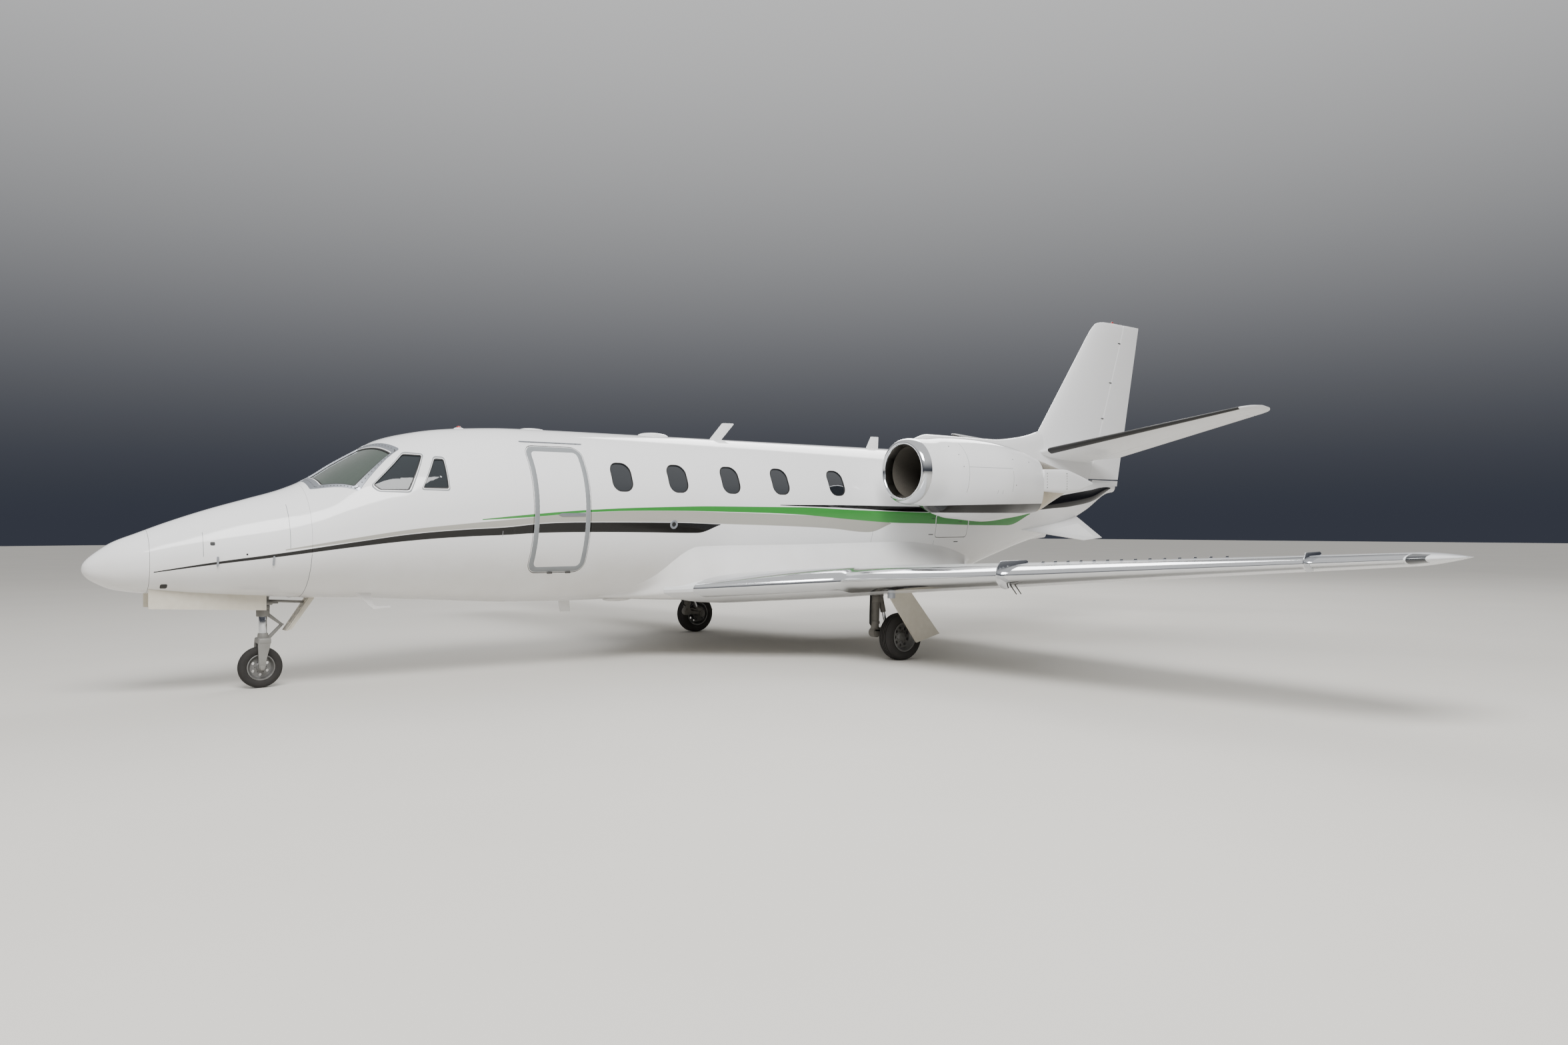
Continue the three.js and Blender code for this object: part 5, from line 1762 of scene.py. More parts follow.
@dataclass
class Wing:
    """Both wings with flaps, ailerons and polished leading edges.

    The rows hold the place along the span, the leading edge, the chord, the height of the chord line and the
    ratio of thickness to chord.
    """

    rows: tuple[tuple[float, ...], ...] = (
        (700, 5790, 4050, 850, 0.095),
        (1000, 6080, 3743, 868, 0.1),
        (2200, 7250, 2400, 960, 0.145),
        (4400, 7415, 1925, 1094, 0.129),
        (8200, 7719, 1086, 1338, 0.1),
        (8300, 7752, 888, 1345, 0.098),
        (8400, 7850, 620, 1351, 0.09),
        (8455, 7975, 375, 1354, 0.08),
        (HALF_SPAN, 8110, 130, 1356, 0.06),
    )
    main_span: tuple[float, float, float] = (700, 8180, 150)
    tip_span: tuple[float, float, float] = (8200, HALF_SPAN, 20)
    blunt: float = 0.0015
    flap: tuple[float, float, float] = (1260, 5150, 0.74)
    aileron: tuple[float, float, float] = (5230, 8080, 0.74)
    flap_axis: tuple[Point, Point] = ((1268, 8897, 765.6), (5142, 8786, 1061.4))
    lug_places: tuple[float, ...] = (1500, 4850)
    lug_web: tuple[Flat, ...] = ((4, -2), (14, -8), (75, 48), (12, 48))
    lug_width: float = 14
    cuff_end: float = 8200
    lens: Flat = (8215, 8330)
    places: tuple[float, ...] = (2140, 2170, 2200, 2230, 2260, 4400)
    fences: tuple[tuple[float, tuple[Flat, ...]], ...] = (
        (4500, (
            (7590, 985), (7500, 962), (7420, 985), (7366, 1040), (7352, 1110), (7372, 1190), (7425, 1249),
            (7820, 1254), (7850, 1225), (7600, 1120),
        )),
        (7500, (
            (7760, 1232), (7690, 1224), (7630, 1238), (7596, 1278), (7600, 1330), (7640, 1384), (7870, 1388),
            (7890, 1362), (7760, 1300),
        )),
    )
    fence_half: float = 5
    prong: tuple[Point, Point] = ((20, 20, -85), (95, 45, -190))
    prong_steps: tuple[float, ...] = (0, 70)
    prong_share: float = 0.05
    vane_span: tuple[float, float, float] = (4760, 6700, 150)
    vane_place: float = 0.16
    vane_size: tuple[float, float, float] = (46, 1.5, 22)
    vane_sink: float = 6
    well: tuple[Point, Point] = ((8150, 1560, 500), (8150, 1560, 830))
    well_radius: float = 300
    behind: float = 12000
    over: float = 2500
    root: float = 960
    kink: float = 2170
    cuff_inboard: Flat = (0.15, 0.042)
    cuff_outboard: Flat = (0.115, 0.1)
    lens_shares: Flat = (0.12, 0.1)
    pad: tuple[Point, Point] = ((7700, 2600, 770), (7700, 2600, 900))
    table: Straight = field(init=False)

    def __post_init__(self) -> None:
        """Prepares the lines through the rows."""
        self.table = Straight(self.rows, 60)

    def cuff_shares(self, y: float) -> Flat:
        """How far back the polished skin reaches above and below the leading edge."""
        return self.cuff_inboard if y < self.kink else self.cuff_outboard

    def point(self, side: Side, y: float, share: float, out: float) -> Point:
        """A point on the skin at a signed share of the chord, above where it is positive, moved outwards.

        Args:
            side: Side of the aircraft.
            y: Distance from the middle line.
            share: Signed share of the chord.
            out: Distance outwards.

        Returns:
            The point.
        """
        x0, chord, z, thickness = self.table.at(y)
        x = abs(share)
        height = (foil_height(thickness, x) + self.blunt * x) * chord
        ahead = -out if x < 0.0005 else -out * max(0.0, 1 - math.sqrt(x) * 6)
        sign = 1 if share >= 0 else -1
        lift = 0.0 if x < 0.0005 else out
        return (x0 + x * chord + ahead, side.value * y, z + sign * (height + lift))

    def hinge(self, side: Side, y: float, front: float) -> Point:
        """The point at a share of the chord on the chord line."""
        x0, chord, z, _ = self.table.at(y)
        return (x0 + front * chord, side.value * y, z)

    def plan(self, side: Side, surface: tuple[float, float, float], ends: float, gap: float) -> Object:
        """Everything behind a control surface's hinge line.

        Args:
            side: Side of the aircraft.
            surface: Both ends and the hinge's share of the chord.
            ends: How much shorter it is at each end.
            gap: How far behind the hinge line it starts.

        Returns:
            A tool for carve.
        """
        inner, outer, front = surface
        p, q = (self.hinge(side, y, front) for y in (inner + ends, outer - ends))
        corners = [(p[0] + gap, p[1]), (self.behind, p[1]), (self.behind, q[1]), (q[0] + gap, q[1])]
        return prism("plan", corners, "xy", 0, self.over)

    def wheel_well(self, side: Side) -> Object:
        """The round well that the wheel folds into."""
        return bars([(*self.well, self.well_radius, None, 64, SHARP)], side.value)[0]

    def whole(self, side: Side) -> Object:
        """The wing before its surfaces are cut out.

        Args:
            side: Side of the aircraft.

        Returns:
            The closed piece.
        """
        rings = []
        for y in [*spaced(*self.main_span, self.places), *spaced(*self.tip_span)]:
            x0, chord, z, thickness = self.table.at(y)
            place = lambda x, h: (x0 + x * chord, side.value * y, z + h * chord)
            rings.append(foil_ring(thickness, self.blunt, place))
        return loft("wing", rings)

    def aileron_radius(self, y: float) -> float:
        """Half the wing's thickness at the aileron's hinge."""
        _, chord, _, thickness = self.table.at(y)
        return (foil_height(thickness, self.aileron[2]) + self.blunt) * chord

    def flap_line(self, side: Side, y: float) -> Point:
        """The flap's hinge line below the wing.

        Args:
            side: Side of the aircraft.
            y: Distance from the middle line.

        Returns:
            The point.
        """
        (y0, x0, z0), (y1, x1, z1) = self.flap_axis
        t = (y - y0) / (y1 - y0)
        return (x0 + (x1 - x0) * t, side.value * y, z0 + (z1 - z0) * t)

    def build(self) -> None:
        """Builds both wings."""
        for side in Side:
            self.build_side(side)

    def build_side(self, side: Side) -> None:
        """Builds the wing, flap, aileron and leading edge of one side.

        Args:
            side: Side of the aircraft.
        """
        hand = side.hand
        inner, outer, front = self.aileron
        hinge = lambda y: self.hinge(side, y, front)
        cove = hinge_bar("cove", [inner, outer], hinge, self.aileron_radius, False, MOVING_GAP)
        wing = self.whole(side)
        wing.name = f"wing_skin_{hand}"
        holes = [self.plan(side, surface, 0, 0) for surface in (self.flap, self.aileron)]
        carve(wing, *holes, cove, self.wheel_well(side))
        dress(wing, WING_PAINT, stands_for=[f"wing_{hand}"], smooth=25)
        flap = carve(self.whole(side), self.plan(side, self.flap, END_GAP, MOVING_GAP), how=Cut.WITHIN)
        flap.name = f"flap_skin_{hand}"
        dress(flap, WING_PAINT, f"flap_{hand}", [f"flap_{hand}"], 25)
        blade = carve(self.whole(side), self.plan(side, self.aileron, END_GAP, 1), how=Cut.WITHIN)
        nose = hinge_bar("nose", [inner + END_GAP, outer - END_GAP], hinge, self.aileron_radius, False)
        aileron = joined(f"aileron_skin_{hand}", [blade, nose])
        dress(aileron, WING_PAINT, f"aileron_{hand}", [f"aileron_{hand}"], 25)
        point = lambda y, share, out: self.point(side, y, share, out)
        places = [y for y in spaced(*self.main_span, self.places) if y > self.root]
        line = [self.root, *places, self.cuff_end]
        cuff = nose_strip(f"wing_leading_edge_{hand}", line, point, self.cuff_shares)
        dress(cuff, POLISHED, smooth=50)
        lens = nose_strip(f"tip_lamp_{hand}", spaced(*self.lens, 10), point, lambda y: self.lens_shares)
        # The lamp cover is opaque and dark: painted shade of the housing behind it
        dress(lens, ACRYLIC, smooth=50)
        self.build_fittings(side)
        self.build_fences(side)

    def build_fences(self, side: Side) -> None:
        """The plates that wrap the leading edge, and the row of small vanes between them.

        Args:
            side: Side of the aircraft.
        """
        for k, (y, outline) in enumerate(self.fences):
            reach = side.reach(y - self.fence_half, y + self.fence_half)
            fence = prism(f"wing_fence_{k}_{side.hand}", round_outline(outline, 14, 4, 2), "xz", *reach)
            dress(bevel_edges(fence, 2.5, 2), POLISHED)
            if k == 0:
                self.build_prongs(side, y)
        vanes = []
        length, half, rise = self.vane_size
        for y in spaced(*self.vane_span):
            x, across, z = self.point(side, y, self.vane_place, 0)
            low, high = (x, across - half, z - self.vane_sink), (x + length, across + half, z + rise)
            vanes.append(block("vane", low, high, 1.2))
        dress(joined(f"wing_vanes_{side.hand}", vanes), POLISHED)

    def build_prongs(self, side: Side, y: float) -> None:
        """The two short rods below a fence.

        Args:
            side: Side of the aircraft.
            y: The fence's distance from the middle line.
        """
        x, _, z = self.hinge(side, y, self.prong_share)
        (a, b, c), (d, e, f) = self.prong
        rows = [((x + step + a, y + b, z + c), (x + step + d, y + e, z + f), 7, 5, 12, 1.5)
                for step in self.prong_steps]
        dress(joined(f"wing_prongs_{side.hand}", bars(rows, side.value)), STEEL)

    def build_fittings(self, side: Side) -> None:
        """The flap's lugs, fixed and moving, and the jack pad.

        Args:
            side: Side of the aircraft.
        """
        hand = side.hand
        for k, place in enumerate(self.lug_places):
            for body, start in ((AIRFRAME, place - SEAT_GAP - self.lug_width), (f"flap_{hand}", place)):
                word = "fixed" if body == AIRFRAME else "moving"
                ends = (self.flap_line(side, start), self.flap_line(side, start + self.lug_width))
                lug = rod(f"flap_lug_{word}_{k}_{hand}", *ends, 15)
                x, _, z = self.flap_line(side, place)
                way = -1 if body == AIRFRAME else 1
                corners = [(x + way * shift, z + rise) for shift, rise in self.lug_web]
                web = prism("web", corners, "xz", *side.reach(start + 3, start + 11))
                dress(joined(lug.name, [lug, web]), GEAR_ENAMEL, body)
        pad = bars([(*self.pad, 45, None, 32, 1.5)], side.value)
        dress(joined(f"jack_pad_{hand}", pad), ANODISED)


WING = Wing()


# Tail


@dataclass
class Tail:
    """Fin, rudder, stabilisers, elevators and strakes."""

    fin: tuple[tuple[float, ...], ...] = (
        (2300, 12760, 15530, 0.1),
        (2700, 13070, 15620, 0.1),
        (3230, 13471, 15744, 0.1),
        (4976, 14790, 16147, 0.1),
        (5140, 14960, 16185, 0.08),
        (5175, 15150, LENGTH, 0.05),
    )
    blunt: float = 0.004
    rudder_hinge: tuple[float, float, float] = (14628, 2300, 0.38435)
    rudder_low: float = 2392
    rudder_foot_gap: float = 26
    rudder_under: float = 40
    rudder_over: float = 5230
    rudder_rows: tuple[float, ...] = (3230, 4976, 5140)
    rudder_ahead: float = 14000
    fin_span: tuple[float, float, float] = (2300, 4976, 120)
    fin_knee: float = 3230
    fin_tip: tuple[float, float, float] = (4990, 5175, 15)
    stabiliser_span: tuple[float, float, float] = (20, 2960, 150)
    stabiliser_tip: tuple[float, float, float] = (2980, 3150, 14)
    boot_span: tuple[float, float, float] = (230, 2960, 150)
    stabiliser: tuple[tuple[float, ...], ...] = (
        (20, 13302, 15025, 2809, 2689, 0.1),
        (2980, 14454, 15090, 3376, 3322, 0.1),
        (3080, 14545, 15075, 3395, 3345, 0.09),
        (3130, 14650, 15050, 3405, 3368, 0.07),
        (3150, 14770, 14980, 3412, 3390, 0.04),
    )
    elevator_span: Flat = (230, 2860)
    elevator_front: float = 0.7
    flare: float = 370
    root_end: float = 14580
    plan_end: float = 15600
    plan_levels: Flat = (2400, 3800)
    aft: float = 17000
    top: float = 5300
    half: float = 400
    boot_shares: Flat = (0.07, 0.06)
    strake_half: float = 15
    strake: tuple[Point, ...] = (
        (11990, 700, 1560), (14100, 190, 1790), (14300, 600, 1405), (13820, 600, 1363),
    )

    def fin_solid(self, name: str, grow: float = 0.0) -> Object:
        """The whole fin with its rudder.

        Args:
            name: Name of the piece.
            grow: How much thicker it is at its aft edge.

        Returns:
            The closed piece.
        """
        table = Straight(self.fin, 20)
        rings = []
        for z in [*spaced(*self.fin_span, [self.fin_knee]), *spaced(*self.fin_tip)]:
            x0, x1, thickness = table.at(z)
            chord = x1 - x0
            blunt = self.blunt + grow / chord
            rings.append(foil_ring(thickness, blunt, lambda x, h: (x0 + x * chord, h * chord, z)))
        return loft(name, rings)

    def rudder_axis(self, z: float) -> Point:
        """The rudder's hinge line."""
        x, base, slant = self.rudder_hinge
        return (x + slant * (z - base), 0.0, z)

    def rudder_radius(self, z: float) -> float:
        """Half the fin's thickness at the hinge.

        Args:
            z: Height.

        Returns:
            The radius.
        """
        x0, x1, thickness = Straight(self.fin).at(z)
        share = (self.rudder_axis(z)[0] - x0) / (x1 - x0)
        return (foil_height(thickness, share) + self.blunt * share) * (x1 - x0)

    def rudder_plan(self, inset: float) -> Object:
        """Everything behind the rudder's hinge line.

        Args:
            inset: How far inwards it starts.

        Returns:
            A tool for carve.
        """
        p, q = self.rudder_axis(self.rudder_low - inset), self.rudder_axis(self.top)
        corners = [(p[0] + inset, p[2]), (self.aft, p[2]), (self.aft, q[2]), (q[0] + inset, q[2])]
        return prism("plan", corners, "xz", -self.half, self.half)

    def build(self) -> None:
        """Builds all of it."""
        rows = self.rudder_rows
        places = [self.rudder_low - self.rudder_under, *rows, self.rudder_over]
        cove = hinge_bar("cove", places, self.rudder_axis, self.rudder_radius, True, MOVING_GAP)
        fin = carve(self.fin_solid("fin_skin"), self.rudder_plan(0), cove)
        dress(fin, PLAIN_WHITE, stands_for=["fin"], smooth=25)
        foot = self.rudder_low + self.rudder_foot_gap
        blade = carve(self.fin_solid("blade"), self.rudder_plan(1), how=Cut.WITHIN)
        low, high = (self.rudder_ahead, -self.half, foot), (self.aft, self.half, self.top)
        carve(blade, block("above", low, high, SHARP), how=Cut.WITHIN)
        nose = hinge_bar("nose", [foot, *rows], self.rudder_axis, self.rudder_radius, True)
        dress(joined("rudder_skin", [blade, nose]), PLAIN_WHITE, "rudder", stands_for=["rudder"], smooth=25)
        for side in Side:
            self.build_side(side)

    def stabiliser_solid(self, side: Side) -> Object:
        """The whole stabiliser of one side with its elevator.

        Args:
            side: Side of the aircraft.

        Returns:
            The closed piece.
        """
        table = Straight(self.stabiliser, 18)
        rings = []
        for y in [*spaced(*self.stabiliser_span), *spaced(*self.stabiliser_tip)]:
            x0, x1, z0, z1, thickness = table.at(y)
            chord = x1 - x0
            ring = foil_ring(
                thickness, self.blunt,
                lambda x, h: (x0 + x * chord, side.value * y, z0 + x * (z1 - z0) + h * chord),
            )
            rings.append(ring)
        return loft("stabiliser", rings)

    def elevator_axis(self, side: Side, y: float) -> Point:
        """The elevator's hinge line.

        Args:
            side: Side of the aircraft.
            y: Distance from the middle line.

        Returns:
            The point.
        """
        x0, x1, z0, z1, _ = Straight(self.stabiliser).at(y)
        share = self.elevator_front
        return (x0 + share * (x1 - x0), side.value * y, z0 + share * (z1 - z0))

    def elevator_radius(self, y: float) -> float:
        """Half the stabiliser's thickness at the hinge."""
        x0, x1, _, _, thickness = Straight(self.stabiliser).at(y)
        return (foil_height(thickness, self.elevator_front) + self.blunt * self.elevator_front) * (x1 - x0)

    def elevator_plan(self, side: Side, inset: float, gap: float) -> Object:
        """Everything behind the elevator's hinge line.

        Args:
            side: Side of the aircraft.
            inset: How much shorter it is at each end.
            gap: How far behind the hinge line it starts.

        Returns:
            A tool for carve.
        """
        a, b = self.elevator_span[0] + inset, self.elevator_span[1] - inset
        p, q = self.elevator_axis(side, a), self.elevator_axis(side, b)
        corners = [(p[0] + gap, a), (self.plan_end, a + self.flare), (self.plan_end, b), (q[0] + gap, b)]
        return prism("plan", [(x, side.value * y) for x, y in corners], "xy", *self.plan_levels)

    def edge_point(self, side: Side, y: float, share: float, out: float) -> Point:
        """A point on the stabiliser's skin at a signed share of the chord, moved outwards.

        Args:
            side: Side of the aircraft.
            y: Distance from the middle line.
            share: Signed share of the chord.
            out: Distance outwards.

        Returns:
            The point.
        """
        x0, x1, z0, z1, thickness = Straight(self.stabiliser, 18).at(y)
        x, chord = abs(share), x1 - x0
        sign = 1 if share >= 0 else -1
        height = (foil_height(thickness, x) + self.blunt * x) * chord
        ahead = -out * max(0.0, 1 - math.sqrt(x) * 6)
        lift = 0.0 if x < 0.0005 else out
        return (x0 + x * chord + ahead, side.value * y, z0 + x * (z1 - z0) + sign * (height + lift))

    def build_side(self, side: Side) -> None:
        """Builds the stabiliser, elevator, boot and strake of one side.

        Args:
            side: Side of the aircraft.
        """
        hand = side.hand
        span = self.elevator_span
        hinge = lambda y: self.elevator_axis(side, y)
        cove = hinge_bar("cove", span, hinge, self.elevator_radius, False, MOVING_GAP)
        root = [
            (self.root_end, 0),
            (self.plan_end, 0),
            (self.plan_end, span[0] + self.flare + 1),
            (self.root_end, span[0] + 18),
        ]
        inboard = prism("root", [(x, side.value * y) for x, y in root], "xy", *self.plan_levels)
        fixed = self.stabiliser_solid(side)
        fixed.name = f"stabiliser_skin_{hand}"
        carve(fixed, self.elevator_plan(side, 0, 0), cove, inboard)
        dress(fixed, PLAIN_WHITE, stands_for=[f"stabiliser_{hand}"], smooth=25)
        blade = carve(self.stabiliser_solid(side), self.elevator_plan(side, END_GAP, 1), how=Cut.WITHIN)
        nose = hinge_bar(
            "nose", [span[0] + END_GAP, span[1] - END_GAP], hinge, self.elevator_radius, False
        )
        elevator = joined(f"elevator_skin_{hand}", [blade, nose])
        dress(elevator, PLAIN_WHITE, f"elevator_{hand}", stands_for=[f"elevator_{hand}"], smooth=25)
        boot = nose_strip(
            f"stabiliser_boot_{hand}", spaced(*self.boot_span),
            lambda y, share, out: self.edge_point(side, y, share, out), lambda y: self.boot_shares,
        )
        dress(boot, SEAL_RUBBER, smooth=50)
        corners = [(x, side.value * y, z) for x, y, z in self.strake]
        faces = [[(x, y + face * self.strake_half, z) for x, y, z in corners] for face in (-1, 1)]
        strake = bevel_edges(loft(f"strake_skin_{hand}", faces), 9, 4)
        dress(strake, PLAIN_WHITE, stands_for=[f"strake_{hand}"])


# Engines


@dataclass
class Nacelles:
    """Cowls, inlet lips, fans, nozzles and pylons: station, axis height, rise, drop and half width."""

    y: float = 1550
    inlet: Flat = (8860, 2316)
    cowl: tuple[tuple[float, ...], ...] = (
        (8991, 2316, 431.5, 431.5, 431.5),
        (9100, 2316, 435, 436, 435),
        (9250, 2315, 440, 448, 441),
        (9500, 2306, 470, 545, 478),
        (9750, 2295, 492, 590, 505),
        (10300, 2250, 525, 585, 540),
        (10850, 2225, 485, 515, 460),
        (11420, 2195, 372, 400, 310),
    )
    nozzle: tuple[tuple[float, ...], ...] = (
        (11180, 2208, 419, 448, 373),
        (11420, 2195, 372, 400, 310),
        (11700, 2214, 285, 300, 262),
        (11960, 2230, 205, 205, 220),
    )
    wall: float = 45
    nozzle_wall: float = 25
    lip: tuple[Flat, ...] = (
        (336, 150), (337, 100), (340, 52), (346, 22), (354, 6), (363, 1), (373, 0), (386, 3), (399, 12),
        (411, 28), (420, 50), (427, 80), (430.5, 110), (431.5, 129), (426, 131), (345, 131), (345, 150),
        (336, 150),
    )
    scallop: tuple[float, float, float, float] = (11420, 2200, 420, 170)
    stang: tuple[tuple[float, ...], ...] = (
        (11200, 356, 300, 2085, 2395),
        (11770, 330, 225, 2070, 2410),
        (12100, 290, 215, 2100, 2350),
        (12500, 235, 215, 2215, 2240),
    )
    fasteners: tuple[Flat, ...] = (
        (9396, 2639), (9482, 2530), (9519, 2376), (10480, 2500), (10480, 2150), (10900, 2480),
    )
    duct: tuple[Flat, ...] = ((150.5, 336), (450, 341), (776, 348), (776, 366), (392, 384), (150.5, 352))
    rivet_rows: Flat = (11330, 11790)
    fan_x: float = 9580
    spinner: tuple[Flat, ...] = (
        (0, -170), (14, -166), (34, -152), (58, -122), (80, -82), (96, -40), (105, 0), (105, 70), (0, 70),
    )
    aft: float = 13000
    across: float = 2500
    edge_steps: int = 32
    fan_sections: tuple[tuple[float, float, float], ...] = (
        (95, 34, 0.95), (170, 44, 0.8), (250, 52, 0.62), (330, 58, 0.5),
    )
    blade_section: tuple[Flat, ...] = ((-1, 0), (-0.4, 4), (0.4, 5), (1, 0), (0.4, -2), (-0.4, -2))
    blade_rake: float = 0.75
    pylon_foil: Flat = (0.085, 0.003)
    pylon_root: float = 760
    pylon_overlap: float = 50
    pylon_front: float = 9700
    pylon_chord: float = 2600
    pylon_level: float = 2200
    pylon_low: Point = (9600, 600, 1800)
    pylon_high: Point = (11240, 1350, 2600)
    blades: int = 22

    def ring(self, side: Side, values: Sequence[float], station: float, grow: float, sides: int = 88) -> Ring:
        """The points round a nacelle at a station.

        Args:
            side: Side of the aircraft.
            values: Axis height, rise, drop and half width.
            station: The station.
            grow: Distance outwards.
            sides: Points of the ring.

        Returns:
            The ring.
        """
        axis, rise, drop, half = values
        ring = []
        for i in range(sides):
            angle = math.tau * i / sides
            reach = rise if math.sin(angle) > 0 else drop
            ring.append((
                station,
                side.value * self.y + (half + grow) * math.cos(angle),
                axis + (reach + grow) * math.sin(angle),
            ))
        return ring

    def tube(self, name: str, side: Side, rows: Sequence[Sequence[float]], wall: float) -> Object:
        """A length of nacelle with a wall.

        Args:
            name: Name of the piece.
            side: Side of the aircraft.
            rows: Rows of its table.
            wall: Thickness of the wall.

        Returns:
            The closed piece.
        """
        table = Smooth(rows)
        stations = spaced(rows[0][0], rows[-1][0], 45)
        outer = [self.ring(side, table.at(s), s, 0) for s in stations]
        inner = [self.ring(side, table.at(s), s, -wall) for s in reversed(stations)]
        return loft(name, outer + inner, closed=True)

    def behind(self, shift: float) -> Object:
        """Everything behind the scalloped aft edge of a cowl.

        Args:
            shift: Distance aft of the edge.

        Returns:
            A tool for carve.
        """
        x, z, half, depth = self.scallop
        edge = []
        for k in range(self.edge_steps + 1):
            level = 2 * k / self.edge_steps - 1
            edge.append((x + shift - depth * (1 - level**2), z + half * level))
        corners = [*edge, (self.aft, z + half), (self.aft, z - half)]
        return prism("behind", corners, "xz", -self.across, self.across)

    def build(self) -> None:
        """Builds both nacelles."""
        for side in Side:
            self.build_side(side)

    def build_side(self, side: Side) -> None:
        """Builds one nacelle.

        Args:
            side: Side of the aircraft.
        """
        hand = side.hand
        centre = side.value * self.y
        x, z = self.inlet
        lip = spun(f"inlet_lip_ring_{hand}", self.lip, (x, centre, z), (1, 0, 0), 96)
        dress(lip, POLISHED, stands_for=[f"inlet_lip_{hand}"], smooth=40)
        rings = [[(x + s, *p) for p in around((centre, z), radius, 72)] for s, radius in self.duct]
        dress(loft(f"inlet_duct_{hand}", rings, closed=True), DUCT)
        cowl = carve(self.tube(f"cowl_skin_{hand}", side, self.cowl, self.wall), self.behind(0))
        dress(cowl, NACELLE_WHITE, stands_for=[f"nacelle_{hand}"])
        nozzle = carve(
            self.tube(f"nozzle_buckets_{hand}", side, self.nozzle, self.nozzle_wall), self.behind(SEAM),
            how=Cut.WITHIN,
        )
        # The straw patches on the buckets are painted reflection of the warm floor
        dress(nozzle, BUCKET_METAL, stands_for=[f"reverser_{hand}"])
        table = Smooth(self.stang)
        for way in (1, -1):
            stations = spaced(self.stang[0][0], self.stang[-1][0], 50)
            rings = [self.stang_ring(centre, way, s, *table.at(s)) for s in stations]
            place = "outer" if way == side.value else "inner"
            stang = loft(f"stang_{place}_{hand}", rings)
            carve(stang, self.behind(SEAM), how=Cut.WITHIN)
            dress(stang, PLAIN_WHITE, smooth=40)
            rivets = []
            for s in self.rivet_rows:
                outer, _, low, high = table.at(s)
                for z in spaced(low + 60, high - 60, 42):
                    start = (s, centre + way * (outer - 14), z)
                    rivets.append(rod("rivet", start, (s, centre + way * (outer + 2.5), z), 8, 6, 10, 1))
            dress(joined(f"stang_rivets_{place}_{hand}", rivets), STEEL)
        marks = []
        for x, z in self.fasteners:
            axis, rise, drop, half = Smooth(self.cowl).at(x)
            across = half * math.sqrt(1 - ((z - axis) / (rise if z > axis else drop)) ** 2)
            start = (x, centre + side.value * (across - 6), z)
            marks.append(rod("fastener", start, (x, centre + side.value * (across + 2), z), 8, 7, 12, 1))
        dress(joined(f"cowl_fasteners_{hand}", marks), STEEL)
        self.build_fan(side)
        self.build_pylon(side)
        dress_node(f"engine_block_{hand}", TITANIUM)

    @staticmethod
    def stang_ring(
        centre: float, way: int, station: float, outer: float, inner: float, low: float, high: float
    ) -> Ring:
        """A section of the fairing along the nozzle: a rounded bar, thicker at its middle.

        Args:
            centre: The axis's distance from the middle line.
            way: Which way it faces.
            station: The station.
            outer: Distance of its outer face from the axis.
            inner: Distance of its inner face.
            low: Its lowest height.
            high: Its highest height.

        Returns:
            The ring.
        """
        middle, half = (low + high) / 2, (high - low) / 2
        ring = []
        for k in range(32):
            angle = math.tau * k / 32
            c, s = math.cos(angle), math.sin(angle)
            across = (outer + inner) / 2 + (outer - inner) / 2 * math.copysign(abs(c) ** 0.7, c)
            ring.append((station, centre + way * across, middle + half * math.copysign(abs(s) ** 0.55, s)))
        return ring

    def build_fan(self, side: Side) -> None:
        """The fan with its spinner and twisted blades.

        Args:
            side: Side of the aircraft.
        """
        hand = side.hand
        centre = (self.fan_x, side.value * self.y, self.inlet[1])
        pieces = [spun("spinner", self.spinner, centre, (1, 0, 0), 48)]
        rings = []
        for radius, half, twist in self.fan_sections:
            ring = []
            for share, thick in self.blade_section:
                angle = (share * half * twist + thick) / radius
                ring.append((
                    centre[0] + share * half * self.blade_rake,
                    centre[1] + radius * math.cos(angle),
                    centre[2] + radius * math.sin(angle),
                ))
            rings.append(ring)
        blade = loft("blade", rings)
        middle = Matrix.Translation(Vector(row(*centre)))
        for k in range(self.blades):
            turn = middle @ Matrix.Rotation(math.tau * k / self.blades, 4, "X") @ middle.inverted()
            pieces.append(copied(blade, turn))
        bpy.data.objects.remove(blade)
        fan = joined(f"fan_rotor_{hand}", pieces)
        dress(fan, TITANIUM, f"fan_{hand}", [f"fan_{hand}"], 40)

    def build_pylon(self, side: Side) -> None:
        """The strut that carries a nacelle.

        Args:
            side: Side of the aircraft.
        """
        rings = []
        front, chord, level = self.pylon_front, self.pylon_chord, self.pylon_level
        for y in spaced(self.pylon_root, self.y - self.pylon_overlap, 60):
            place = lambda x, h: (front + x * chord, side.value * y, level + h * chord)
            rings.append(foil_ring(*self.pylon_foil, place))
        pylon = loft(f"pylon_skin_{side.hand}", rings)
        (x0, near, z0), (x1, far, z1) = self.pylon_low, self.pylon_high
        low, high = side.reach(near, far)
        carve(pylon, block("gap", (x0, low, z0), (x1, high, z1), SHARP), how=Cut.WITHIN)
        dress(pylon, PLAIN_WHITE, stands_for=[f"pylon_{side.hand}"], smooth=25)


# Landing gear


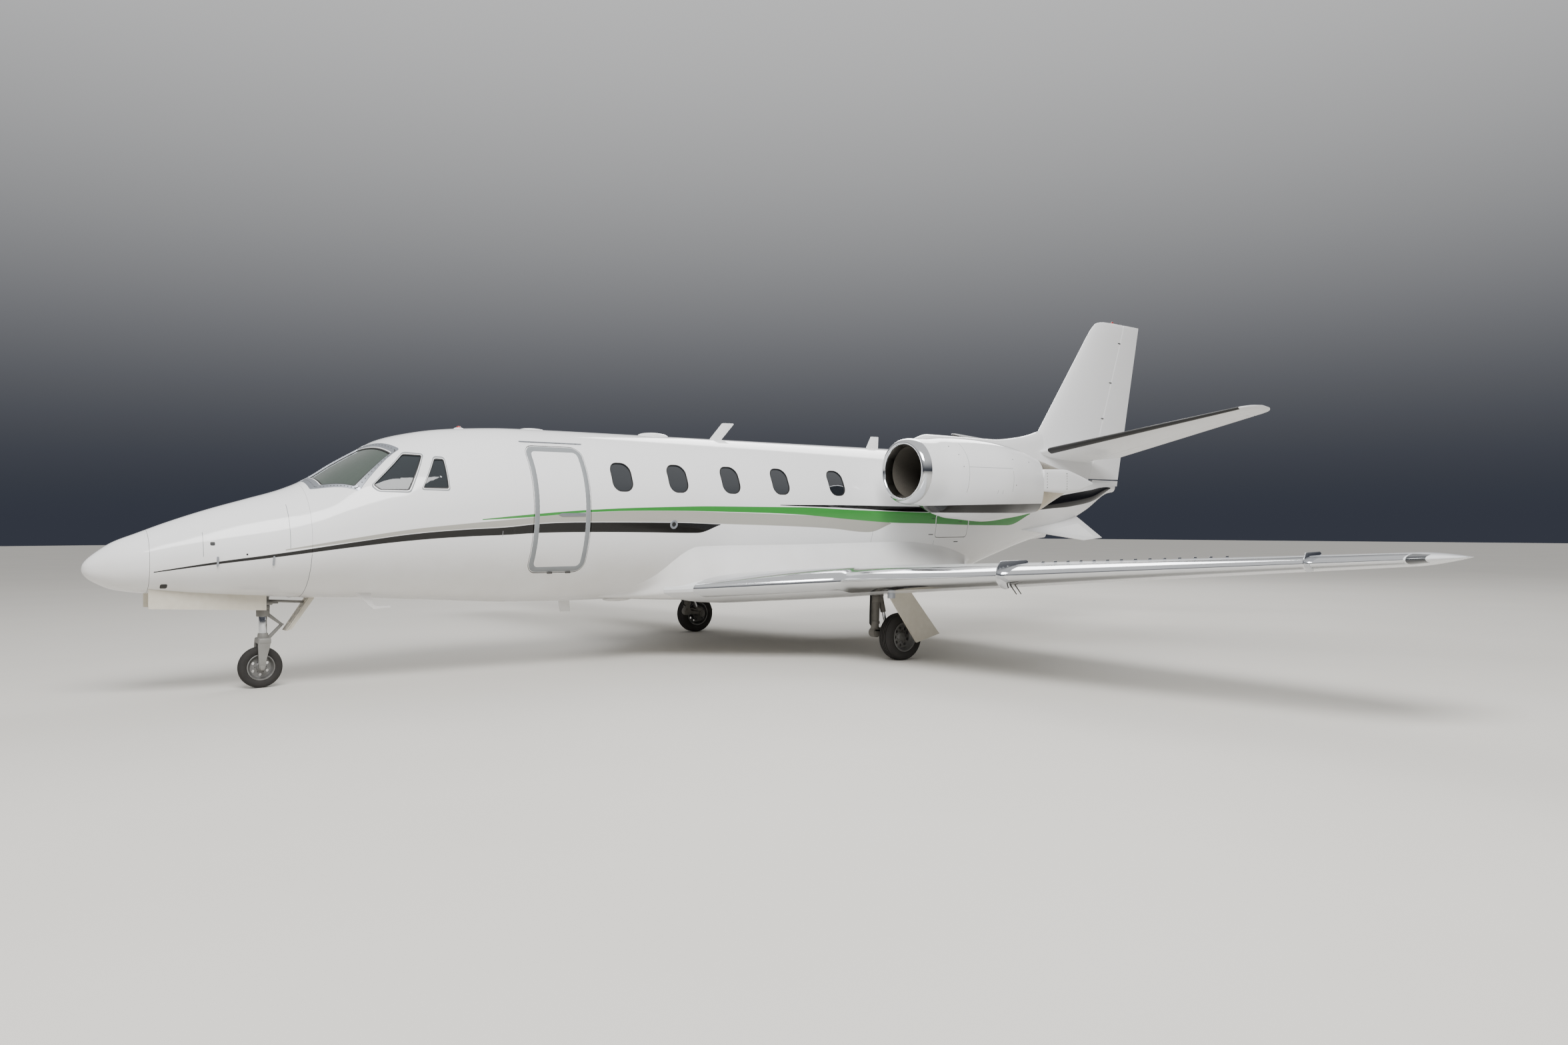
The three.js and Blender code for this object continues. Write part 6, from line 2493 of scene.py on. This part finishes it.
@dataclass
class Wheel:
    """A tyre and its rim, turned about a level axle."""

    name: str
    body: str
    x: float
    y: float
    radius: float
    width: float
    grooves: tuple[float, ...]
    bolts: int
    groove: tuple[Flat, ...] = ((0, -0.06), (0.028, -0.045), (0.028, 0.045), (0, 0.06))
    bead: float = 0.64
    rim_gap: float = 0.4
    hole_place: float = 0.58
    hole_radius: float = 0.115
    bolt_place: float = 0.4
    bolt_reach: float = 0.24
    bolt_radius: float = 6

    def tyre_profile(self) -> list[Flat]:
        """The closed section of the tyre with its tread grooves and bead.

        Returns:
            Points of radius and distance along the axle.
        """
        half = self.width / 2
        tread = []
        for share in self.grooves:
            tread += [(1 - depth, share + shift) for depth, shift in self.groove]
        right = [
            (0.992, 0.55), (0.975, 0.72), (0.945, 0.86), (0.9, 0.955), (0.84, 0.998), (0.78, 1.0),
            (0.72, 0.96), (0.68, 0.9), (0.655, 0.86), (0.643, 0.8),
        ]
        left = [(r, -w) for r, w in reversed(right)]
        inside = [(0.645, 0.5), (0.645, -0.5)]
        section = left + tread + right + inside
        return [(r * self.radius, w * half) for r, w in [*section, section[0]]]

    def rim_profile(self) -> list[Flat]:
        """The section of the rim from the axis round to the axis.

        Returns:
            Points of radius and distance along the axle.
        """
        half, seat = self.width / 2, self.bead * self.radius - self.rim_gap
        right = [
            (0.0, 0.35), (0.26, 0.35), (0.28, 0.33), (0.3, 0.26), (0.36, 0.2), (0.74, 0.2), (0.8, 0.3),
            (0.86, 0.62), (0.9, 0.8), (0.93, 0.86), (0.985, 0.86), (1.0, 0.84),
        ]
        left = [(r, -w) for r, w in reversed(right)]
        return [(r * seat, w * half) for r, w in right + left]

    def build(self) -> None:
        """Builds the tyre, the rim and its bolts and openings."""
        centre = (self.x, self.y, self.radius)
        tyre = spun(f"{self.name}_tyre_rubber", self.tyre_profile(), centre, (0, 1, 0), 96)
        dress(tyre, TYRE_RUBBER, self.body, [f"{self.name}_tyre"], 40)
        rim = spun(f"{self.name}_rim_casting", self.rim_profile(), centre, (0, 1, 0), 72)
        seat, half, hub = self.bead * self.radius, self.width / 2, (self.x, self.radius)
        for x, z in around(hub, self.hole_place * seat, self.bolts, math.pi / self.bolts):
            ends = ((x, self.y - half, z), (x, self.y + half, z))
            carve(rim, rod("hole", *ends, self.hole_radius * seat, sides=20, rounding=SHARP))
        bolts, reach = [], half * self.bolt_reach
        for x, z in around(hub, self.bolt_place * seat, self.bolts):
            ends = ((x, self.y - reach, z), (x, self.y + reach, z))
            bolts.append(rod("bolt", *ends, self.bolt_radius, sides=6))
        dress(rim, CAST_WHEEL, self.body, [f"{self.name}_rim"], 35)
        dress(joined(f"{self.name}_bolts", bolts), STEEL, self.body)


@dataclass
class LandingGear:
    """Wheels, legs and doors of the landing gear. What comes in pairs is given for the starboard side.

    Each bar is a row of start, end, radius, far radius, sides and rounding.
    """

    nose: tuple[float, float, float] = (1519, 206, 112)
    main: tuple[float, float, float, float] = (8135, 2284, 279.5, 200)
    doors: tuple[str, ...] = ("nose_door", "main_gear_door")
    nose_bars: tuple[Bar, ...] = (
        ((1545, 0, 780.4), (1545, 0, 1290), 56, None, 36, 1.5),
        ((1545, 0, 780.4), (1545, 0, 822), 64, None, 36, 5),
        ((1545, 0, 905), (1545, 0, 960), 63, None, 36, 5),
        ((1545, 0, 900), (900, 0, 1250), 24, None, 24, 1.5),
        ((1545, 0, 870), (1935, 0, 842), 13, None, 24, 1.5),
        ((1545, -104, 868), (1545, 104, 868), 17, None, 24, 1.5),
        ((1480, -70, 848), (1618, -70, 848), 21, None, 24, 4),
        ((1618, -70, 848), (1672, -70, 846), 9, None, 24, 1.5),
        ((1480, 70, 848), (1618, 70, 848), 21, None, 24, 4),
        ((1618, 70, 848), (1672, 70, 846), 9, None, 24, 1.5),
    )
    leaf: tuple[Flat, ...] = ((1744, 560), (1758, 560), (1998, 915), (1984, 922))
    leaf_half: float = 88
    leaf_holes: tuple[float, ...] = (0.2, 0.4, 0.6, 0.8)
    leaf_foot: Flat = (1750, 560)
    leaf_run: Flat = (240, 358)
    hole_run: Flat = (80, 54)
    rib: tuple[Flat, ...] = ((1758, 565), (1796, 572), (2012, 880), (1990, 905))
    rib_half: float = 4
    nose_piston: Bar = ((1545, 0, 470), (1545, 0, 779.6), 39, None, 40, 1.5)
    fork_crown: tuple[Point, Point] = ((1487, -104, 438), (1603, 104, 498))
    fork_bars: tuple[Bar, ...] = (
        ((1545, 0, 712), (1545, 0, 779.6), 63, None, 40, 6),
        ((1545, 0, 480), (1545, 0, 545), 56, 47, 36, 5),
        ((1519, -112, 206), (1519, 112, 206), 17, None, 24, 1.5),
        ((1722, -32, 624), (1722, 32, 624), 12, None, 24, 1.5),
    )
    fork_arm: tuple[Flat, ...] = (
        (1489, 492), (1601, 492), (1592, 420), (1560, 300), (1550, 214), (1536, 180), (1519, 172),
        (1502, 180), (1490, 206), (1486, 300), (1482, 420),
    )
    fork_arm_reach: Flat = (74, 102)
    fork_nut: Bar = ((1519, 72, 206), (1519, 122, 206), 27, 22, 24, 4)
    links: tuple[tuple[Flat, ...], ...] = (
        ((1590, 752), (1728, 630), (1716, 612), (1578, 716)),
        ((1716, 636), (1728, 614), (1596, 470), (1574, 492)),
    )
    link_half: float = 22
    main_bars: tuple[Bar, ...] = (
        ((7880, 2110, 330), (7900, 2110, 830), 48, 56, 36, 4),
        ((7894, 2110, 690), (7897, 2110, 764), 64, None, 36, 8),
        ((7884, 2110, 430), (7886, 2110, 468), 58, None, 36, 6),
        ((7876, 2066, 330), (7876, 2158, 330), 58, None, 36, 6),
        ((8135, 2080, 279.5), (8135, 2252, 279.5), 32, None, 32, 1.5),
        ((8135, 2072, 279.5), (8135, 2100, 279.5), 46, None, 32, 6),
        ((8006, 2125, 570), (7945, 2125, 830), 33, None, 32, 4),
        ((7962, 2125, 758), (7948, 2125, 818), 41, None, 32, 5),
        ((8058, 2092, 352), (8058, 2158, 352), 27, None, 24, 5),
    )
    main_arm: tuple[Flat, ...] = (
        (7836, 352), (7856, 372), (8060, 392), (8178, 330), (8192, 276), (8150, 250), (8060, 280),
        (7850, 292),
    )
    main_arm_reach: Flat = (2088, 2160)
    main_piston: Bar = ((8060, 2125, 350), (8002, 2125, 590), 20, None, 32, 1.5)
    discs: tuple[float, ...] = (2168, 2182, 2196, 2210)
    disc_thickness: float = 9
    disc_radius: float = 112
    carrier: Bar = ((8135, 2162, 279.5), (8135, 2222, 279.5), 84, None, 32, 4)
    cup_count: int = 5
    cup_place: float = 92
    cup_turn: float = 0.5
    cup_reach: Flat = (2150, 2172)
    cup_radius: float = 19
    hose: tuple[Point, ...] = (
        (7830, 2110, 800), (7824, 2106, 600), (7822, 2104, 440), (7860, 2078, 402), (7980, 2070, 380),
        (8080, 2100, 345),
    )
    hose_moved: int = 3
    hose_gap: float = 16

    def build(self) -> None:
        """Builds all of it."""
        x, radius, width = self.nose
        Wheel("nose", "nose_wheel", x, 0, radius, width, (-0.3, 0.0, 0.3), 6).build()
        x, y, radius, width = self.main
        for side in Side:
            name, body = f"main_{side.hand}", f"main_wheel_{side.hand}"
            Wheel(name, body, x, side.value * y, radius, width, (-0.42, -0.14, 0.14, 0.42), 9).build()
        # The gear doors face the ground: their darker, warmer paint is painted shade and floor reflection,
        # with dust
        for name in self.doors:
            for side in Side:
                dress_node(f"{name}_{side.hand}", SHADED_DOOR_PAINT)
        self.build_nose_leg()
        self.build_nose_fork()
        for side in Side:
            self.build_main_leg(side)

    def build_nose_leg(self) -> None:
        """The fixed part of the nose leg, its brace and the door behind it."""
        tubes = joined("nose_leg_tubes", bars(self.nose_bars))
        dress(tubes, GEAR_ENAMEL, stands_for=["nose_leg"])
        leaf = prism("nose_leg_door", self.leaf, "xz", -self.leaf_half, self.leaf_half)
        (x0, z0), (run, rise), (along, up) = self.leaf_foot, self.leaf_run, self.hole_run
        for share in self.leaf_holes:
            x, z = x0 + run * share, z0 + rise * share
            for y in (-self.leaf_half / 2, self.leaf_half / 2):
                carve(leaf, rod("hole", (x - along, y, z + up), (x + along, y, z - up), 17, rounding=SHARP))
        # The leg's door takes the same darker paint: painted shade, with dust
        dress(bevel_edges(leaf, 2.5, 2), SHADED_DOOR_PAINT)
        edge = self.leaf_half - self.rib_half
        ribs = [prism("rib", self.rib, "xz", y - self.rib_half, y + self.rib_half) for y in (-edge, edge)]
        dress(joined("nose_leg_door_ribs", ribs), SHADED_DOOR_PAINT)

    def build_nose_fork(self) -> None:
        """The steered part of the nose leg: chromed tube, collar, forked arms, axle and torque links."""
        body = "nose_fork"
        dress(joined("nose_leg_piston", bars([self.nose_piston])), CHROME, body)
        collar, boss, axle, pin = bars(self.fork_bars)
        parts = [collar, block("crown", *self.fork_crown, 14), boss]
        for side in Side:
            line = round_outline(self.fork_arm, 10, 4, 2)
            arm = prism("arm", line, "xz", *side.reach(*self.fork_arm_reach))
            parts += [bevel_edges(arm, 7, 3), *bars([self.fork_nut], side.value)]
        parts.append(axle)
        for link in self.links:
            strip = prism("link", round_outline(link, 8, 4, 2), "xz", -self.link_half, self.link_half)
            parts.append(bevel_edges(strip, 4, 2))
        parts.append(pin)
        dress(joined("nose_fork_forging", parts), GEAR_ENAMEL, body, ["nose_fork"])

    def build_main_leg(self, side: Side) -> None:
        """A main leg: cylinder, trailing arm, damper, axle, brake and hoses.

        Args:
            side: Side of the aircraft.
        """
        hand, way = side.hand, side.value
        arm = prism("arm", round_outline(self.main_arm, 22, 5, 2), "xz", *side.reach(*self.main_arm_reach))
        forging = joined(f"main_leg_forging_{hand}", [*bars(self.main_bars, way), bevel_edges(arm, 10, 3)])
        # The darker enamel here is painted shade, with brake dust and grease
        dress(forging, LEG_ENAMEL, stands_for=[f"main_leg_{hand}"])
        piston = joined(f"main_leg_piston_{hand}", bars([self.main_piston], way))
        dress(piston, CHROME)
        x, _, z, _ = self.main
        depth, radius = self.disc_thickness, self.disc_radius
        rows = [((x, y, z), (x, y + depth, z), radius, None, 48, 1.5) for y in self.discs]
        near, far = self.cup_reach
        cups = around((x, z), self.cup_place, self.cup_count, self.cup_turn)
        rows += [self.carrier, *(((a, near, b), (a, far, b), self.cup_radius, None, 24, 3) for a, b in cups)]
        dress(joined(f"main_brake_{hand}", bars(rows, way)), STEEL)
        rows = []
        for shift in (0, self.hose_gap):
            line = [(x - shift, y, z) for x, y, z in self.hose[: self.hose_moved]]
            line += self.hose[self.hose_moved :]
            rows += [(a, b, 6.5, None, 10, 0.6) for a, b in zip(line, line[1:])]
        dress(joined(f"main_brake_hoses_{hand}", bars(rows, way)), SEAL_RUBBER)


# Small trim


@dataclass
class Trim:
    """Aerials, lamps, probes and small fittings on the skin.

    A blade is its outline, half its thickness and its distance from the middle, a dome its middle and half
    its sizes, and a mark its station, height, width and depth.
    """

    blades: tuple[tuple[str, tuple[Flat, ...], float, float], ...] = (
        ("aerial_top_front", ((6900, 2725), (7070, 2725), (7285, 2955), (7270, 2962), (7110, 2958)), 12, 0),
        ("aerial_top_aft", ((9617, 2725), (9838, 2725), (9848, 2905), (9717, 2905)), 12, 0),
        ("aerial_belly", ((4764, 745), (4902, 745), (4920, 600), (4790, 600)), 10, 0),
        (
            "aerial_belly_mast",
            (
                (2320, 962), (2492, 944), (2530, 800), (2560, 788), (2712, 788), (2714, 766), (2528, 758),
                (2490, 790),
            ),
            9,
            -330,
        ),
    )
    domes: tuple[tuple[str, Point, Point, Finish], ...] = (
        ("fairing_satellite", (6060, 0, 2735), (215, 70, 45), PLAIN_WHITE),
        ("fairing_forward", (4435, 0, 2728), (150, 62, 24), PLAIN_WHITE),
        ("fairing_belly", (5480, -120, 728), (190, 60, 26), PLAIN_WHITE),
        ("beacon_top_base", (3563, 0, 2700), (56, 50, 16), PLAIN_WHITE),
        ("beacon_top", (3563, 0, 2712), (26, 26, 22), RED_LENS),
        ("beacon_fin", (15430, 0, 5176), (30, 20, 38), RED_LENS),
        ("beacon_fin_base", (15430, 0, 5172), (48, 24, 14), PLAIN_WHITE),
    )
    fin_rods: tuple[Bar, ...] = (
        ((15600, 0, 5160), (15600, 0, 5212), 5, None, 24, 1.5),
        ((15300, 0, 5160), (15300, 0, 5190), 4, None, 24, 1.5),
    )
    marks: tuple[tuple[float, float, float, float], ...] = (
        (1016, 1451, 40, 34),
        (1298, 1347, 16, 16),
        (10046, 1706, 70, 9),
        (10606, 1664, 70, 9),
        (10031, 1484, 90, 12),
        (10582, 1378, 90, 12),
        (3820, 1560, 22, 22),
        (635, 1053, 60, 42),
    )
    vanes: tuple[Flat, ...] = ((1055, 1283), (1522, 1282))
    vane_half: Flat = (8, 46)
    port: Flat = (5797, 1628)
    port_radii: Flat = (52, 27)
    hinge_heights: tuple[float, ...] = (4830, 4110, 3470)

    def build(self) -> None:
        """Builds all of it."""
        for name, outline, half, y in self.blades:
            self.blade(name, outline, half, y)
        for name, centre, size, finish in self.domes:
            self.dome(name, centre, size, finish)
        dress(joined("fin_discharger", bars(self.fin_rods)), STEEL)
        for side in Side:
            self.build_side_marks(side)
        self.build_hinge_marks()

    def build_side_marks(self, side: Side) -> None:
        """Ports, vanes, vents and latches on one side of the body.

        Args:
            side: Side of the aircraft.
        """
        surface = HULL.beside(side)
        dark, bright = [], []
        # Each mark is a black plate on the skin: painted shade standing in for the recess of a small port,
        # vent and slot
        for x, z, wide, tall in self.marks:
            corners = rectangle((x - wide / 2, z - tall / 2), (x + wide / 2, z + tall / 2))
            line = round_outline(corners, min(wide, tall) * 0.3, 4, 2)
            dark.append(plate("mark", line, surface, 1.4, -4, 2))
        wide, tall = self.vane_half
        for x, z in self.vanes:
            line = round_outline(rectangle((x - wide, z - tall), (x + wide, z + tall)), 6, 4, 3)
            bright.append(plate("vane", line, surface, 16, -4, 2))
        outer, inner = (around(self.port, radius, 40) for radius in self.port_radii)
        bright.append(band("port", outer, inner, surface, 5, -5))
        dark.append(plate("port_glass", inner, surface, 2, -5, 3))
        dress(joined(f"side_ports_{side.hand}", dark), SEAL_RUBBER)
        dress(joined(f"side_fittings_{side.hand}", bright), ANODISED)

    def build_hinge_marks(self) -> None:
        """The small hinge arms on both faces of the fin, ahead of the rudder."""
        tail = Tail()
        arms = []
        for z in self.hinge_heights:
            x = tail.rudder_axis(z)[0]
            radius = tail.rudder_radius(z)
            for side in Side:
                low, high = side.reach(radius - 4, radius + 7)
                arms.append(block("arm", (x - 92, low, z - 9), (x - 14, high, z + 9), 2.5))
        dress(joined("rudder_hinge_arms", arms), STEEL)

    @staticmethod
    def blade(name: str, outline: Sequence[Flat], half: float, y: float) -> Object:
        """A flat blade, thin at its edges.

        Args:
            name: Name of the piece.
            outline: Its outline as station and height.
            half: Half its thickness.
            y: Distance from the middle line.

        Returns:
            The dressed piece.
        """
        piece = prism(name, round_outline(outline, 8, 4, 2), "xz", y - half, y + half)
        return dress(bevel_edges(piece, half * 0.8, 3), PLAIN_WHITE)

    @staticmethod
    def dome(name: str, centre: Point, size: Point, finish: Finish) -> Object:
        """A low dome sunk into the skin.

        Args:
            name: Name of the piece.
            centre: Its middle.
            size: Half its sizes.
            finish: What it is made of.

        Returns:
            The dressed piece.
        """
        bpy.ops.object.select_all(action="DESELECT")
        scale = [v / 1000 for v in size]
        bpy.ops.mesh.primitive_uv_sphere_add(
            segments=48, ring_count=24, radius=1, location=row(*centre), scale=scale
        )
        return dress(settle(name, added()), finish)


# Cabin


def cushion(name: str, centre: Point, size: Point, lean: float = 0.0, crown: float = 0.16) -> Object:
    """A stuffed cushion: a cube drawn in at its edges and corners, fullest in the middle of each face.

    Args:
        name: Name of the piece.
        centre: Middle of the cushion.
        size: Length, width and height.
        lean: Angle in degrees by which it leans back.
        crown: How much fuller the middle is than the edges, as a share of the smallest size.

    Returns:
        The closed piece.
    """
    bpy.ops.object.select_all(action="DESELECT")
    bpy.ops.mesh.primitive_cube_add(size=2, location=(0, 0, 0))
    piece = edit(added(), lambda: bpy.ops.mesh.subdivide(number_cuts=11))
    swell = crown * min(size)
    for vertex in piece.data.vertices:
        unit = list(vertex.co)
        length = sum(abs(u) ** 7 for u in unit) ** (1 / 7)
        unit = [u / length for u in unit]
        point = []
        for k, u in enumerate(unit):
            others = [unit[j] for j in range(3) if j != k]
            full = (1 - others[0] ** 2) * (1 - others[1] ** 2)
            point.append(u * (size[k] / 2 - swell * (1 - full) * 0.5))
        vertex.co = Vector(point) / 1000
    turn = Matrix.Rotation(math.radians(lean), 4, "Y")
    piece.data.transform(Matrix.Translation(Vector(row(*centre))) @ turn)
    return settle(name, piece)


@dataclass
class Cabin:
    """The fittings that show through the panes and the open door.

    A pad is its distance aft of the seat's front, its height over the floor, its length, how much narrower
    than the seat it is, its height and the angle by which it leans back.
    """

    floor: float = 1094
    pilots: tuple[float, ...] = (2850,)
    rows: tuple[float, ...] = (5000, 6650, 7500, 8400)
    pilot_side: Flat = (170, 600)
    cabin_side: Flat = (300, 720)
    pads: tuple[tuple[float, ...], ...] = (
        (290, 400, 500, 96, 125, -3),
        (590, 700, 118, 90, 560, 11),
        (652, 985, 96, 190, 130, 11),
    )
    arm_inset: float = 24
    arm_place: Flat = (340, 590)
    arm_size: Point = (360, 46, 52)
    panel: tuple[Point, Point] = ((120, -16, 90), (560, 16, 566))
    base: tuple[Flat, Flat] = ((80, 0.4), (560, 345))
    base_inset: float = 45

    def build(self) -> None:
        """Builds the seats and gives the other fittings their finishes."""
        dress_node("cabin_floor", CARPET)
        dress_node("instrument_panel", DARK_PANEL)
        for side in Side:
            self.build_seats("pilot_seat_set", side, self.pilot_side, self.pilots, "pilot_seat")
            self.build_seats("cabin_seat_set", side, self.cabin_side, self.rows, "cabin_seats")

    def build_seats(
        self, name: str, side: Side, across: Flat, stations: Sequence[float], node: str
    ) -> None:
        """Builds like seats: their cushions as one piece, and what carries them.

        Args:
            name: Start of the pieces' names, which go on with the side's word.
            side: Side of the aisle.
            across: Nearest and furthest distance from the middle line.
            stations: Front of each seat.
            node: CAD node that they replace, without the side's word.
        """
        middle, width = side.value * sum(across) / 2, across[1] - across[0]
        z = self.floor
        soft, hard = [], []
        for x in stations:
            for aft, up, length, narrower, height, lean in self.pads:
                size = (length, width - narrower, height)
                soft.append(cushion("pad", (x + aft, middle, z + up), size, lean))
            for way in (-1, 1):
                y = middle + way * (width / 2 - self.arm_inset)
                aft, up = self.arm_place
                soft.append(cushion("arm", (x + aft, y, z + up), self.arm_size, 0, 0.3))
                hard.append(block("side", *((x + a, y + b, z + c) for a, b, c in self.panel), 12))
            (a, low), (b, high) = self.base
            half = width / 2 - self.base_inset
            hard.append(block("base", (x + a, middle - half, z + low), (x + b, middle + half, z + high), 18))
        hull = joined(f"{name}_{side.hand}_shells", hard)
        dress(hull, DARK_PANEL, stands_for=[f"{node}_{side.hand}"])
        pads = dress(joined(f"{name}_{side.hand}_cushions", soft), LEATHER, smooth=60)


# Studio


@dataclass
class Studio:
    """Floor, soft light and the camera at the photograph's place."""

    eye: Point = (-9.0575, -11.952, 1.599)
    heading: float = 37.23
    pitch: float = 0.22
    roll: float = -0.14
    lens: float = 25.214
    floor_corners: tuple[Flat, Flat] = ((-90000, -90000), (110000, 110000))
    floor_depth: float = 60
    horizon: str = "#3E424D"
    zenith: str = "#FFFFFF"
    fade_end: float = 0.62
    surround: float = 0.8
    lamp_size: Flat = (12, 8)
    lamps: tuple[tuple[str, Point, Point, float], ...] = (
        ("key", (-9, -12, 15), (0, 0, 1.5), 5200),
        ("rim", (12, 10, 13), (3, 0, 2), 2400),
    )

    def build(self) -> None:
        """Builds all of it."""
        floor = prism("studio_floor", rectangle(*self.floor_corners), "xy", -self.floor_depth, 0)
        floor.data.materials.append(FLOOR.material())
        self.light_world()
        for name, place, target, power in self.lamps:
            self.light(name, place, target, self.lamp_size, power)
        self.place_camera()

    def light_world(self) -> None:
        """A plain surround, white overhead and dark at the horizon, which draws the polished edges."""
        world = bpy.data.worlds.new("studio_surround")
        bpy.context.scene.world = world
        world.use_nodes = True
        tree = world.node_tree
        place = add_node(tree, "ShaderNodeTexCoord").outputs["Generated"]
        height = add_node(tree, "ShaderNodeSeparateXYZ", {0: place}).outputs[2]
        span = {1: 0.0, 2: self.fade_end, 3: 0.0, 4: 1.0}
        ramp = add_node(
            tree, "ShaderNodeMapRange", {0: height}, span, interpolation_type="SMOOTHSTEP"
        ).outputs[0]
        colours = {6: linear(self.horizon), 7: linear(self.zenith)}
        mix = add_node(tree, "ShaderNodeMix", {0: ramp}, colours, data_type="RGBA").outputs[2]
        tree.links.new(mix, tree.nodes["Background"].inputs["Color"])
        tree.nodes["Background"].inputs["Strength"].default_value = self.surround

    @staticmethod
    def light(name: str, place: Point, target: Point, size: Flat, power: float) -> None:
        """A large soft lamp aimed at a point.

        Args:
            name: Name of the lamp.
            place: Where it stands.
            target: What it points at.
            size: Width and height.
            power: Power in watts.
        """
        data = bpy.data.lights.new(name, "AREA")
        data.shape = "RECTANGLE"
        data.size, data.size_y = size
        data.energy = power
        lamp = bpy.data.objects.new(name, data)
        bpy.context.scene.collection.objects.link(lamp)
        lamp.location = place
        lamp.rotation_euler = (Vector(target) - Vector(place)).to_track_quat("-Z", "Y").to_euler()

    def place_camera(self) -> None:
        """The camera, turned by its heading, pitch and roll."""
        heading, pitch, roll = (math.radians(v) for v in (self.heading, self.pitch, self.roll))
        level = math.cos(pitch)
        forward = Vector((math.sin(heading) * level, math.cos(heading) * level, math.sin(pitch)))
        right = forward.cross(Vector((0, 0, 1))).normalized()
        up = right.cross(forward)
        turned = right * math.cos(roll) + up * math.sin(roll)
        above = turned.cross(forward)
        data = bpy.data.cameras.new("photo_camera")
        data.sensor_fit = "HORIZONTAL"
        data.sensor_width = 36
        data.lens = self.lens
        data.clip_end = 1000
        camera = bpy.data.objects.new("photo_camera", data)
        bpy.context.scene.collection.objects.link(camera)
        camera.matrix_world = Matrix((turned, above, -forward)).transposed().to_4x4()
        camera.location = self.eye
        bpy.context.scene.camera = camera


# Pale studio floor: smooth and nearly even, with faint broad stains
FLOOR = Finish("floor_pale", "#CFCCC6", "#C3C0B9", 0.75, grains=(Grain(size=2600, tint=0.8, gloss=0.05),))
WING_PAINT = Livery(
    "polyurethane_wing", "#DFE0E1", "#D2D4D6", 0.22, coat=0.5, coat_roughness=0.06,
    grains=(LONG_WAVES, ORANGE_PEEL), dust_top=700,
)


def main() -> None:
    """Builds every sub-assembly in order."""
    Studio().build()
    Fuselage().build()
    DOOR.build()
    TailCone().build()
    BellyFairing().build()
    WING.build()
    Tail().build()
    Nacelles().build()
    LandingGear().build()
    Cabin().build()
    Trim().build()
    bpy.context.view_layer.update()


if __name__ == "__main__":
    main()
